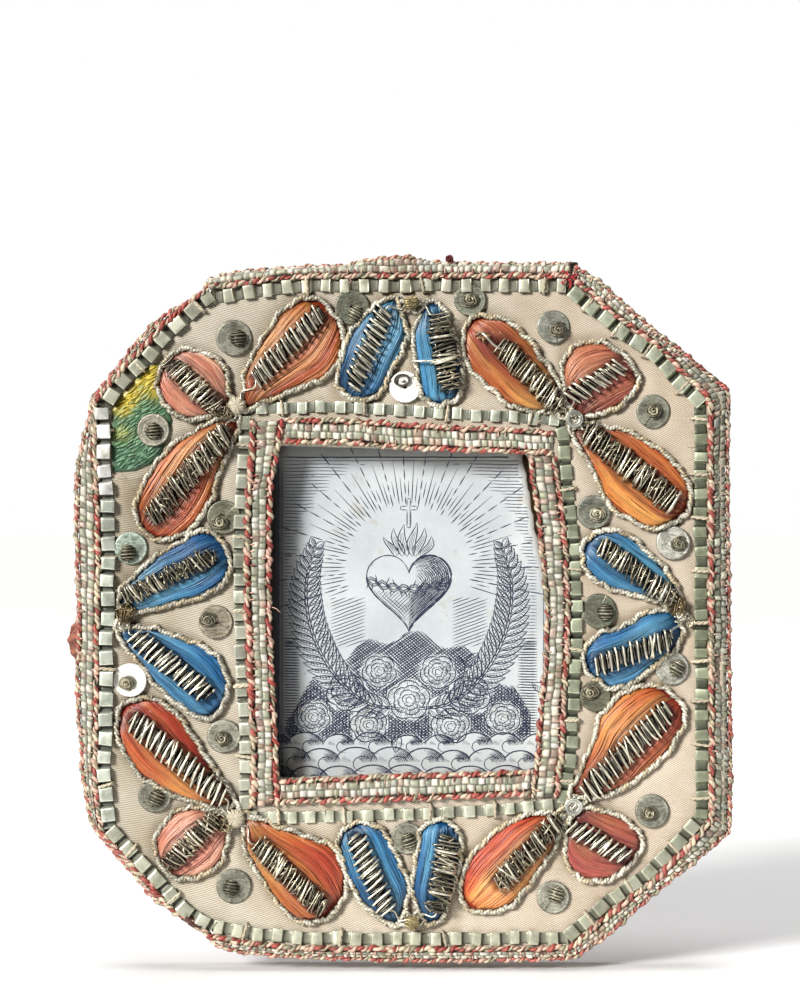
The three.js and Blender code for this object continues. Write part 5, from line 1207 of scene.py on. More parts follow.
LOOK = dict(tl_salmon=SALMON, tl_upper=ORANGE, tl_lower=DEEP, tr_upper=ORANGE, tr_salmon=SALMON2, tr_lower=ORANGE2,
            bl_upper=DEEP, bl_salmon=SALMON, bl_lower=ORANGE, br_upper=DEEP, br_salmon=SALMON2, br_lower=ORANGE2,
            lf_upper=BLUE, lf_lower=BLUE2, tp_left=BLUE, tp_right=BLUE2, rt_upper=BLUE, rt_lower=BLUE, bt_left=BLUE, bt_right=BLUE2)


TINT = dict(tl_lower=(0.8, -0.6, "third"), tl_upper=(0.5, -0.8, "third"), tr_lower=(0.6, 0.7, "third"), tr_upper=(-0.7, 0.6, "third"), tr_salmon=(0.5, -0.8, "third"), tl_salmon=(-0.7, -0.6, "third"),
            bl_upper=(-0.8, 0.3, "third"), bl_lower=(0.6, -0.7, "third"), br_upper=(0.7, -0.5, "third"), br_lower=(-0.5, 0.8, "third"), lf_lower=(-0.6, -0.7, "third"), rt_upper=(-0.6, -0.7, "third"),
            lf_upper=(0.5, 0.8, "third"), rt_lower=(0.4, -0.9, "third"), tp_left=(0.9, 0.3, "second"), tp_right=(-0.9, 0.2, "second"))


class Petal:
    """A petal's frame: t along its coil, l across it, and the height of its padded satin stitch."""

    def __init__(self, key):
        c = COILS[key]
        self.key, self.w = key, c["w"]
        self.a, self.b = A(c["a"]), A(c["b"])
        self.line = CORD_LINES[key]
        self.e = unit(self.b - self.a)
        self.n = np.array([-self.e[1], self.e[0]])
        self.o = (self.a + self.b) / 2
        q = offset(self.line, -0.30) - self.o
        t, l = q @ self.e, q @ self.n
        i0, i1 = int(np.argmin(t)), int(np.argmax(t))
        s1 = np.arange(i0, i1 + 1) if i1 > i0 else np.concatenate([np.arange(i0, len(t)), np.arange(0, i1 + 1)])
        s2 = np.arange(i1, i0 + 1) if i0 > i1 else np.concatenate([np.arange(i1, len(t)), np.arange(0, i0 + 1)])
        self.t0, self.t1 = t[i0], t[i1]
        self.tt = np.linspace(self.t0, self.t1, 90)
        l1 = np.interp(self.tt, np.maximum.accumulate(t[s1]), l[s1])
        l2 = np.interp(self.tt, np.maximum.accumulate(t[s2[::-1]]), l[s2[::-1]])
        self.lo, self.hi = np.minimum(l1, l2), np.maximum(l1, l2)
        self.half = np.maximum((self.hi - self.lo) / 2, 1e-3)
        self.mid = (self.hi + self.lo) / 2
        self.wmax = self.half.max()
        self.ta, self.tb = (self.a - self.o) @ self.e, (self.b - self.o) @ self.e
        self.H = 1.22 if self.wmax > 2.6 else 1.0

    def at(self, t, l):
        return self.o + self.e * np.asarray(t)[..., None] + self.n * np.asarray(l)[..., None]

    def height(self, t, l):
        half = np.interp(t, self.tt, self.half)
        mid = np.interp(t, self.tt, self.mid)
        rho = np.clip(np.abs(l - mid) / half, 0, 1)
        u = (t - self.t0) / (self.t1 - self.t0)
        end = np.clip(1 - np.abs(2 * u - 1) ** 4, 0, 1) ** 0.5
        dome = self.H * np.clip(1 - rho ** 2.6, 0, 1) ** 0.55 * end
        press = np.exp(-((l / (self.w * 0.30)) ** 2)) * np.clip((t - self.ta + 1.0) / 1.2, 0, 1) * np.clip((self.tb + 1.0 - t) / 1.2, 0, 1)
        return 7.74 + dome - 0.62 * press * np.minimum(dome / 0.9, 1)


def make_petals(M, name, m, seed):
    r = rng(seed)
    bag = Bag()
    for key in m["petals"]:
        p, look = Petal(key), LOOK[key]
        # the padding under the stitches, coloured darker than the floss as painted shade where it shows between strands
        n, k = 90, 9
        line = resample(offset(p.line, -0.22), n, True)
        c = line.mean(0)
        rows = []
        for f in np.linspace(1, 0.06, k):
            q = c + (line - c) * f
            t, l = (q - p.o) @ p.e, (q - p.o) @ p.n
            rows.append(np.column_stack([q, np.maximum(p.height(t, l) - 0.16, 7.70)]))
        under = np.column_stack([c + (line - c) * 0.5, np.full(n, 7.66)])
        foot = np.column_stack([line, np.full(n, 7.66)])
        V = np.vstack([np.vstack(rows), foot, under, [[*c, float(rows[-1][:, 2].mean())]], [[*c, 7.66]]])
        Q = grid_faces(k, n, False, True)
        j = np.arange(n)
        top, ft, un, ct, cb = (k - 1) * n, k * n, (k + 1) * n, (k + 2) * n, (k + 2) * n + 1
        Q = np.vstack([Q, np.stack([ft + j, ft + (j + 1) % n, (j + 1) % n, j], 1)[:, ::-1][:, ::-1], np.stack([un + j, un + (j + 1) % n, ft + (j + 1) % n, ft + j], 1)])
        T = np.vstack([np.stack([top + j, top + (j + 1) % n, np.full(n, ct)], 1), np.stack([un + (j + 1) % n, un + j, np.full(n, cb)], 1)])
        bag.add(V, orient(V, Q, T)[0], orient(V, Q, T)[1], look["third"] * 0.62)
        # the floss, laid the petal's way in flat bundles with furrows between them
        bundles = int(round(p.wmax * 2 / 1.5))
        clump = r.uniform(0, 6, 4)
        ph = r.uniform(0, 6)
        tx, tz, tint = TINT.get(key, (0.7, -0.7, "third"))
        foot = A(m["c"])
        blobs = [(r.uniform(-0.8, 0.8), r.uniform(0.1, 0.9), r.uniform(0.12, 0.35), r.uniform(0.2, 0.5), r.randint(3)) for _ in range(9)]
        layers = ((int(p.wmax * 2 / 0.125), 0.0, 0.130), (int(p.wmax * 2 / 0.26), 0.035, 0.110), (int(p.wmax * 2 / 1.0), 0.10, 0.060))
        N = 30
        for layer, (count, rise, rad) in enumerate(layers):
            P, R, C = [], [], []
            vs = np.linspace(-0.985, 0.985, count) + r.normal(0, 0.012 * (1 + 2 * layer), count)
            for v in np.clip(vs, -0.99, 0.99):
                g = 0.60 + 0.05 * r.randn()
                share = (p.half / p.wmax) ** (1 - g)
                ok = np.abs(v) <= share * 1.0
                if ok.sum() < 12:
                    continue
                lo, hi = p.tt[ok][0], p.tt[ok][-1]
                cut0, cut1 = r.uniform(0, 0.35), r.uniform(0, 0.35)
                if layer:
                    ln = (hi - lo) * r.uniform(0.5, 0.95)
                    lo2 = r.uniform(lo, hi - ln)
                    lo, hi = (lo2, lo2 + ln) if r.rand() < 0.6 else (lo, hi)
                lo, hi = lo + cut0, hi - cut1
                if hi - lo < 1.5:
                    continue
                t = np.linspace(lo, hi, N)
                u = (t - p.t0) / (p.t1 - p.t0)
                half, mid = np.interp(t, p.tt, p.half), np.interp(t, p.tt, p.mid)
                vv = v + 0.03 * np.sin(2 * np.pi * u * r.uniform(0.5, 1.3) + r.uniform(0, 6)) + (0.06 * (u - 0.5) * r.randn() if layer else 0)
                l = mid + np.clip(vv * half**g * p.wmax ** (1 - g), -half * 0.97, half * 0.97)
                furrow = np.abs(np.sin(np.pi * (v * bundles / 2 + 0.16 * np.sin(3.1 * u + ph)) + ph)) ** 0.55
                h = p.height(t, l) - 0.24 * (1 - furrow) + rise + 0.020 * r.randn()
                endu = (t - lo) / (hi - lo)
                tuck = np.clip(np.minimum(endu, 1 - endu) / 0.06, 0, 1)
                h = h - (1 - tuck) * (0.34 + rise)
                P.append(np.column_stack([p.at(t, l), h]))
                R.append(rad * (0.75 + 0.35 * r.rand()) * (0.55 + 0.45 * tuck))
                # colour: drifts between three dyes, the pale one also standing for the floss's sheen as painted
                # highlight; painted shade beside the coil, in the furrows, at the tucked ends and at the foot
                streak = 0.5 * math.sin(v * 9 + clump[0]) + 0.35 * math.sin(v * 21 + clump[1]) + 0.25 * math.sin(v * 47 + clump[2])
                col = look["main"] * (0.86 + 0.26 * r.rand()) * (1 + 0.34 * streak)
                if look is ORANGE or look is ORANGE2 or look is DEEP:
                    # painted highlight: yellow streaks along the outer edges of the orange petals
                    painted_rim_highlight = 0.42 * float(np.clip((abs(v) - 0.60) / 0.3, 0, 1)) * (0.5 + 0.5 * math.sin(v * 31 + clump[1]))
                    col = col * (1 - painted_rim_highlight) + lin(206, 148, 56) * painted_rim_highlight
                k2 = 0.62 * float(np.clip((streak - 0.15) / 0.45, 0, 1))
                col = col * (1 - k2) + look["second"] * k2
                k3 = 0.55 * float(np.clip((-streak - 0.25) / 0.5, 0, 1))
                col = col * (1 - k3) + look["third"] * k3
                mixs = np.zeros((N, 3)) + col
                for (bv, bu, sv, su, which) in blobs:
                    a = np.exp(-(((v - bv) / sv) ** 2) - ((u - bu) / su) ** 2)[:, None] * 0.85
                    mixs = mixs * (1 - a) + look[("second", "third", "second")[which]][None] * a
                if r.rand() < 0.12:
                    a = 0.5 * r.rand()
                    mixs = mixs * (1 - a) + look["second"] * a
                pos = p.at(t, l)
                a = (0.72 / (1 + np.exp(-((pos - p.at((p.ta + p.tb) / 2, 0.0)) @ A([tx, tz])) / 0.8)))[:, None] * (0.75 + 0.25 * math.sin(v * 13 + clump[3]))
                mixs = mixs * (1 - a) + look[tint][None] * a
                if key == "tr_upper":      # darker maroon about the loop of heavier wire
                    a = (0.80 * np.exp(-((np.linalg.norm(pos - A([13.2, 40.4]), axis=1) / 2.6) ** 2)))[:, None]
                    mixs = mixs * (1 - a) + lin(104, 42, 50)[None] * a
                # painted shade: darker at the foot, beside the coil, in the furrows, where the ends tuck in and near
                # the outline
                root = 0.66 * np.exp(-((np.linalg.norm(pos - foot, axis=1) / 4.6) ** 2))
                shade = np.exp(-((l / (p.w * 0.60)) ** 2)) * np.clip((t - p.ta + 1.5) / 1.5, 0, 1) * np.clip((p.tb + 1.5 - t) / 1.5, 0, 1)
                shade = np.clip(shade * 0.90 + (1 - furrow) * 0.50 + 0.35 * (1 - tuck) + 0.25 * np.clip(np.abs(l - mid) / half - 0.8, 0, 1) * 5 * 0.5, 0, 0.92)[:, None]
                shade = np.maximum(shade, np.clip(shade * 0.5 + root[:, None], 0, 0.92))
                mixs = mixs * (1 - shade) + look["dark"][None] * shade
                C.append(mixs)
            if P:
                tubes(bag, A(P), A(R), 6, ref=(0, 0, 1), C=A(C), flat=0.42 if layer < 2 else 0.8)
    blue = name.endswith("_mid")
    o = bag.make(f"silk_petals_{name}", M["floss"], "blue_silk" if blue else "orange_silk", [f"petal_silk_{name}"])
    return o


def orient(V, Q, T):
    """Makes quads and triangles of one closed mesh agree with each other and face outwards."""
    faces = [list(map(int, f)) for f in Q] + [list(map(int, f)) for f in T]
    edge = {}
    for i, f in enumerate(faces):
        for a, b in zip(f, f[1:] + f[:1]):
            edge.setdefault((min(a, b), max(a, b)), []).append((i, a < b))
    seen, flip = {0: False}, [False] * len(faces)
    stack = [0]
    while stack:
        i = stack.pop()
        f = faces[i]
        for a, b in zip(f, f[1:] + f[:1]):
            for j, way in edge[(min(a, b), max(a, b))]:
                if j == i or j in seen:
                    continue
                mine = (a < b) != flip[i]
                flip[j] = way == mine
                seen[j] = flip[j]
                stack.append(j)
    vol = 0.0
    for f, fl in zip(faces, flip):
        g = f[::-1] if fl else f
        for k in range(1, len(g) - 1):
            vol += float(np.dot(V[g[0]], np.cross(V[g[k]], V[g[k + 1]])))
    if vol < 0:
        flip = [not x for x in flip]
    out = [f[::-1] if fl else f for f, fl in zip(faces, flip)]
    return np.array(out[:len(Q)]), np.array(out[len(Q):])


def stitch_over(bag, at, way, half, top, base, r, col, rad=0.10):
    """A couching stitch across a cord: an arch along way, of half width half."""
    t = np.linspace(-1, 1, 9)
    P = np.column_stack([A(at)[None] + A(way)[None] * (t * half)[:, None], base + (top - base) * np.sqrt(np.clip(1 - t**4, 0, 1))])
    tubes(bag, P, rad * np.ones(9), 5, ref=(A(way)[1] * -1 + 0.01, A(way)[0], 0.02), C=col)


def wound_cord(bag, path, radius, r, cols, seg=(0.95, 1.75), closed=True, k=12, step=0.07, pitch=0.46, ridge=0.065, lean=1.5):
    """A thick thread wound with fine metal strip, bulging between the stitches that draw it in; returns where they sit."""
    L = arc(path, closed)[-1]
    n = int(L / step)
    P = resample(path, n, closed)
    s = np.linspace(0, L, n, endpoint=not closed)
    cuts = [0.0]
    while cuts[-1] < L:
        cuts.append(cuts[-1] + r.uniform(*seg))
    cuts = A(cuts) * L / cuts[-1]
    m = len(cuts) - 1
    side, rise = r.normal(0, 0.085, m + 1), r.normal(0, 0.05, m + 1)
    side[-1], rise[-1] = side[0], rise[0]
    T = unit((np.roll(P, -1, 0) - np.roll(P, 1, 0)) if closed else np.gradient(P, axis=0))
    U = unit(np.cross(T, np.broadcast_to(A([0.03, 0.02, 1.0]), T.shape)))
    W = np.cross(U, T)
    P = P + U * np.interp(s, cuts, side)[:, None] + W * np.interp(s, cuts, rise)[:, None]
    a = 2 * np.pi * np.arange(k) / k
    way = np.where(r.rand(m) < 0.8, 1.0, -0.6) * lean
    i0 = np.clip(np.searchsorted(cuts, s, side="right") - 1, 0, m - 1)
    sv = (s[:, None] + (way[i0] * radius)[:, None] * np.cos(a)[None]) % L if closed else np.clip(s[:, None] + (way[i0] * radius)[:, None] * np.cos(a)[None], 0, L - 1e-6)
    i = np.clip(np.searchsorted(cuts, sv, side="right") - 1, 0, m - 1)
    f = (sv - cuts[i]) / (cuts[i + 1] - cuts[i])
    gap = np.minimum(f, 1 - f) * (cuts[i + 1] - cuts[i])
    size, pick, tone = r.uniform(0.86, 1.16, m), r.choice(len(cols), m, p=[0.5, 0.3, 0.2][:len(cols)]), r.uniform(0.70, 1.10, m)
    tight = r.uniform(0.55, 1.0, m + 1)
    tight[-1] = tight[0]
    edge = np.where(f < 0.5, tight[i], tight[i + 1])
    R = radius * size[i] * (1.06 - 0.42 * edge * np.exp(-((gap / 0.21) ** 2)) + ridge * np.cos(2 * np.pi * s[:, None] / pitch - a[None]))
    ring = P[:, None, :] + R[..., None] * (np.cos(a)[None, :, None] * U[:, None, :] + np.sin(a)[None, :, None] * W[:, None, :])
    C = A(cols)[pick[i]] * tone[i][..., None]
    # painted shade: darker in the pinched crevices between bulges and in the grooves of the wrapping
    C = C * (1 - 0.80 * edge * np.exp(-((gap / 0.17) ** 2)))[..., None] * (1 - 0.30 * (np.cos(2 * np.pi * s[:, None] / pitch - a[None]) < -0.45))[..., None]
    # painted shade: darker on the underside of the cord
    C = C * (0.62 + 0.38 * np.clip(0.6 + 0.8 * np.sin(a), 0, 1))[None, :, None]
    Q = grid_faces(n, k, closed, True)
    V = ring.reshape(-1, 3)
    T3 = np.zeros((0, 3), int)
    C = C.reshape(-1, 3)
    if not closed:
        j = np.arange(k)
        V = np.vstack([V, P[:1], P[-1:]])
        C = np.vstack([C, C[:1], C[-1:]])
        T3 = np.vstack([np.stack([j, (j + 1) % k, np.full(k, n * k)], 1), np.stack([(n - 1) * k + (j + 1) % k, (n - 1) * k + j, np.full(k, n * k + 1)], 1)])
    F = fix(V, Q)
    if len(T3):
        e = set(map(tuple, np.vstack([F[:, [0, 1]], F[:, [1, 2]], F[:, [2, 3]], F[:, [3, 0]]]).tolist()))
        if (int(T3[0, 0]), int(T3[0, 1])) in e:
            T3 = T3[:, ::-1]
    bag.add(V, F, T3, C)
    at = np.interp(cuts[:-1], s, np.arange(n)).astype(int)
    return P, U, T, at[tight[:-1] > 0.72]


def make_cords(M, name, m, seed):
    r = rng(seed)
    bag = Bag()
    c = A(m["c"])
    cols = [k * (0.80 if c[0] < -10 else 0.92 if c[0] < 10 else 1.0) for k in (lin(238, 232, 214), lin(210, 206, 186), lin(216, 200, 168))]
    for key in m["petals"]:
        line = smooth(PETALS[key], 420)
        T = unit(np.roll(line, -1, 0) - np.roll(line, 1, 0))
        out = np.stack([T[:, 1], -T[:, 0]], 1)
        s = arc(line, True)[:-1]
        L = arc(line, True)[-1]
        wv = sum(a * np.sin(2 * np.pi * k * s / L + r.uniform(0, 6)) for k, a in ((5, 0.08), (9, 0.08), (14, 0.07), (23, 0.05)))
        dz = sum(a * np.sin(2 * np.pi * k * s / L + r.uniform(0, 6)) for k, a in ((4, 0.06), (11, 0.05)))
        path = np.column_stack([line + out * wv[:, None], 8.16 + dz])
        laid, across, along, drawn = wound_cord(bag, path, 0.41, r, cols)
        for k in drawn:                # the couching stitches that can be seen
            if r.rand() < 0.6:
                way = unit(across[k, :2] + along[k, :2] * r.uniform(-0.25, 0.25))
                stitch_over(bag, laid[k, :2], way, 0.50, laid[k, 2] + 0.40, 7.70, r, lin(206, 190, 160) * r.uniform(0.6, 1.0), 0.075)
        # threads carried on to the middle
        d = ((line - c) ** 2).sum(1)
        k0 = int(np.argmin(d))
        for side in (-1, 1):
            k = (k0 + side * int(r.uniform(8, 16))) % len(line)
            a = line[k]
            b = c + unit(a - c) * m["r"] * 0.3
            q = np.linspace(0, 1, 12)[:, None]
            bend = np.array([-(b - a)[1], (b - a)[0]]) * 0.16 * side
            w = a + (b - a) * q + bend * np.sin(np.pi * q)
            if np.linalg.norm(b - a) > 0.8:
                wound_cord(bag, np.column_stack([w, 8.25 + 0.35 * np.sin(np.pi * q[:, 0])]), 0.34, r, cols, closed=False)
    return bag.make(f"twisted_cord_{name}", M["cord"], "metal_cord", [f"outline_cord_{name}"])


def spow(x, p):
    return np.sign(x) * np.abs(x) ** p


def coil(bag, a, b, w, r, slant=0.0, wire=0.150, pitch=0.84, dc=9.42, hh=0.86, tone=None, rough=1.0, inner=True, spread=(0.74, 1.16), flat=1.0):
    """A loose coil of purl laid from a to b: wide flattened turns of wire, over a finer one coloured darker as painted
    shade; each turn is painted light on top and painted shade below.
    """
    a, b = A(a), A(b)
    e = unit(b - a)
    nn = np.array([-e[1], e[0]])
    L = float(np.linalg.norm(b - a))
    tone = lin(214, 208, 188) if tone is None else tone

    def run(pitch, width, hh, wire, tone, per, jit, sides, p1, p2, seedtone, flat):
        turns = L / pitch
        n = int(turns * per)
        ph = np.linspace(0, 2 * np.pi * turns, n)
        k = ph / np.pi

        def field(amp):
            kk = int(k[-1]) + 3
            v = r.normal(0, amp, kk)
            i = np.floor(k).astype(int)
            f = k - i
            f = f * f * (3 - 2 * f)
            return v[i] * (1 - f) + v[i + 1] * f
        u = np.linspace(0, 1, n)
        ends = np.clip(np.minimum(u, 1 - u) / 0.07, 0, 1) ** 0.5
        lat = width / 2 * spow(np.cos(ph), p1) * (1 + field(0.09 * jit)) * (0.62 + 0.38 * ends)
        up = hh * spow(np.sin(ph), p2) * (1 + field(0.12 * jit)) * (0.7 + 0.3 * ends)
        turn = ph / (2 * np.pi)
        fr = turn - np.floor(turn)
        go = np.floor(turn) + np.where(fr < 0.5, 0.24 * fr, 0.12 + 1.76 * (fr - 0.5))
        al = -L / 2 + L * go / turns + (slant + field(0.10 * jit)) * lat + field(0.09 * jit)
        side = field(0.05 * jit)
        d = dc + up + field(0.05 * jit) - 0.35 * (1 - ends)
        pos = (a + b) / 2 + e * al[:, None] + nn * (lat + side)[:, None]
        P = np.column_stack([pos, d])
        v = np.clip(0.5 + 0.5 * np.sin(ph), 0, 1)
        tn = np.repeat(r.uniform(*seedtone, int(k[-1]) + 2), int(math.ceil(per / 2)) + 1)[:n]
        sp = np.sin(ph)
        # painted light: the upper half of each turn is bright and the lower half nearly black
        col = tone[None] * (tn * np.where(sp > 0, 0.74 + 0.38 * np.abs(sp) ** 0.5, 0.30 * np.exp(-11.0 * np.abs(sp))))[:, None]
        rad = wire * (1 + 0.08 * field(1.0))
        tubes(bag, P[None], rad[None], sides, ref=np.array([[e[0], e[1], 0.0]]), C=col[None], flat=flat)
        return P
    P = run(pitch, w, hh, wire, tone, 32, rough * 0.62, 6, 0.42, 0.42, spread, flat)
    if inner:
        # the finer inner coil is coloured darker as painted shade inside the wide turns
        run(0.36, w * 0.66, hh * 0.50, 0.085, tone * 0.48, 14, rough, 5, 0.8, 0.9, (0.35, 1.5), 1.0)
    return P


def tangle(bag, c, rx, rz, d, rd, n, r, col, rad=0.12, loops=1):
    """Loose curls of wire heaped on one spot."""
    for _ in range(loops):
        a = r.uniform(0, 2 * np.pi, n)
        q = np.sqrt(r.uniform(0.15, 1, n))
        pts = np.column_stack([c[0] + rx * q * np.cos(a), c[1] + rz * q * np.sin(a), d + rd * r.uniform(-0.6, 1, n)])
        P = crom(pts, 9, False)
        tn = np.repeat(r.uniform(0.55, 1.25, n + 1), 9)[:len(P)]
        tubes(bag, P[None], (rad * np.ones(len(P)))[None], 6, ref=(0.31, 0.17, 0.93), C=(col[None] * tn[:, None])[None])


def rosette(bag, c, rad, d, r, col, count=30):
    """A pad of threads that spread from one point and dive into the cloth."""
    P, C = [], []
    t = np.linspace(0, 1, 10)
    for i in range(count):
        a = 2 * np.pi * (i + r.uniform(-0.3, 0.3)) / count
        rr = rad * r.uniform(0.86, 1.06) * t
        h = d + 0.55 * (1 - t**2.5) - 0.75 * np.clip(t - 0.8, 0, 1) / 0.2 * 0.6 + 0.03 * r.randn()
        P.append(np.column_stack([c[0] + rr * np.cos(a + 0.25 * t), c[1] + rr * np.sin(a + 0.25 * t), h]))
        C.append(col * r.uniform(0.72, 1.1))
    tubes(bag, A(P), 0.105, 5, ref=(0, 0, 1), C=A(C))
    # a low core that closes the middle
    n, k = 20, 6
    rows = [np.column_stack([c[0] + rad * 0.9 * math.cos(x) * np.cos(np.arange(n) * 2 * np.pi / n), c[1] + rad * 0.9 * math.cos(x) * np.sin(np.arange(n) * 2 * np.pi / n),
                             np.full(n, d - 0.4 + 0.85 * math.sin(x))]) for x in np.linspace(-0.5, 1.45, k)]
    V = np.vstack([np.vstack(rows), [[*c, d + 0.46]], [[*c, d - 0.75]]])
    Q = grid_faces(k, n, False, True)
    j = np.arange(n)
    T = np.vstack([np.stack([(k - 1) * n + j, (k - 1) * n + (j + 1) % n, np.full(n, k * n)], 1), np.stack([(j + 1) % n, j, np.full(n, k * n + 1)], 1)])
    Q, T = orient(V, Q, T)
    # the core is coloured darker than the threads as painted shade between them
    bag.add(V, Q, T, col * 0.6)


SLANT = dict(tl_salmon=0.10, tl_upper=0.28, tl_lower=0.30, lf_upper=-0.20, lf_lower=0.15, tp_left=0.30, tp_right=-0.08, tr_upper=-0.22, tr_salmon=-0.42,
             tr_lower=-0.15, rt_upper=-0.25, rt_lower=0.22, bl_upper=-0.25, bl_salmon=-0.1, bl_lower=-0.25, br_upper=0.2, br_salmon=0.35, br_lower=0.2, bt_left=-0.3, bt_right=0.1)
# where the bright bars cross, on the coils that have been crushed
MESSY = dict(tl_salmon=(0.22, 0.50, 0.60, 0.72), tl_lower=(0.06, 0.17, 0.27, 0.38), lf_upper=(0.12, 0.30, 0.38, 0.80), tp_right=(0.30, 0.62), tr_upper=(0.45, 0.60, 0.72, 0.84), tr_lower=(0.06, 0.42, 0.52, 0.60, 0.97),
             rt_upper=(0.04, 0.30, 0.72, 0.86), bl_salmon=(0.30, 0.62, 0.80), bl_lower=(0.15, 0.35, 0.70), bt_right=(0.25, 0.55, 0.80), br_lower=(0.20, 0.48, 0.66, 0.90))
ROUGHNESS = dict(tl_salmon=1.7, tl_lower=1.5, tr_upper=1.4, tr_lower=1.0, lf_lower=1.3, rt_upper=1.3, tp_right=1.3, bl_upper=1.5, br_upper=1.1)


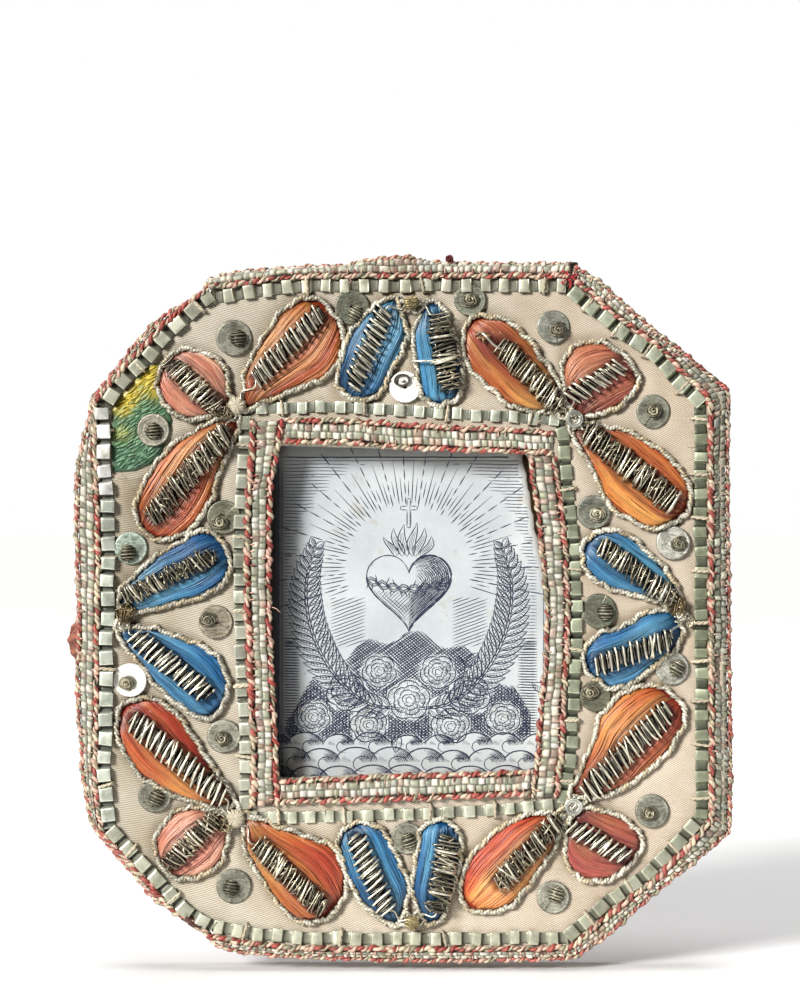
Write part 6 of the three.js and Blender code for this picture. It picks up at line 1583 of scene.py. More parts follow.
def make_purl(M, name, m, seed):
    r = rng(seed)
    bag = Bag()
    c = A(m["c"])
    silver, dull = lin(232, 227, 208), A([1.0, 0.95, 0.86])
    for key in m["petals"]:
        q = COILS[key]
        a, b = A(q["a"]), A(q["b"])
        if key in MESSY:               # crushed purl: short dull turns every way, with a few bright bars across
            coil(bag, a, b, q["w"] * 0.88, r, slant=SLANT[key], rough=2.1, tone=silver * dull * 0.46, wire=0.125, pitch=0.66, spread=(0.30, 1.60), flat=0.9)
            e, L = unit(b - a), float(np.linalg.norm(b - a))
            nn = np.array([-e[1], e[0]])
            for _ in range(int(L * 3.4)):
                u, v = r.uniform(0.02, 0.98), r.uniform(-0.40, 0.40)
                at = a + (b - a) * u + nn * (v * q["w"])
                ang = r.normal(1.35, 0.70)
                way = e * math.cos(ang) + nn * math.sin(ang)
                t = np.linspace(-1, 1, 9)
                w = r.uniform(0.32, 0.80)
                P = np.column_stack([at + way * (t * w)[:, None], 9.85 + 0.35 * r.rand() + 0.22 * (1 - t**2) - 0.7 * v * v * 6])
                tubes(bag, P[None], np.full((1, 9), r.uniform(0.095, 0.145)), 6, ref=np.array([[way[1], -way[0], 0.2]]), C=silver * dull * r.choice([0.12, 0.22, 0.34, 0.55, 0.95]))
            for u in MESSY[key]:
                at = a + (b - a) * u
                way = unit(nn + e * (SLANT[key] + r.uniform(-0.12, 0.12)))
                t = np.linspace(-1, 1, 15)
                P = np.column_stack([at + way * (t * q["w"] * r.uniform(0.44, 0.52))[:, None], 10.52 - 1.3 * np.abs(t) ** 5])
                tubes(bag, P[None], np.full((1, 15), 0.178), 7, ref=np.array([[e[0], e[1], 0.05]]), C=silver * r.uniform(1.0, 1.12))
        else:
            coil(bag, a, b, q["w"] * 0.90, r, slant=SLANT[key], rough=ROUGHNESS.get(key, 1.0), tone=silver * 1.04, wire=0.172, pitch=1.10)
        # a stray turn or two stands clear
        e = unit(b - a)
        nn = np.array([-e[1], e[0]])
        for _ in range(1 + (ROUGHNESS.get(key, 1.0) > 1.2)):
            u = r.uniform(0.1, 0.9)
            at = a + (b - a) * u
            way = unit(nn + e * (SLANT[key] + r.uniform(-0.45, 0.45)))
            t = np.linspace(-1, 1, 13)
            w = q["w"] * r.uniform(0.42, 0.60)
            P = np.column_stack([at + way * (t * w)[:, None], 10.30 + 0.16 * r.rand() - 1.1 * np.abs(t) ** 4])
            tubes(bag, P[None], np.full((1, 13), 0.135), 6, ref=np.array([[e[0], e[1], 0.05]]), C=silver * r.uniform(0.9, 1.35))
        # the wire runs on to the middle of the motif
        p = a if np.linalg.norm(a - c) < np.linalg.norm(b - c) else b
        t = np.linspace(0, 1, 26)
        w = p + (c - p) * t[:, None]
        side = np.array([-(c - p)[1], (c - p)[0]])
        w = w + side * (0.12 * np.sin(2.6 * np.pi * t))[:, None]
        tubes(bag, np.column_stack([w, 9.3 - 0.5 * t + 0.25 * np.sin(3 * np.pi * t)])[None], np.full((1, 26), 0.125), 6, ref=(0.2, 0.1, 1), C=silver * 0.8)
    brown = lin(128, 112, 84)
    if name in ("top_left", "bottom_left"):
        tangle(bag, c + A([-1.6, -1.0]), 1.4, 1.1, 8.9, 0.45, 16, r, lin(150, 138, 112), 0.11, 2)
    elif name in ("top_right", "bottom_right"):
        plate(bag, c, 1.32, 9.15, 0.35, r, lin(206, 208, 198), 0.5, 0.05)
        tangle(bag, c, 1.5, 1.5, 8.75, 0.3, 14, r, silver * 0.7, 0.12, 2)
    elif name in ("top_mid", "bottom_mid"):
        gold = lin(186, 172, 130)
        for turn in range(3):
            ang = r.uniform(0, np.pi)
            e = A([math.cos(ang), math.sin(ang)])
            coil(bag, c - e * 0.75, c + e * 0.75, 1.9, r, wire=0.085, pitch=0.24, dc=8.85 + 0.16 * turn, hh=0.72, tone=gold, inner=False, rough=0.9)
        tangle(bag, c, 1.05, 1.05, 9.3, 0.4, 22, r, gold, 0.075, 2)
    else:
        tangle(bag, c + A([0.5 if name[0] == "l" else -0.7, 0.4]), 1.5, 1.6, 8.9, 0.55, 26, r, brown, 0.11, 3)
        tangle(bag, c + A([0.0, -1.2]), 1.2, 1.2, 8.8, 0.5, 20, r, silver * 0.8, 0.12, 2)
    if name == "top_right":           # a loop of heavier wire stands at the upper petal's tip, and a pale wire runs from it
        tangle(bag, A([12.0, 41.2]), 1.2, 0.9, 9.3, 0.5, 13, r, lin(170, 134, 104), 0.15, 2)
        P = crom(A([[11.2, 42.0, 9.0], [12.2, 41.4, 9.9], [13.6, 39.9, 10.1], [15.0, 39.2, 9.6], [16.0, 38.4, 9.2]]), 8, False)
        tubes(bag, P[None], np.full((1, len(P)), 0.19), 7, ref=(0.2, 0.1, 1), C=lin(232, 224, 206))
    if name == "top_mid":             # one bright wire lies right across the right-hand petal
        P = crom(A([[1.3, 37.6, 9.0], [2.6, 37.55, 9.7], [4.2, 37.55, 9.9], [5.6, 37.5, 9.95]]), 8, False)
        tubes(bag, P[None], np.full((1, len(P)), 0.17), 7, ref=(0.1, 0.3, 1), C=lin(245, 242, 230))
    if name == "right_mid":
        tangle(bag, A([43.0, -1.4]), 0.75, 0.8, 8.5, 0.4, 14, r, lin(226, 216, 190), 0.15, 2)
        tangle(bag, A([39.2, 2.3]), 1.4, 1.2, 9.0, 0.5, 22, r, silver * 0.85, 0.12, 2)
    if name in ("top_left", "bottom_left"):      # a pad of thread covers the middle
        pad = Bag()
        rosette(pad, c, m["r"] + 0.15, 8.85, r, lin(204, 196, 174), 40)
        pad.make(f"thread_pad_{name}", M["thread"], "metal_cord")
    return bag.make(f"purl_coils_{name}", M["purl"], "purl_wire", [f"purl_{name}"])


# ------------------------------------------------------------------ sequins
def plate(bag, c, rad, d, slit, r, col, hole, ramp, tilt=(0.0, 0.0), rings=True, th=0.10, cup=0.06):
    """A flattened ring of wire: a disc with a slit where its ends lap, and faint turning marks."""
    n, k = 84, 17
    th0 = slit
    a = th0 + np.linspace(0, 2 * np.pi * 1.015, n)
    f = np.linspace(hole, 1, k)
    lap = ramp * np.linspace(0, 1, n)
    V = []
    for side in (1, -1):
        for q in (f if side > 0 else f[::-1]):
            x, z = rad * q * np.cos(a), rad * q * np.sin(a)
            wave = (0.014 * math.cos(2 * math.pi * rad * q / 0.46) if rings else 0) if side > 0 else 0
            rim = 0.04 * max(0.0, (q - 0.93) / 0.07)
            edge = side * (th / 2 - 0.025 * (q in (f[0], f[-1])))
            V.append(np.column_stack([c[0] + x, c[1] + z, d + lap + edge + wave + cup * q * q - rim + tilt[0] * x + tilt[1] * z]))
    V = np.stack(V, 1)
    m = V.shape[1]
    Q = grid_faces(n, m, False, True)
    caps = []
    for row in (0, n - 1):
        for j in range(m // 2 - 1):
            caps.append([row * m + j, row * m + j + 1, row * m + m - 2 - j, row * m + m - 1 - j])
    V2 = V.reshape(-1, 3)
    Q, _ = orient(V2, np.vstack([Q, caps]), np.zeros((0, 3), int))
    tone = 1 + 0.10 * np.sin(3 * a + r.uniform(0, 6)) + 0.06 * r.randn(n)
    C = col[None, None] * tone[:, None, None] * np.ones((1, m, 1))
    # faint turning rings, with a painted highlight ring just inside the rim and a painted shade at the very edge
    rings_and_painted_rim_light = np.ones(m)
    for j in range(m):
        q = f[j] if j < k else f[::-1][j - k]
        rings_and_painted_rim_light[j] = 0.93 + 0.08 * math.cos(2 * math.pi * rad * q / 0.52) + (0.36 if 0.85 < q < 0.94 else 0) - (0.55 if q > 0.97 else 0)
    bag.add(V2, Q, None, (C * rings_and_painted_rim_light[None, :, None]).reshape(-1, 3))


def bead(bag, c, e, kind, wire, r):
    """The bead of wound wire that holds a sequin: a core coloured dark as painted shade between its windings, ridged by
    the windings.
    """
    nn = A([-e[1], e[0]])
    half, rad, top = (1.20, 1.16, 0.92) if kind == "barrel" else (1.08, 1.08, 0.95)
    m, n = 9, 22
    u, w = np.meshgrid(np.linspace(0, np.pi, m + 2)[1:-1], np.linspace(0, 2 * np.pi, n, endpoint=False), indexing="ij")
    al, la, up = 0.93 * half * np.cos(u), 0.88 * rad * np.sin(u) * np.cos(w), 0.86 * top * np.sin(u) * np.sin(w)
    pos = c + e * al[..., None] + nn * la[..., None]
    V = np.concatenate([pos, (8.32 + up)[..., None]], -1).reshape(-1, 3)
    V = np.vstack([V, [[*(c + e * 0.93 * half), 8.32]], [[*(c - e * 0.93 * half), 8.32]]])
    Q = grid_faces(m, n, False, True)
    j = np.arange(n)
    T = np.vstack([np.stack([j, (j + 1) % n, np.full(n, m * n)], 1), np.stack([(m - 1) * n + (j + 1) % n, (m - 1) * n + j, np.full(n, m * n + 1)], 1)])
    Q, T = orient(V, Q, T)
    # the core is coloured near black as painted shade between the windings
    bag.add(V, Q, T, wire * 0.16)
    if kind == "barrel":
        turns = 6.5
        t = np.linspace(0, 1, int(turns * 22))
        g = np.cos(np.pi * (0.06 + 0.88 * t))
        ph = 2 * np.pi * turns * t + r.uniform(0, 6)
        k = np.floor(ph / (2 * np.pi) + 3).astype(int)
        lift = 1 + r.normal(0, 0.05, 14)[k]
        a2 = half * g + r.normal(0, 0.035, 14)[k]
        q = np.sqrt(1 - g * g) * lift
        la, up = rad * q * np.cos(ph), top * q * np.sin(ph)
        tone = r.uniform(0.45, 1.15, 14)[k]
        P = np.column_stack([c + e * a2[:, None] + nn * la[:, None], 8.34 + up])
        # painted light: each winding is bright on top and dark below
        col = wire[None] * (tone * (0.12 + 0.98 * np.clip(0.5 + 0.5 * np.sin(ph), 0, 1) ** 1.2))[:, None]
        tubes(bag, P[None], np.full((1, len(t)), 0.145), 6, ref=np.array([[e[0], e[1], 0.0]]), C=col[None], flat=0.9)
    else:
        turns = 3.2
        t = np.linspace(0, 1, int(turns * 30))
        q = 0.10 + 1.12 * (1 - t) ** 0.85
        a = 2 * np.pi * turns * t + r.uniform(0, 6)
        q = q * (1 + 0.09 * np.sin(2 * a + 5 * t) + 0.05 * np.sin(5.3 * a))
        P = np.column_stack([c[0] + q * np.cos(a), c[1] + 0.92 * q * np.sin(a), 8.24 + 0.98 * t**0.75 + 0.06 * np.sin(3.1 * a)])
        k = (t * 12).astype(int)
        # painted light: the snail brightens towards its raised middle
        tone = r.uniform(0.6, 1.45, 14)[k] * np.linspace(0.75, 1.35, len(t))
        tubes(bag, P[None], np.full((1, len(t)), 0.165), 7, ref=(0.0, 0.0, 1), C=(wire[None] * tone[:, None])[None])
        # the small loop on top is coloured brighter as painted highlight
        t = np.linspace(0, 1, 18)
        w0 = r.uniform(0, 6)
        P = np.column_stack([c[0] + 0.55 * np.cos(w0 + 3.4 * t), c[1] + 0.55 * np.sin(w0 + 3.4 * t), 9.1 + 0.22 * np.sin(np.pi * t)])
        tubes(bag, P[None], np.full((1, 18), 0.125), 6, ref=(0.2, 0.3, 0.9), C=wire * 1.7)
    tangle(bag, c + nn * 0.2, 0.95, 0.8, 8.55, 0.5, 7, r, wire * 0.8, 0.075)


PALE_BEADS = (2, 12, 14, 15, 19, 20)
SEQ_LOOK = {11: (lin(176, 174, 160), 2.4, "snail"), 12: (lin(150, 152, 140), 0.4, "snail"), 14: (lin(130, 132, 116), 1.1, "barrel"), 15: (lin(204, 203, 192), 2.8, "barrel"), 16: (lin(122, 121, 102), 0.2, "snail"), 3: (lin(246, 245, 238), 2.6, "snail"), 10: (lin(244, 243, 236), 2.2, "snail"), 7: (lin(142, 140, 122), 0.75, "snail"), 8: (lin(188, 204, 190), 1.6, "barrel"),
            9: (lin(178, 168, 148), -0.6, "snail"), 5: (lin(178, 180, 168), -1.4, "snail"), 6: (lin(170, 170, 154), -2.2, "snail"), 2: (lin(130, 132, 116), 2.0, "barrel"),
            4: (lin(150, 152, 136), 0.3, "snail"), 0: (lin(168, 163, 148), 1.2, "barrel"), 1: (lin(160, 158, 144), -0.9, "barrel"), 13: (lin(208, 206, 196), 1.9, "snail")}


def make_sequins(M):
    for i, (x, z, rad, bx, bz) in enumerate(SEQUINS):
        r = rng(700 + i)
        col, slit, kind = SEQ_LOOK.get(i, (lin(*(r.randint(140, 160) + A([3, 2, -12]))), r.uniform(0, 6.28), "barrel" if r.rand() < 0.6 else "snail"))
        tx, tz = r.normal(0, 0.035), r.normal(0, 0.035)
        if i in (3, 10):
            tx, tz = 0.05, -0.04
        bag = Bag()
        plate(bag, A([x, z]), rad, 7.98, slit, r, col, 0.12, 0.13, (tx, tz))
        c = A([bx, bz])
        wire = lin(182, 176, 154) if i in PALE_BEADS else lin(140, 134, 114)
        ang = r.uniform(-0.5, 0.5) if kind == "barrel" else 0
        e = A([math.sin(ang), math.cos(ang)])
        if i == 3:                     # this one is held by a dark ring of wire with one end free
            t = np.linspace(0, 1, 90)
            a = 2.4 + 2 * np.pi * 2.6 * t
            q = 1.02 + 0.10 * np.sin(2 * a + 1) * t
            P = np.column_stack([c[0] - 0.15 + q * np.cos(a), c[1] + 0.25 + 0.85 * q * np.sin(a), 8.25 + 0.42 * t + 0.08 * np.sin(2 * a)])
            tubes(bag, P[None], np.full((1, 90), 0.15), 7, ref=(0.0, 0.0, 1), C=lin(66, 60, 54))
            P = crom(A([[c[0] + 0.7, c[1] + 0.7, 8.7], [c[0] + 1.5, c[1] + 0.75, 8.6], [c[0] + 1.9, c[1] + 1.4, 8.45], [c[0] + 1.75, c[1] + 2.0, 8.3]]), 8, False)
            tubes(bag, P[None], np.full((1, len(P)), 0.07), 5, ref=(0.2, 0.1, 1), C=lin(60, 54, 50))
            tangle(bag, c + A([-0.10, 0.30]), 0.30, 0.28, 8.4, 0.2, 7, r, lin(240, 236, 226), 0.14)
        else:
            bead(bag, c, e, kind, wire, r)
        bag.make(f"sequin_{i + 1:02d}_stitched", M["white_sequin" if i in (3, 10) else "sequin"], "sequin_metal", [f"sequin_{i + 1:02d}"])


# ------------------------------------------------------------------ figured scrap
def make_leaf(M):
    r = rng(81)
    line = resample(LEAF, 90, True)
    c = line.mean(0)
    k = 10
    bag = Bag()
    rows = []
    green, teal, yellow, lime = lin(92, 138, 98), lin(58, 106, 84), lin(214, 192, 60), lin(176, 184, 84)
    for f in np.linspace(1, 0.08, k):
        q = c + (line - c) * f
        rows.append(np.column_stack([q, 7.64 + 0.02 * np.minimum(1, (1 - f) * 20) + 0.04 * wob(q[:, 0], q[:, 1], 82, 6)]))
    n = len(line)
    foot = np.column_stack([line, np.full(n, 7.56)])
    under = np.column_stack([c + (line - c) * 0.5, np.full(n, 7.56)])
    V = np.vstack([np.vstack(rows), foot, under, [[*c, rows[-1][:, 2].mean()]], [[*c, 7.56]]])
    Q = grid_faces(k, n, False, True)
    j = np.arange(n)
    ft, un = k * n, (k + 1) * n
    Q = np.vstack([Q, np.stack([ft + j, ft + (j + 1) % n, (j + 1) % n, j], 1), np.stack([un + j, un + (j + 1) % n, ft + (j + 1) % n, ft + j], 1)])
    T = np.vstack([np.stack([(k - 1) * n + j, (k - 1) * n + (j + 1) % n, np.full(n, (k + 2) * n)], 1), np.stack([un + (j + 1) % n, un + j, np.full(n, (k + 2) * n + 1)], 1)])
    Q, T = orient(V, Q, T)

    def dye(x, z):                 # yellow along the top, a lime spot by the strip, darker towards the foot
        y = 1 / (1 + np.exp(-(z - (30.0 + 0.55 * (x + 42) + 0.7 * np.sin(x * 1.4))) * 2.6))
        spot = np.exp(-(((x + 42.3) / 1.5) ** 2) - ((z - 26.6) / 1.0) ** 2)
        deep = np.clip((27.5 - z) / 7.0, 0, 1)
        col = green * (1 - 0.5 * deep[..., None]) + teal * 0.5 * deep[..., None]
        col = col * (1 - y[..., None]) + yellow * y[..., None]
        return col * (1 - 0.8 * spot[..., None]) + lime * 0.8 * spot[..., None]
    bag.add(V, Q, T, dye(V[:, 0], V[:, 1]) * 0.62)
    o = bag.make("figured_silk_scrap", M["floss"], "figured_silk", ["leaf_patch"])
    bag = Bag()
    # short slanting floats of the pattern weft
    lo, hi = line.min(0), line.max(0)
    P, C, R = [], [], []
    step = 0.245
    ang = 0.55
    e, nn = A([math.cos(ang), math.sin(ang)]), A([-math.sin(ang), math.cos(ang)])
    size = np.linalg.norm(hi - lo)
    mid = (lo + hi) / 2
    inner = offset(line, -0.18)
    for row in np.arange(-size / 2, size / 2, step):
        at = -size / 2 + r.uniform(0, 1.2)
        while at < size / 2:
            ln = r.uniform(0.7, 2.0)
            t = np.linspace(0, 1, 6)
            q = mid + nn * (row + 0.07 * r.randn()) + (e + nn * r.normal(0, 0.10)) * (at + ln * t)[:, None]
            q = q + nn * (0.25 * np.sin(q @ e * 0.9 + row * 0.4))[:, None]
            at += ln + r.uniform(0.0, 0.10)
            if not inside(q[[0, 3, 5]], inner).all():
                continue
            x, z = q[2]
            col = dye(A(x), A(z))
            if r.rand() < 0.16:
                col = col * 0.5 + lin(142, 184, 140) * 0.5
            if r.rand() < 0.14:
                col = col * 0.55
            C.append(col * r.uniform(0.72, 1.22))
            P.append(np.column_stack([q, 7.70 + 0.06 * np.sin(np.pi * t) + 0.05 * wob(q[:, 0], q[:, 1], 82, 6)]))
            R.append(r.uniform(0.12, 0.18) * np.sin(np.pi * (0.12 + 0.76 * t)) ** 0.5)
    tubes(bag, A(P), A(R), 5, ref=(0, 0, 1), C=A(C), flat=0.6)
    bag.make("figured_silk_floats", M["floss"], "figured_silk", ["leaf_patch"])
    return o


# ------------------------------------------------------------------ the printed paper
PAPER_RIGHT = A([[28, 17.8], [23.85, 18.0], [18.3, 19.05], [12.6, 19.95], [6, 21.45], [0, 22.6], [-13.2, 23.2], [-28, 23.2]])


def paper_right(z):
    return np.interp(-z, -PAPER_RIGHT[:, 0], PAPER_RIGHT[:, 1])


def paper_d(x, z):
    lift = np.clip((z + 4) / 22, 0, 1)
    lift = lift * lift * (3 - 2 * lift)
    curl = 1.15 * lift * np.exp(-(np.clip(paper_right(z) - x, 0, None) / 1.7))
    return PRINT_D + 0.10 * wob(x, z, 91, 26) + 0.03 * wob(x, z, 92, 7) + curl


def make_paper(M):
    m, n = 84, 70
    z = np.linspace(-28, 28, m)
    V = []
    xr = paper_right(z) + 0.10 * np.sin(z * 1.9) * (z > -5) + 0.06 * np.sin(z * 5.3)
    for side in (1, -1):
        u = np.linspace(0, 1, n) ** 0.8
        u = u if side > 0 else u[::-1]
        X = -22.9 + (xr[:, None] + 22.9) * u[None]
        Z = np.repeat(z[:, None], n, 1)
        V.append(np.stack([X, Z, paper_d(X, Z) + side * 0.05], -1))
    V = np.concatenate(V, 1)
    Q = grid_faces(m, 2 * n, False, True)
    caps = []
    for row in (0, m - 1):
        b = row * 2 * n
        for j in range(n - 1):
            caps.append([b + j, b + j + 1, b + 2 * n - 2 - j, b + 2 * n - 1 - j])
    V2 = V.reshape(-1, 3)
    Q, _ = orient(V2, np.vstack([Q, caps]), np.zeros((0, 3), int))
    x, zz = V2[:, 0], V2[:, 1]
    # painted shadow: near black beside the window's left wall, with a thin band under the top wall
    painted_window_shadow = 0.97 * np.exp(-((np.clip(x + 19.7, 0, None) / 2.2) ** 2)) * (1 - 0.25 * np.exp(-((zz - 24) / 3.0) ** 2)) + 0.2 * np.exp(-(((zz - 24.6) / 0.6) ** 2))
    # soil and painted shade: along the curled right edge, where a dark gap shows, and along the left, top and bottom
    # edges
    soil_and_painted_shade = 0.9 * np.exp(-((paper_right(zz) - x) / 0.8) ** 2) + 0.45 * np.exp(-((x + 19.6) / 1.5) ** 2) + 0.4 * np.exp(-((zz - 24.2) / 1.1) ** 2) + 0.3 * np.exp(-((zz + 24.2) / 1.6) ** 2)
    bag = Bag()
    bag.add(V2, Q, None, np.column_stack([np.clip(soil_and_painted_shade, 0, 1), soil_and_painted_shade * 0, np.clip(painted_window_shadow, 0, 1)]))
    o = bag.make("printed_paper", M["paper"], "printed_paper", ["picture_print"])
    return o


class Ink:
    """Engraved lines, drawn on the paper as thin raised ribbons."""

    def __init__(self, seed):
        self.r, self.lines = rng(seed), []

    def line(self, pts, w, taper=(0.35, 0.35), wobble=0.03):
        P = A(pts)
        L = arc(P)[-1]
        if L < 0.15:
            return
        n = int(np.clip(L / 0.75 + 2, 3, 22))
        Q = resample(P, n)
        Q = Q + self.r.normal(0, wobble, Q.shape) * (n > 3)
        t = np.linspace(0, 1, n)
        W = w * np.minimum(1, 0.25 + np.minimum(t / max(taper[0], 1e-3), (1 - t) / max(taper[1], 1e-3)))
        self.lines.append((Q, W * 1.22))

    def arcs(self, c, rad, a0, a1, w, squash=1.0, n=18, **k):
        t = np.linspace(a0, a1, n)
        self.line(np.column_stack([c[0] + rad * np.cos(t), c[1] + rad * squash * np.sin(t)]), w, **k)

    def hatch(self, mask, box, ang, gap, w, keep=None, wave=0.0, dens=None):
        """Parallel lines across the box where mask says so, thicker where dens is high."""
        x0, z0, x1, z1 = box
        c = A([(x0 + x1) / 2, (z0 + z1) / 2])
        R = math.hypot(x1 - x0, z1 - z0) / 2
        e, nn = A([math.cos(ang), math.sin(ang)]), A([-math.sin(ang), math.cos(ang)])
        s = np.arange(-R, R, 0.16)
        for k in np.arange(-R, R, gap):
            q = c + e * s[:, None] + nn * (k + wave * np.sin(s * 0.55 + k * 0.2) + 0.03 * self.r.randn())[:, None]
            ok = (q[:, 0] > x0) & (q[:, 0] < x1) & (q[:, 1] > z0) & (q[:, 1] < z1)
            if ok.any():
                ok[ok] = mask(q[ok])
            if keep is not None and self.r.rand() > keep:
                continue
            run = np.flatnonzero(np.diff(np.concatenate([[0], ok.astype(int), [0]])))
            for a, b in zip(run[::2], run[1::2]):
                if b - a > 3:
                    g = 1.0 if dens is None else float(dens(q[(a + b) // 2]))
                    if g > 0.08:
                        self.line(q[a:b], w * g, (0.2, 0.2), 0.015)


def closed_poly(P):
    P = A(P)
    return np.vstack([P, P[:1]])


def make_print_design(M):
    ink = Ink(95)
    r = ink.r
    hc = A([0.9, 3.6])                                      # the heart's middle

    def heart(scale, dx=0.0, dz=0.0, n=120):
        t = np.linspace(0, 2 * np.pi, n, endpoint=False)
        return np.column_stack([hc[0] + dx + scale * 16 * np.sin(t) ** 3, hc[1] + dz + scale * (13 * np.cos(t) - 5 * np.cos(2 * t) - 2 * np.cos(3 * t) - np.cos(4 * t))])
    S = 0.40
    H = heart(S)
    taken = [heart(S * 1.03)]
    # outline, heavier on the right and below
    for off in (0.0, 0.14):
        P = heart(S + off * 0.03)
        for a in range(0, 120, 10):
            seg = np.vstack([P, P])[a:a + 12]
            heavy = 0.10 + 0.12 * (seg[5, 0] > hc[0]) + 0.06 * (seg[5, 1] < hc[1])
            ink.line(seg, heavy, (0.02, 0.02), 0.01)
    # modelling lines that follow the outline, on the shaded side
    for k, sc in enumerate(np.arange(0.95, 0.30, -0.045)):
        P = heart(S * sc, 0.0, 0.25 * (1 - sc))
        a0, a1 = int(8 + 14 * (1 - sc) + r.randint(5)), int(68 - 10 * (1 - sc) - r.randint(8))
        ink.line(P[a0:a1], 0.13 - 0.05 * (1 - sc), (0.25, 0.25), 0.015)
        if k % 2 == 0:
            ink.line(P[a1 + 4:a1 + 22 - k], 0.09, (0.3, 0.4), 0.015)
    left_lobe = heart(S * 0.93)
    ink.hatch(lambda q: inside(q, heart(S * 0.95)) & (q[:, 0] > hc[0] + 1.0), (-7, -6, 9, 12), -0.9, 0.36, 0.085, dens=lambda p: np.clip((p[0] - hc[0]) / 4 + (hc[1] - p[1]) / 10, 0.1, 1))
    ink.hatch(lambda q: inside(q, heart(S * 0.93)) & ((q[:, 1] < hc[1] - 0.5) | (q[:, 0] > hc[0] + 3.2)), (-7, -6, 9, 12), 0.75, 0.42, 0.075)
    # a band of twisted stems round it, with thorns
    t = np.linspace(-1, 1, 80)
    bx = hc[0] + t * 6.5
    sag = hc[1] + 1.2 - 1.5 * (1 - t**2)
    for ph in (0, np.pi):
        y = sag + 0.55 * np.sin(t * 13 + ph)
        for o in (-0.20, 0.20):
            ink.line(np.column_stack([bx, y + o]), 0.12, (0.05, 0.05), 0.01)
        ink.line(np.column_stack([bx, y]), 0.06, (0.05, 0.05), 0.01)
    for u in np.linspace(-0.95, 0.95, 19):
        x = hc[0] + u * 6.5
        y = hc[1] + 1.2 - 1.5 * (1 - u * u)
        s = 1 if r.rand() < 0.5 else -1
        ink.line([[x, y + 0.3 * s], [x + r.uniform(-0.5, 0.5), y + 1.35 * s]], 0.17, (0.01, 0.9), 0)
    # flames
    base = hc + A([0, 4.9])
    for k, (dx, hgt, lean) in enumerate(((-2.7, 3.0, -0.9), (-1.7, 4.3, -0.5), (-0.7, 5.0, -0.25), (0.7, 5.2, 0.2), (1.7, 4.4, 0.5), (2.7, 3.1, 0.9))):
        b = base + A([dx * 0.75, -0.3])
        tip = b + A([lean + dx * 0.25, hgt])
        u = np.linspace(0, 1, 16)
        sway = 0.35 * np.sin(u * 5 + k)
        axis = b + (tip - b) * u[:, None] + np.column_stack([sway, 0 * u])
        wd = 0.72 * np.sin(np.pi * np.clip(u, 0, 1) ** 0.75) * (1 - 0.25 * u)
        for sgn in (-1, 1):
            ink.line(axis + np.column_stack([sgn * wd, 0 * u]), 0.13, (0.05, 0.3), 0.01)
        for o in (-0.4, 0.0, 0.4):
            ink.line((axis + np.column_stack([o * wd, 0 * u]))[2:12], 0.07, (0.2, 0.5), 0.01)
        taken.append(np.vstack([axis + np.column_stack([wd, 0 * u]), (axis - np.column_stack([wd, 0 * u]))[::-1]]))
    # a small plain cross in the flames
    cx, cz = hc[0], hc[1] + 11.6
    cross = A([[-0.28, -2.6], [0.28, -2.6], [0.28, 0.1], [1.25, 0.1], [1.25, 0.66], [0.28, 0.66], [0.28, 1.8], [-0.28, 1.8], [-0.28, 0.66], [-1.25, 0.66], [-1.25, 0.1], [-0.28, 0.1]]) + A([cx, cz])
    for a, b in zip(cross, np.roll(cross, -1, 0)):
        ink.line([a, b], 0.13, (0.01, 0.01), 0)
    for y in np.arange(-2.4, 1.7, 0.30):
        ink.line([[cx + 0.02, cz + y], [cx + 0.26, cz + y - 0.08]], 0.10, (0.05, 0.05), 0)
    taken.append(cross)
    # glory: bundles of rays in long and short steps
    def busy(q):
        b = np.zeros(len(q), bool)
        for poly in taken:
            b |= inside(q, poly)
        return b
    gc = hc + A([0, 3.0])
    for k in range(124):
        a = 2 * np.pi * k / 124 + r.normal(0, 0.004)
        kind = k % 4
        inner = (9.2, 9.8, 9.4, 10.4)[kind] + 0.4 * r.rand()
        outer = (19.5, 13.4, 16.4, 13.0)[kind] + r.uniform(-0.5, 0.5)
        if math.sin(a) < -0.35:
            continue
        if kind == 0:                                        # broken into dashes outwards
            p = inner
            while p < outer:
                q = p + r.uniform(1.2, 2.6)
                ink.line([[gc[0] + p * math.cos(a), gc[1] + p * math.sin(a)], [gc[0] + q * math.cos(a), gc[1] + q * math.sin(a)]], 0.15, (0.2, 0.6), 0)
                p = q + 0.3
        else:
            ink.line([[gc[0] + inner * math.cos(a), gc[1] + inner * math.sin(a)], [gc[0] + outer * math.cos(a), gc[1] + outer * math.sin(a)]], 0.12, (0.15, 0.8), 0)
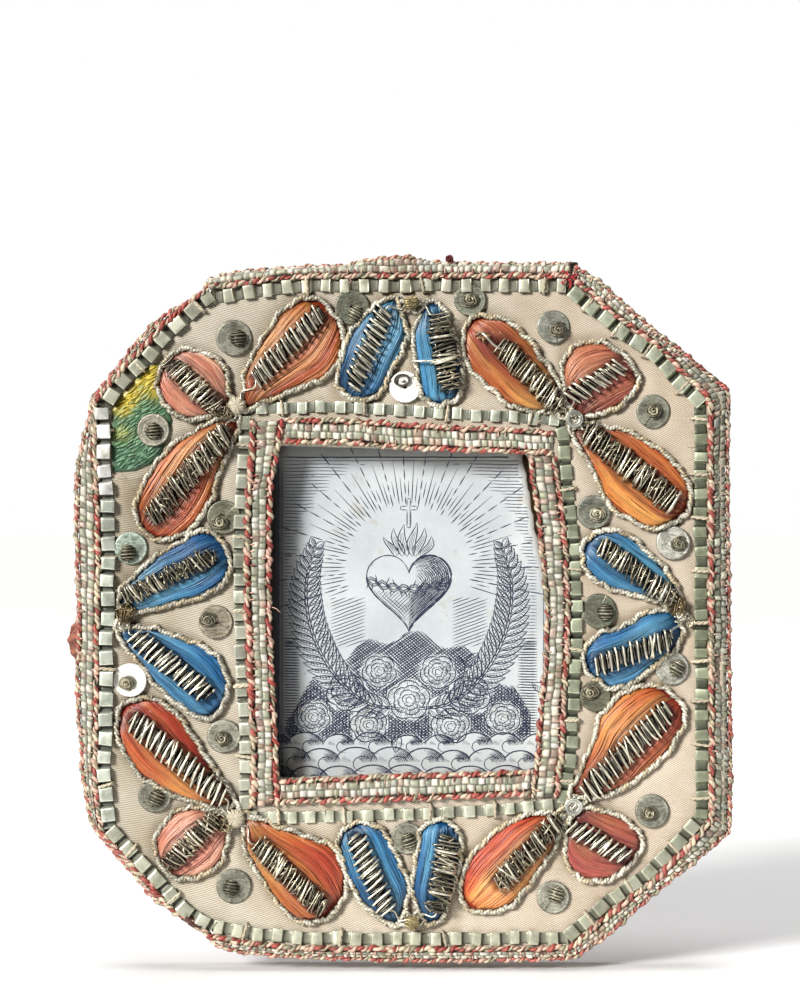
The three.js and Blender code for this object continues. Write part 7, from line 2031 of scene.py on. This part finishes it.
    # palm sprays either side
    leaves = []
    for sgn in (-1, 1):
        ctrl = A([[0.9 + sgn * 1.0, -15.0], [0.9 + sgn * 6.5, -14.0], [0.9 + sgn * 11.5, -9.5], [0.9 + sgn * 14.8, -3.0], [0.9 + sgn * 15.6, 4.0], [0.9 + sgn * 14.0, 10.5]])
        stem = resample(crom(ctrl, 14, False), 120)
        T = unit(np.gradient(stem, axis=0))
        N = np.stack([-T[:, 1], T[:, 0]], 1)
        for o in (-0.16, 0.16):
            ink.line(stem + N * o, 0.13, (0.05, 0.3), 0.01)
        for k in range(7, 117, 4):
            for s in (-1, 1):
                ln = 4.3 * math.sin(math.pi * (0.14 + 0.80 * k / 120)) ** 0.7
                d = unit(T[k] * 0.9 + N[k] * s * 1.0)
                n2 = np.array([-d[1], d[0]])
                u = np.linspace(0, 1, 10)
                ax = stem[k] + d * (u * ln)[:, None] - n2 * (s * 0.35 * u**2)[:, None]
                w = 0.62 * np.sin(np.pi * u**0.8)
                up, dn = ax + n2 * w[:, None], ax - n2 * w[:, None]
                poly = np.vstack([up, dn[::-1]])
                leaves.append(poly)
                ink.line(up, 0.11, (0.15, 0.15), 0.01)
                ink.line(dn, 0.14, (0.15, 0.15), 0.01)
                ink.line(ax, 0.07, (0.1, 0.3), 0.01)
                for q in np.linspace(0.15, 0.9, 7):
                    i = int(q * 9)
                    ink.line([ax[i], dn[i] + d * 0.25], 0.10, (0.05, 0.2), 0)
    taken += leaves
    # roses in a sheaf below
    roses = []
    for (x, z, R) in ((-8.6, -12.4, 3.1), (10.2, -12.8, 3.2), (-3.6, -9.2, 2.7), (5.3, -9.3, 2.8), (0.9, -13.6, 3.3), (-13.6, -16.2, 2.6), (15.2, -16.4, 2.7), (-5.2, -17.4, 2.9), (7.2, -17.6, 3.0)):
        c = A([x, z])
        n = 72
        t = np.linspace(0, 2 * np.pi, n, endpoint=False)
        rim = R * (0.90 + 0.13 * np.abs(np.sin(2.5 * t + x)))
        roses.append(np.column_stack([x + rim * np.cos(t), z + rim * 0.92 * np.sin(t)]))
        for ring, (q, lobes) in enumerate(((0.97, 5), (0.74, 5), (0.52, 4), (0.32, 3))):
            for k in range(lobes):
                a0 = 2 * np.pi * k / lobes + ring * 0.9 + x
                tt = np.linspace(a0, a0 + 2 * np.pi / lobes * 1.12, 14)
                rr = R * q * (0.86 + 0.17 * np.sin(np.linspace(0, np.pi, 14)))
                P = np.column_stack([x + rr * np.cos(tt), z + 0.92 * rr * np.sin(tt)])
                ink.line(P, 0.15 - 0.012 * ring, (0.12, 0.12), 0.01)
                for h in np.linspace(0.12, 0.88, 9):
                    i = int(h * 13)
                    side = 0.10 + 0.20 * r.rand() + 0.12 * (math.cos(tt[i] + 0.8) > 0)
                    ink.line([P[i], c + (P[i] - c) * (1 - side)], 0.085, (0.02, 0.7), 0)
        ink.arcs(c, R * 0.16, 0, 5.2, 0.13, taper=(0.1, 0.1), wobble=0.01)
    # sepals and small leaves behind the roses
    for k in range(30):
        x, z = r.uniform(-18, 20), r.uniform(-19.5, -8.5)
        a = r.uniform(0, 2 * np.pi)
        d = A([math.cos(a), math.sin(a)])
        n2 = A([-d[1], d[0]])
        u = np.linspace(0, 1, 10)
        ax = A([x, z]) + d * (u * 3.2)[:, None]
        w = 0.75 * np.sin(np.pi * u)
        q = np.vstack([ax + n2 * w[:, None], (ax - n2 * w[:, None])[::-1]])
        free = ~np.any([inside(q, p) for p in roses], axis=0)
        if free.all() and not any(inside(q, p).any() for p in leaves[::2]):
            ink.line(ax + n2 * w[:, None], 0.12, (0.1, 0.1), 0.01)
            ink.line(ax - n2 * w[:, None], 0.14, (0.1, 0.1), 0.01)
            ink.line(ax, 0.08, (0.1, 0.3), 0.01)
            for i in range(2, 9):
                ink.line([ax[i], ax[i] + (d * 0.3 - n2 * w[i])], 0.075, (0.02, 0.3), 0)
            leaves.append(q)
    taken += roses
    # a bank of cloud at the foot
    clouds = []
    for row, (z, R, n) in enumerate(((-20.6, 2.6, 9), (-23.2, 2.9, 9), (-26.0, 3.0, 9))):
        for k in range(n):
            x = -19.5 + 5.0 * k + (2.4 if row % 2 else 0) + r.uniform(-0.4, 0.4)
            RR = R * r.uniform(0.85, 1.15)
            ink.arcs((x, z), RR, 0.12, np.pi - 0.12, 0.17, 0.75, taper=(0.1, 0.1), wobble=0.01)
            ink.arcs((x + RR * 0.3, z - 0.1), RR * 0.45, 0.3, 5.0, 0.12, 0.8, taper=(0.1, 0.4), wobble=0.01)
            for q in np.arange(0.92, 0.25, -0.075):
                ink.arcs((x, z), RR * q, 0.1, 1.45 - 0.3 * r.rand(), 0.12, 0.75, taper=(0.1, 0.6), wobble=0.01)
                if q < 0.75:
                    ink.arcs((x, z), RR * q, 2.4, 3.0, 0.06, 0.75, taper=(0.3, 0.3), wobble=0.01)
            t = np.linspace(0, 2 * np.pi, 40, endpoint=False)
            clouds.append(np.column_stack([x + RR * np.cos(t), z + RR * 0.75 * np.sin(t)]))
    # shading between: dense among the flowers, open above
    allp = taken + clouds

    def free(q):
        b = np.ones(len(q), bool)
        for poly in allp:
            lo, hi = poly.min(0) - 0.1, poly.max(0) + 0.1
            near_ = b & (q[:, 0] > lo[0]) & (q[:, 0] < hi[0]) & (q[:, 1] > lo[1]) & (q[:, 1] < hi[1])
            if near_.any():
                b[near_] = ~inside(q[near_], poly)
        return b

    def low(q):
        return free(q) & (q[:, 1] < -5.2 - 0.035 * (q[:, 0] - 0.9) ** 2 + 1.5 + 0.9 * np.sin(q[:, 0] * 0.8)) & (np.abs(q[:, 0] - 0.9) < 18.6)
    ink.hatch(low, (-18.5, -21, 21, -3), 0.6, 0.34, 0.155)
    ink.hatch(low, (-18.5, -21, 21, -3), -0.75, 0.38, 0.14)
    ink.hatch(low, (-18.5, -21, 21, -3), 1.55, 0.50, 0.13, dens=lambda p: float(np.clip((-7.5 - p[1]) / 5, 0, 1)))

    def sky(q):
        rad = np.hypot(q[:, 0] - gc[0], q[:, 1] - gc[1])
        return free(q) & (rad > 17.4 + 0.5 * np.sin(np.arctan2(q[:, 1] - gc[1], q[:, 0] - gc[0]) * 31)) & (q[:, 1] > -6)
    ink.hatch(sky, (-18.3, -6, 20.5, 22.6), 0.0, 0.50, 0.095, wave=0.05)
    ink.hatch(lambda q: free(q) & (q[:, 1] < -4) & (q[:, 1] > -19) & (np.abs(q[:, 0] - 0.9) > 16.5), (-18.3, -19, 20.5, -4), 0.0, 0.42, 0.14, wave=0.05)
    ink.hatch(lambda q: free(q) & (q[:, 1] < 2.0) & (q[:, 1] > -5.5) & (np.abs(q[:, 0] - 0.9) > 6.5) & (np.abs(q[:, 0] - 0.9) < 12.0), (-12, -5.5, 13.5, 2), 0.35, 0.50, 0.10)
    # ruled border
    for o, w in ((0.0, 0.15), (0.55, 0.08)):
        x0, x1, z1 = -18.9 + o, 21.9 - o, 23.3 - o
        ink.line([[x0, -27], [x0, z1]], w, (0.01, 0.01), 0.02)
        ink.line([[x0, z1], [x1, z1]], w, (0.01, 0.01), 0.02)
        ink.line([[x1, z1], [x1, -27]], w, (0.01, 0.01), 0.02)

    groups = {}
    for Q, W in ink.lines:
        ok = (Q[:, 0] < paper_right(Q[:, 1]) - 0.5) & (Q[:, 0] > -22.4) & (np.abs(Q[:, 1]) < 27.4)
        run = np.flatnonzero(np.diff(np.concatenate([[0], ok.astype(int), [0]])))
        for a, b in zip(run[::2], run[1::2]):
            if b - a >= 2:
                q, w = Q[a:b], W[a:b]
                if b - a == 2:
                    q, w = resample(q, 3), np.interp([0, 0.5, 1], [0, 1], w)
                groups.setdefault(len(q), []).append((q, w))
    out = Bag()
    for n, items in sorted(groups.items()):
        q = A([i[0] for i in items])
        w = A([i[1] for i in items])
        P = np.concatenate([q, (paper_d(q[..., 0], q[..., 1]) + 0.055)[..., None]], -1)
        tubes(out, P, w * 0.5, 4, ref=(0, 0, 1), flat=0.22, roll=0.0)
    print("ink lines", len(ink.lines), "vertices", out.n)
    return out.make("print_ink", M["ink"], "printed_paper", [])


# ------------------------------------------------------------------ odds and ends that show
def make_extras(M):
    r = rng(101)
    bag = Bag()
    maroon, russet = lin(96, 30, 34), lin(158, 74, 48)
    # a dark knot of thread on the top edge
    tangle(bag, A([6.95, 53.0]), 0.55, 0.45, 7.9, 0.5, 22, r, maroon, 0.15, 2)
    # a tuft where the top braid's end is cut and turned down
    for _ in range(16):
        a = A([25.2, 50.2]) + r.normal(0, 0.25, 2)
        b = a + A([r.uniform(-0.9, 0.7), r.uniform(-1.8, 1.4)])
        P = crom(np.column_stack([np.stack([a, (a + b) / 2 + r.normal(0, 0.25, 2), b]), [8.6, 8.9 + 0.2 * r.rand(), 8.2 + 0.4 * r.rand()]]), 6, False)
        tubes(bag, P[None], np.full((1, len(P)), 0.10), 5, ref=(0.3, 0.1, 1), C=(lin(196, 62, 66) if r.rand() < 0.7 else lin(84, 40, 36)) * r.uniform(0.7, 1.2))
    # the braid's turned end, coloured dark as painted shade in its fold
    for k in range(7):
        z = 49.7 + 0.42 * k
        P = crom(A([[24.9, z, 8.3], [25.9, z + 0.1, 8.0 - 0.12 * k], [26.1, z + 0.05, 7.3 - 0.12 * k], [25.5, z, 6.8 - 0.1 * k]]), 6, False)
        tubes(bag, P[None], np.full((1, len(P)), 0.24), 6, ref=(0.1, 1, 0.1), C=lin(70, 62, 50) * r.uniform(0.7, 1.5))
    # where the left side's edge has let go: loops of russet thread stand out from it
    m, n = 30, 26
    u, w = np.meshgrid(np.linspace(0, np.pi, m)[1:-1], np.linspace(0, 2 * np.pi, n, endpoint=False), indexing="ij")
    folds = 0.09 * np.sin(9 * u + 2.2 * np.sin(w)) * np.sin(u) + 0.05 * np.sin(17 * u + 3 * w)
    rr = 1 + folds
    X = -48.7 - 1.75 * np.sin(u) ** 1.2 * np.cos(w) * rr
    Z = -4.4 + 3.2 * np.cos(u)
    D = 5.6 + 1.9 * np.sin(u) * np.sin(w) * rr
    V = np.vstack([np.stack([X, Z, D], -1).reshape(-1, 3), [[-48.5, -4.4 + 3.3, 5.6]], [[-48.5, -4.4 - 3.3, 5.6]]])
    Q = grid_faces(m - 2, n, False, True)
    j = np.arange(n)
    T = np.vstack([np.stack([j, (j + 1) % n, np.full(n, (m - 2) * n)], 1), np.stack([(m - 3) * n + (j + 1) % n, (m - 3) * n + j, np.full(n, (m - 2) * n + 1)], 1)])
    Q, T = orient(V, Q, T)
    # painted shade: the cloth is darker in the hollows of its folds
    shade = np.clip(0.5 + 5 * folds, 0.15, 1.0).reshape(-1, 1)
    C = np.vstack([lin(84, 46, 46)[None] * (1 - shade) + lin(166, 104, 82)[None] * shade, [russet], [russet]])
    bag.add(V, Q, T, C)
    for k in range(5):
        z0, z1 = -1.6 - 0.3 * k * r.rand(), -7.0 + 0.4 * k * r.rand()
        d = 4.6 + 0.55 * k
        P = crom(A([[-48.6, z0, d], [-49.2, z0 - 1.0, d + 0.2], [-49.75 - 0.1 * r.rand(), (z0 + z1) / 2, d + 0.1], [-49.2, z1 + 1.1, d - 0.1], [-48.5, z1, d]]), 9, False)
        tubes(bag, P[None], np.full((1, len(P)), 0.09), 5, ref=(0.1, 0.2, 1), C=lin(170, 116, 104) * r.uniform(0.7, 1.1))
    # frayed ends by the window and over the cloth
    for (x, z, a, ln, col) in ((-19.6, 0.6, -0.35, 1.6, PINK), (-24.3, 12.4, 0.5, 1.0, PINK), (44.2, 24.6, 3.0, 1.6, lin(84, 78, 66)), (24.6, -2.0, 2.9, 1.7, lin(206, 196, 168)), (-41.9, 20.3, 2.9, 1.5, PINK * 0.9),
                               (20.0, 28.2, 0.8, 1.5, PINK), (-8.0, 49.2, 1.4, 0.9, PINK), (33.0, 37.5, -0.6, 1.2, lin(206, 196, 168))):
        t = np.linspace(0, 1, 12)
        P = np.column_stack([x + ln * t * math.cos(a) + 0.2 * np.sin(4 * t), z + ln * t * math.sin(a) + 0.15 * np.sin(5 * t + 1), 8.5 + 0.5 * np.sin(np.pi * t * 0.8)])
        tubes(bag, P[None], (0.07 * (1 - 0.5 * t))[None], 5, ref=(0.3, 0.1, 1), C=col)
    return bag.make("loose_threads", M["thread"], "metal_braid")


# ------------------------------------------------------------------ light, floor and camera
def make_stage(M):
    sc = bpy.context.scene
    sc.view_settings.view_transform = "Standard"
    world = bpy.data.worlds.new("studio")
    sc.world = world
    world.use_nodes = True
    t = world.node_tree
    t.nodes.clear()
    out = t.nodes.new("ShaderNodeOutputWorld")
    mix = t.nodes.new("ShaderNodeMixShader")
    lp = t.nodes.new("ShaderNodeLightPath")
    soft, seen = t.nodes.new("ShaderNodeBackground"), t.nodes.new("ShaderNodeBackground")
    soft.inputs["Color"].default_value = (1.0, 1.0, 1.0, 1)
    soft.inputs["Strength"].default_value = AMBIENT
    seen.inputs["Color"].default_value = (1, 1, 1, 1)
    seen.inputs["Strength"].default_value = 1.0
    t.links.new(lp.outputs["Is Camera Ray"], mix.inputs[0])
    t.links.new(soft.outputs[0], mix.inputs[1])
    t.links.new(seen.outputs[0], mix.inputs[2])
    t.links.new(mix.outputs[0], out.inputs["Surface"])

    def area(name, at, size, power, colour=(1, 1, 1)):
        li = bpy.data.lights.new(name, "AREA")
        li.shape, li.size, li.energy, li.color = "DISK", size, power, colour
        o = bpy.data.objects.new(name, li)
        sc.collection.objects.link(o)
        o.location = at
        from mathutils import Vector
        o.rotation_euler = (Vector((0, 0, 0)) - Vector(at)).to_track_quat("-Z", "Y").to_euler()
        return o
    area("key", (-0.46, -0.52, 0.56), KEY_SIZE, KEY, (1.0, 0.985, 0.96))
    area("fill", (0.60, -0.62, 0.10), 0.6, FILL, (0.94, 0.97, 1.0))
    li = bpy.data.lights.new("daylight", "SUN")
    li.energy, li.angle, li.color = SUN, 0.30, (1.0, 0.99, 0.97)
    o = bpy.data.objects.new("daylight", li)
    sc.collection.objects.link(o)
    from mathutils import Vector
    o.rotation_euler = Vector((0.58, 0.72, -0.36)).to_track_quat("-Z", "Y").to_euler()
    li = bpy.data.lights.new("overhead", "SUN")
    li.energy, li.angle = OVERHEAD, 0.6
    o = bpy.data.objects.new("overhead", li)
    sc.collection.objects.link(o)
    o.rotation_euler = Vector((0.05, 0.05, -1.0)).to_track_quat("-Z", "Y").to_euler()
    area("back", (0.25, 0.75, 0.55), 0.6, BACK, (1, 1, 1))

    # a floor under the piece, just clear of it
    r = rng(1)
    m = Mat("pale_floor", Specular_IOR_Level=0.1)
    grain = m.noise(30, 3)
    floor_mat = m.done(Base_Color=m.mix(m.ramp(grain, [(0.3, 0.0), (0.7, 1.0)]), (0.93, 0.93, 0.925), (0.96, 0.96, 0.96)), Roughness=m.math("ADD", m.math("MULTIPLY", grain, 0.05), 0.85))
    me = bpy.data.meshes.new("floor")
    z = FLOOR * 0.001
    me.from_pydata([(-2, -0.13, z), (2, -0.13, z), (2, 5, z), (-2, 5, z)], [], [(0, 1, 2, 3)])
    me.materials.append(floor_mat)
    o = bpy.data.objects.new("floor", me)
    sc.collection.objects.link(o)

    cam = bpy.data.cameras.new("camera")
    cam.type, cam.lens, cam.sensor_width, cam.clip_start = "PERSP", 100, 36, 0.01
    c = bpy.data.objects.new("camera", cam)
    sc.collection.objects.link(c)
    c.location = (-0.00045, -(0.41667 + 0.0078), 0.0168)
    c.rotation_euler = (math.pi / 2, 0, 0)
    sc.camera = c


AMBIENT, SUN, OVERHEAD, KEY, KEY_SIZE, FILL, BACK = 0.035, 4.5, 1.7, 0.6, 0.30, 0.02, 2.0
FLOOR = -53.75


def main():
    M = make_materials()
    make_stage(M)
    for name, mat in (("back_board", "card"), ("front_board", "card")):
        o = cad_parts[name] if not isinstance(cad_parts[name], str) else bpy.data.objects[name]
        for s in o.material_slots:
            s.material = M[mat]
    make_front_cloth(M)
    make_back_cloth(M)
    make_side_seam(M)
    make_strips(M)
    make_outer_braids(M)
    make_inner_braids(M)
    for i, (name, m) in enumerate(MOTIFS.items()):
        make_petals(M, name, m, 200 + i)
        make_cords(M, name, m, 300 + i)
        make_purl(M, name, m, 400 + i)
    make_sequins(M)
    make_leaf(M)
    make_paper(M)
    make_print_design(M)
    make_extras(M)


main()
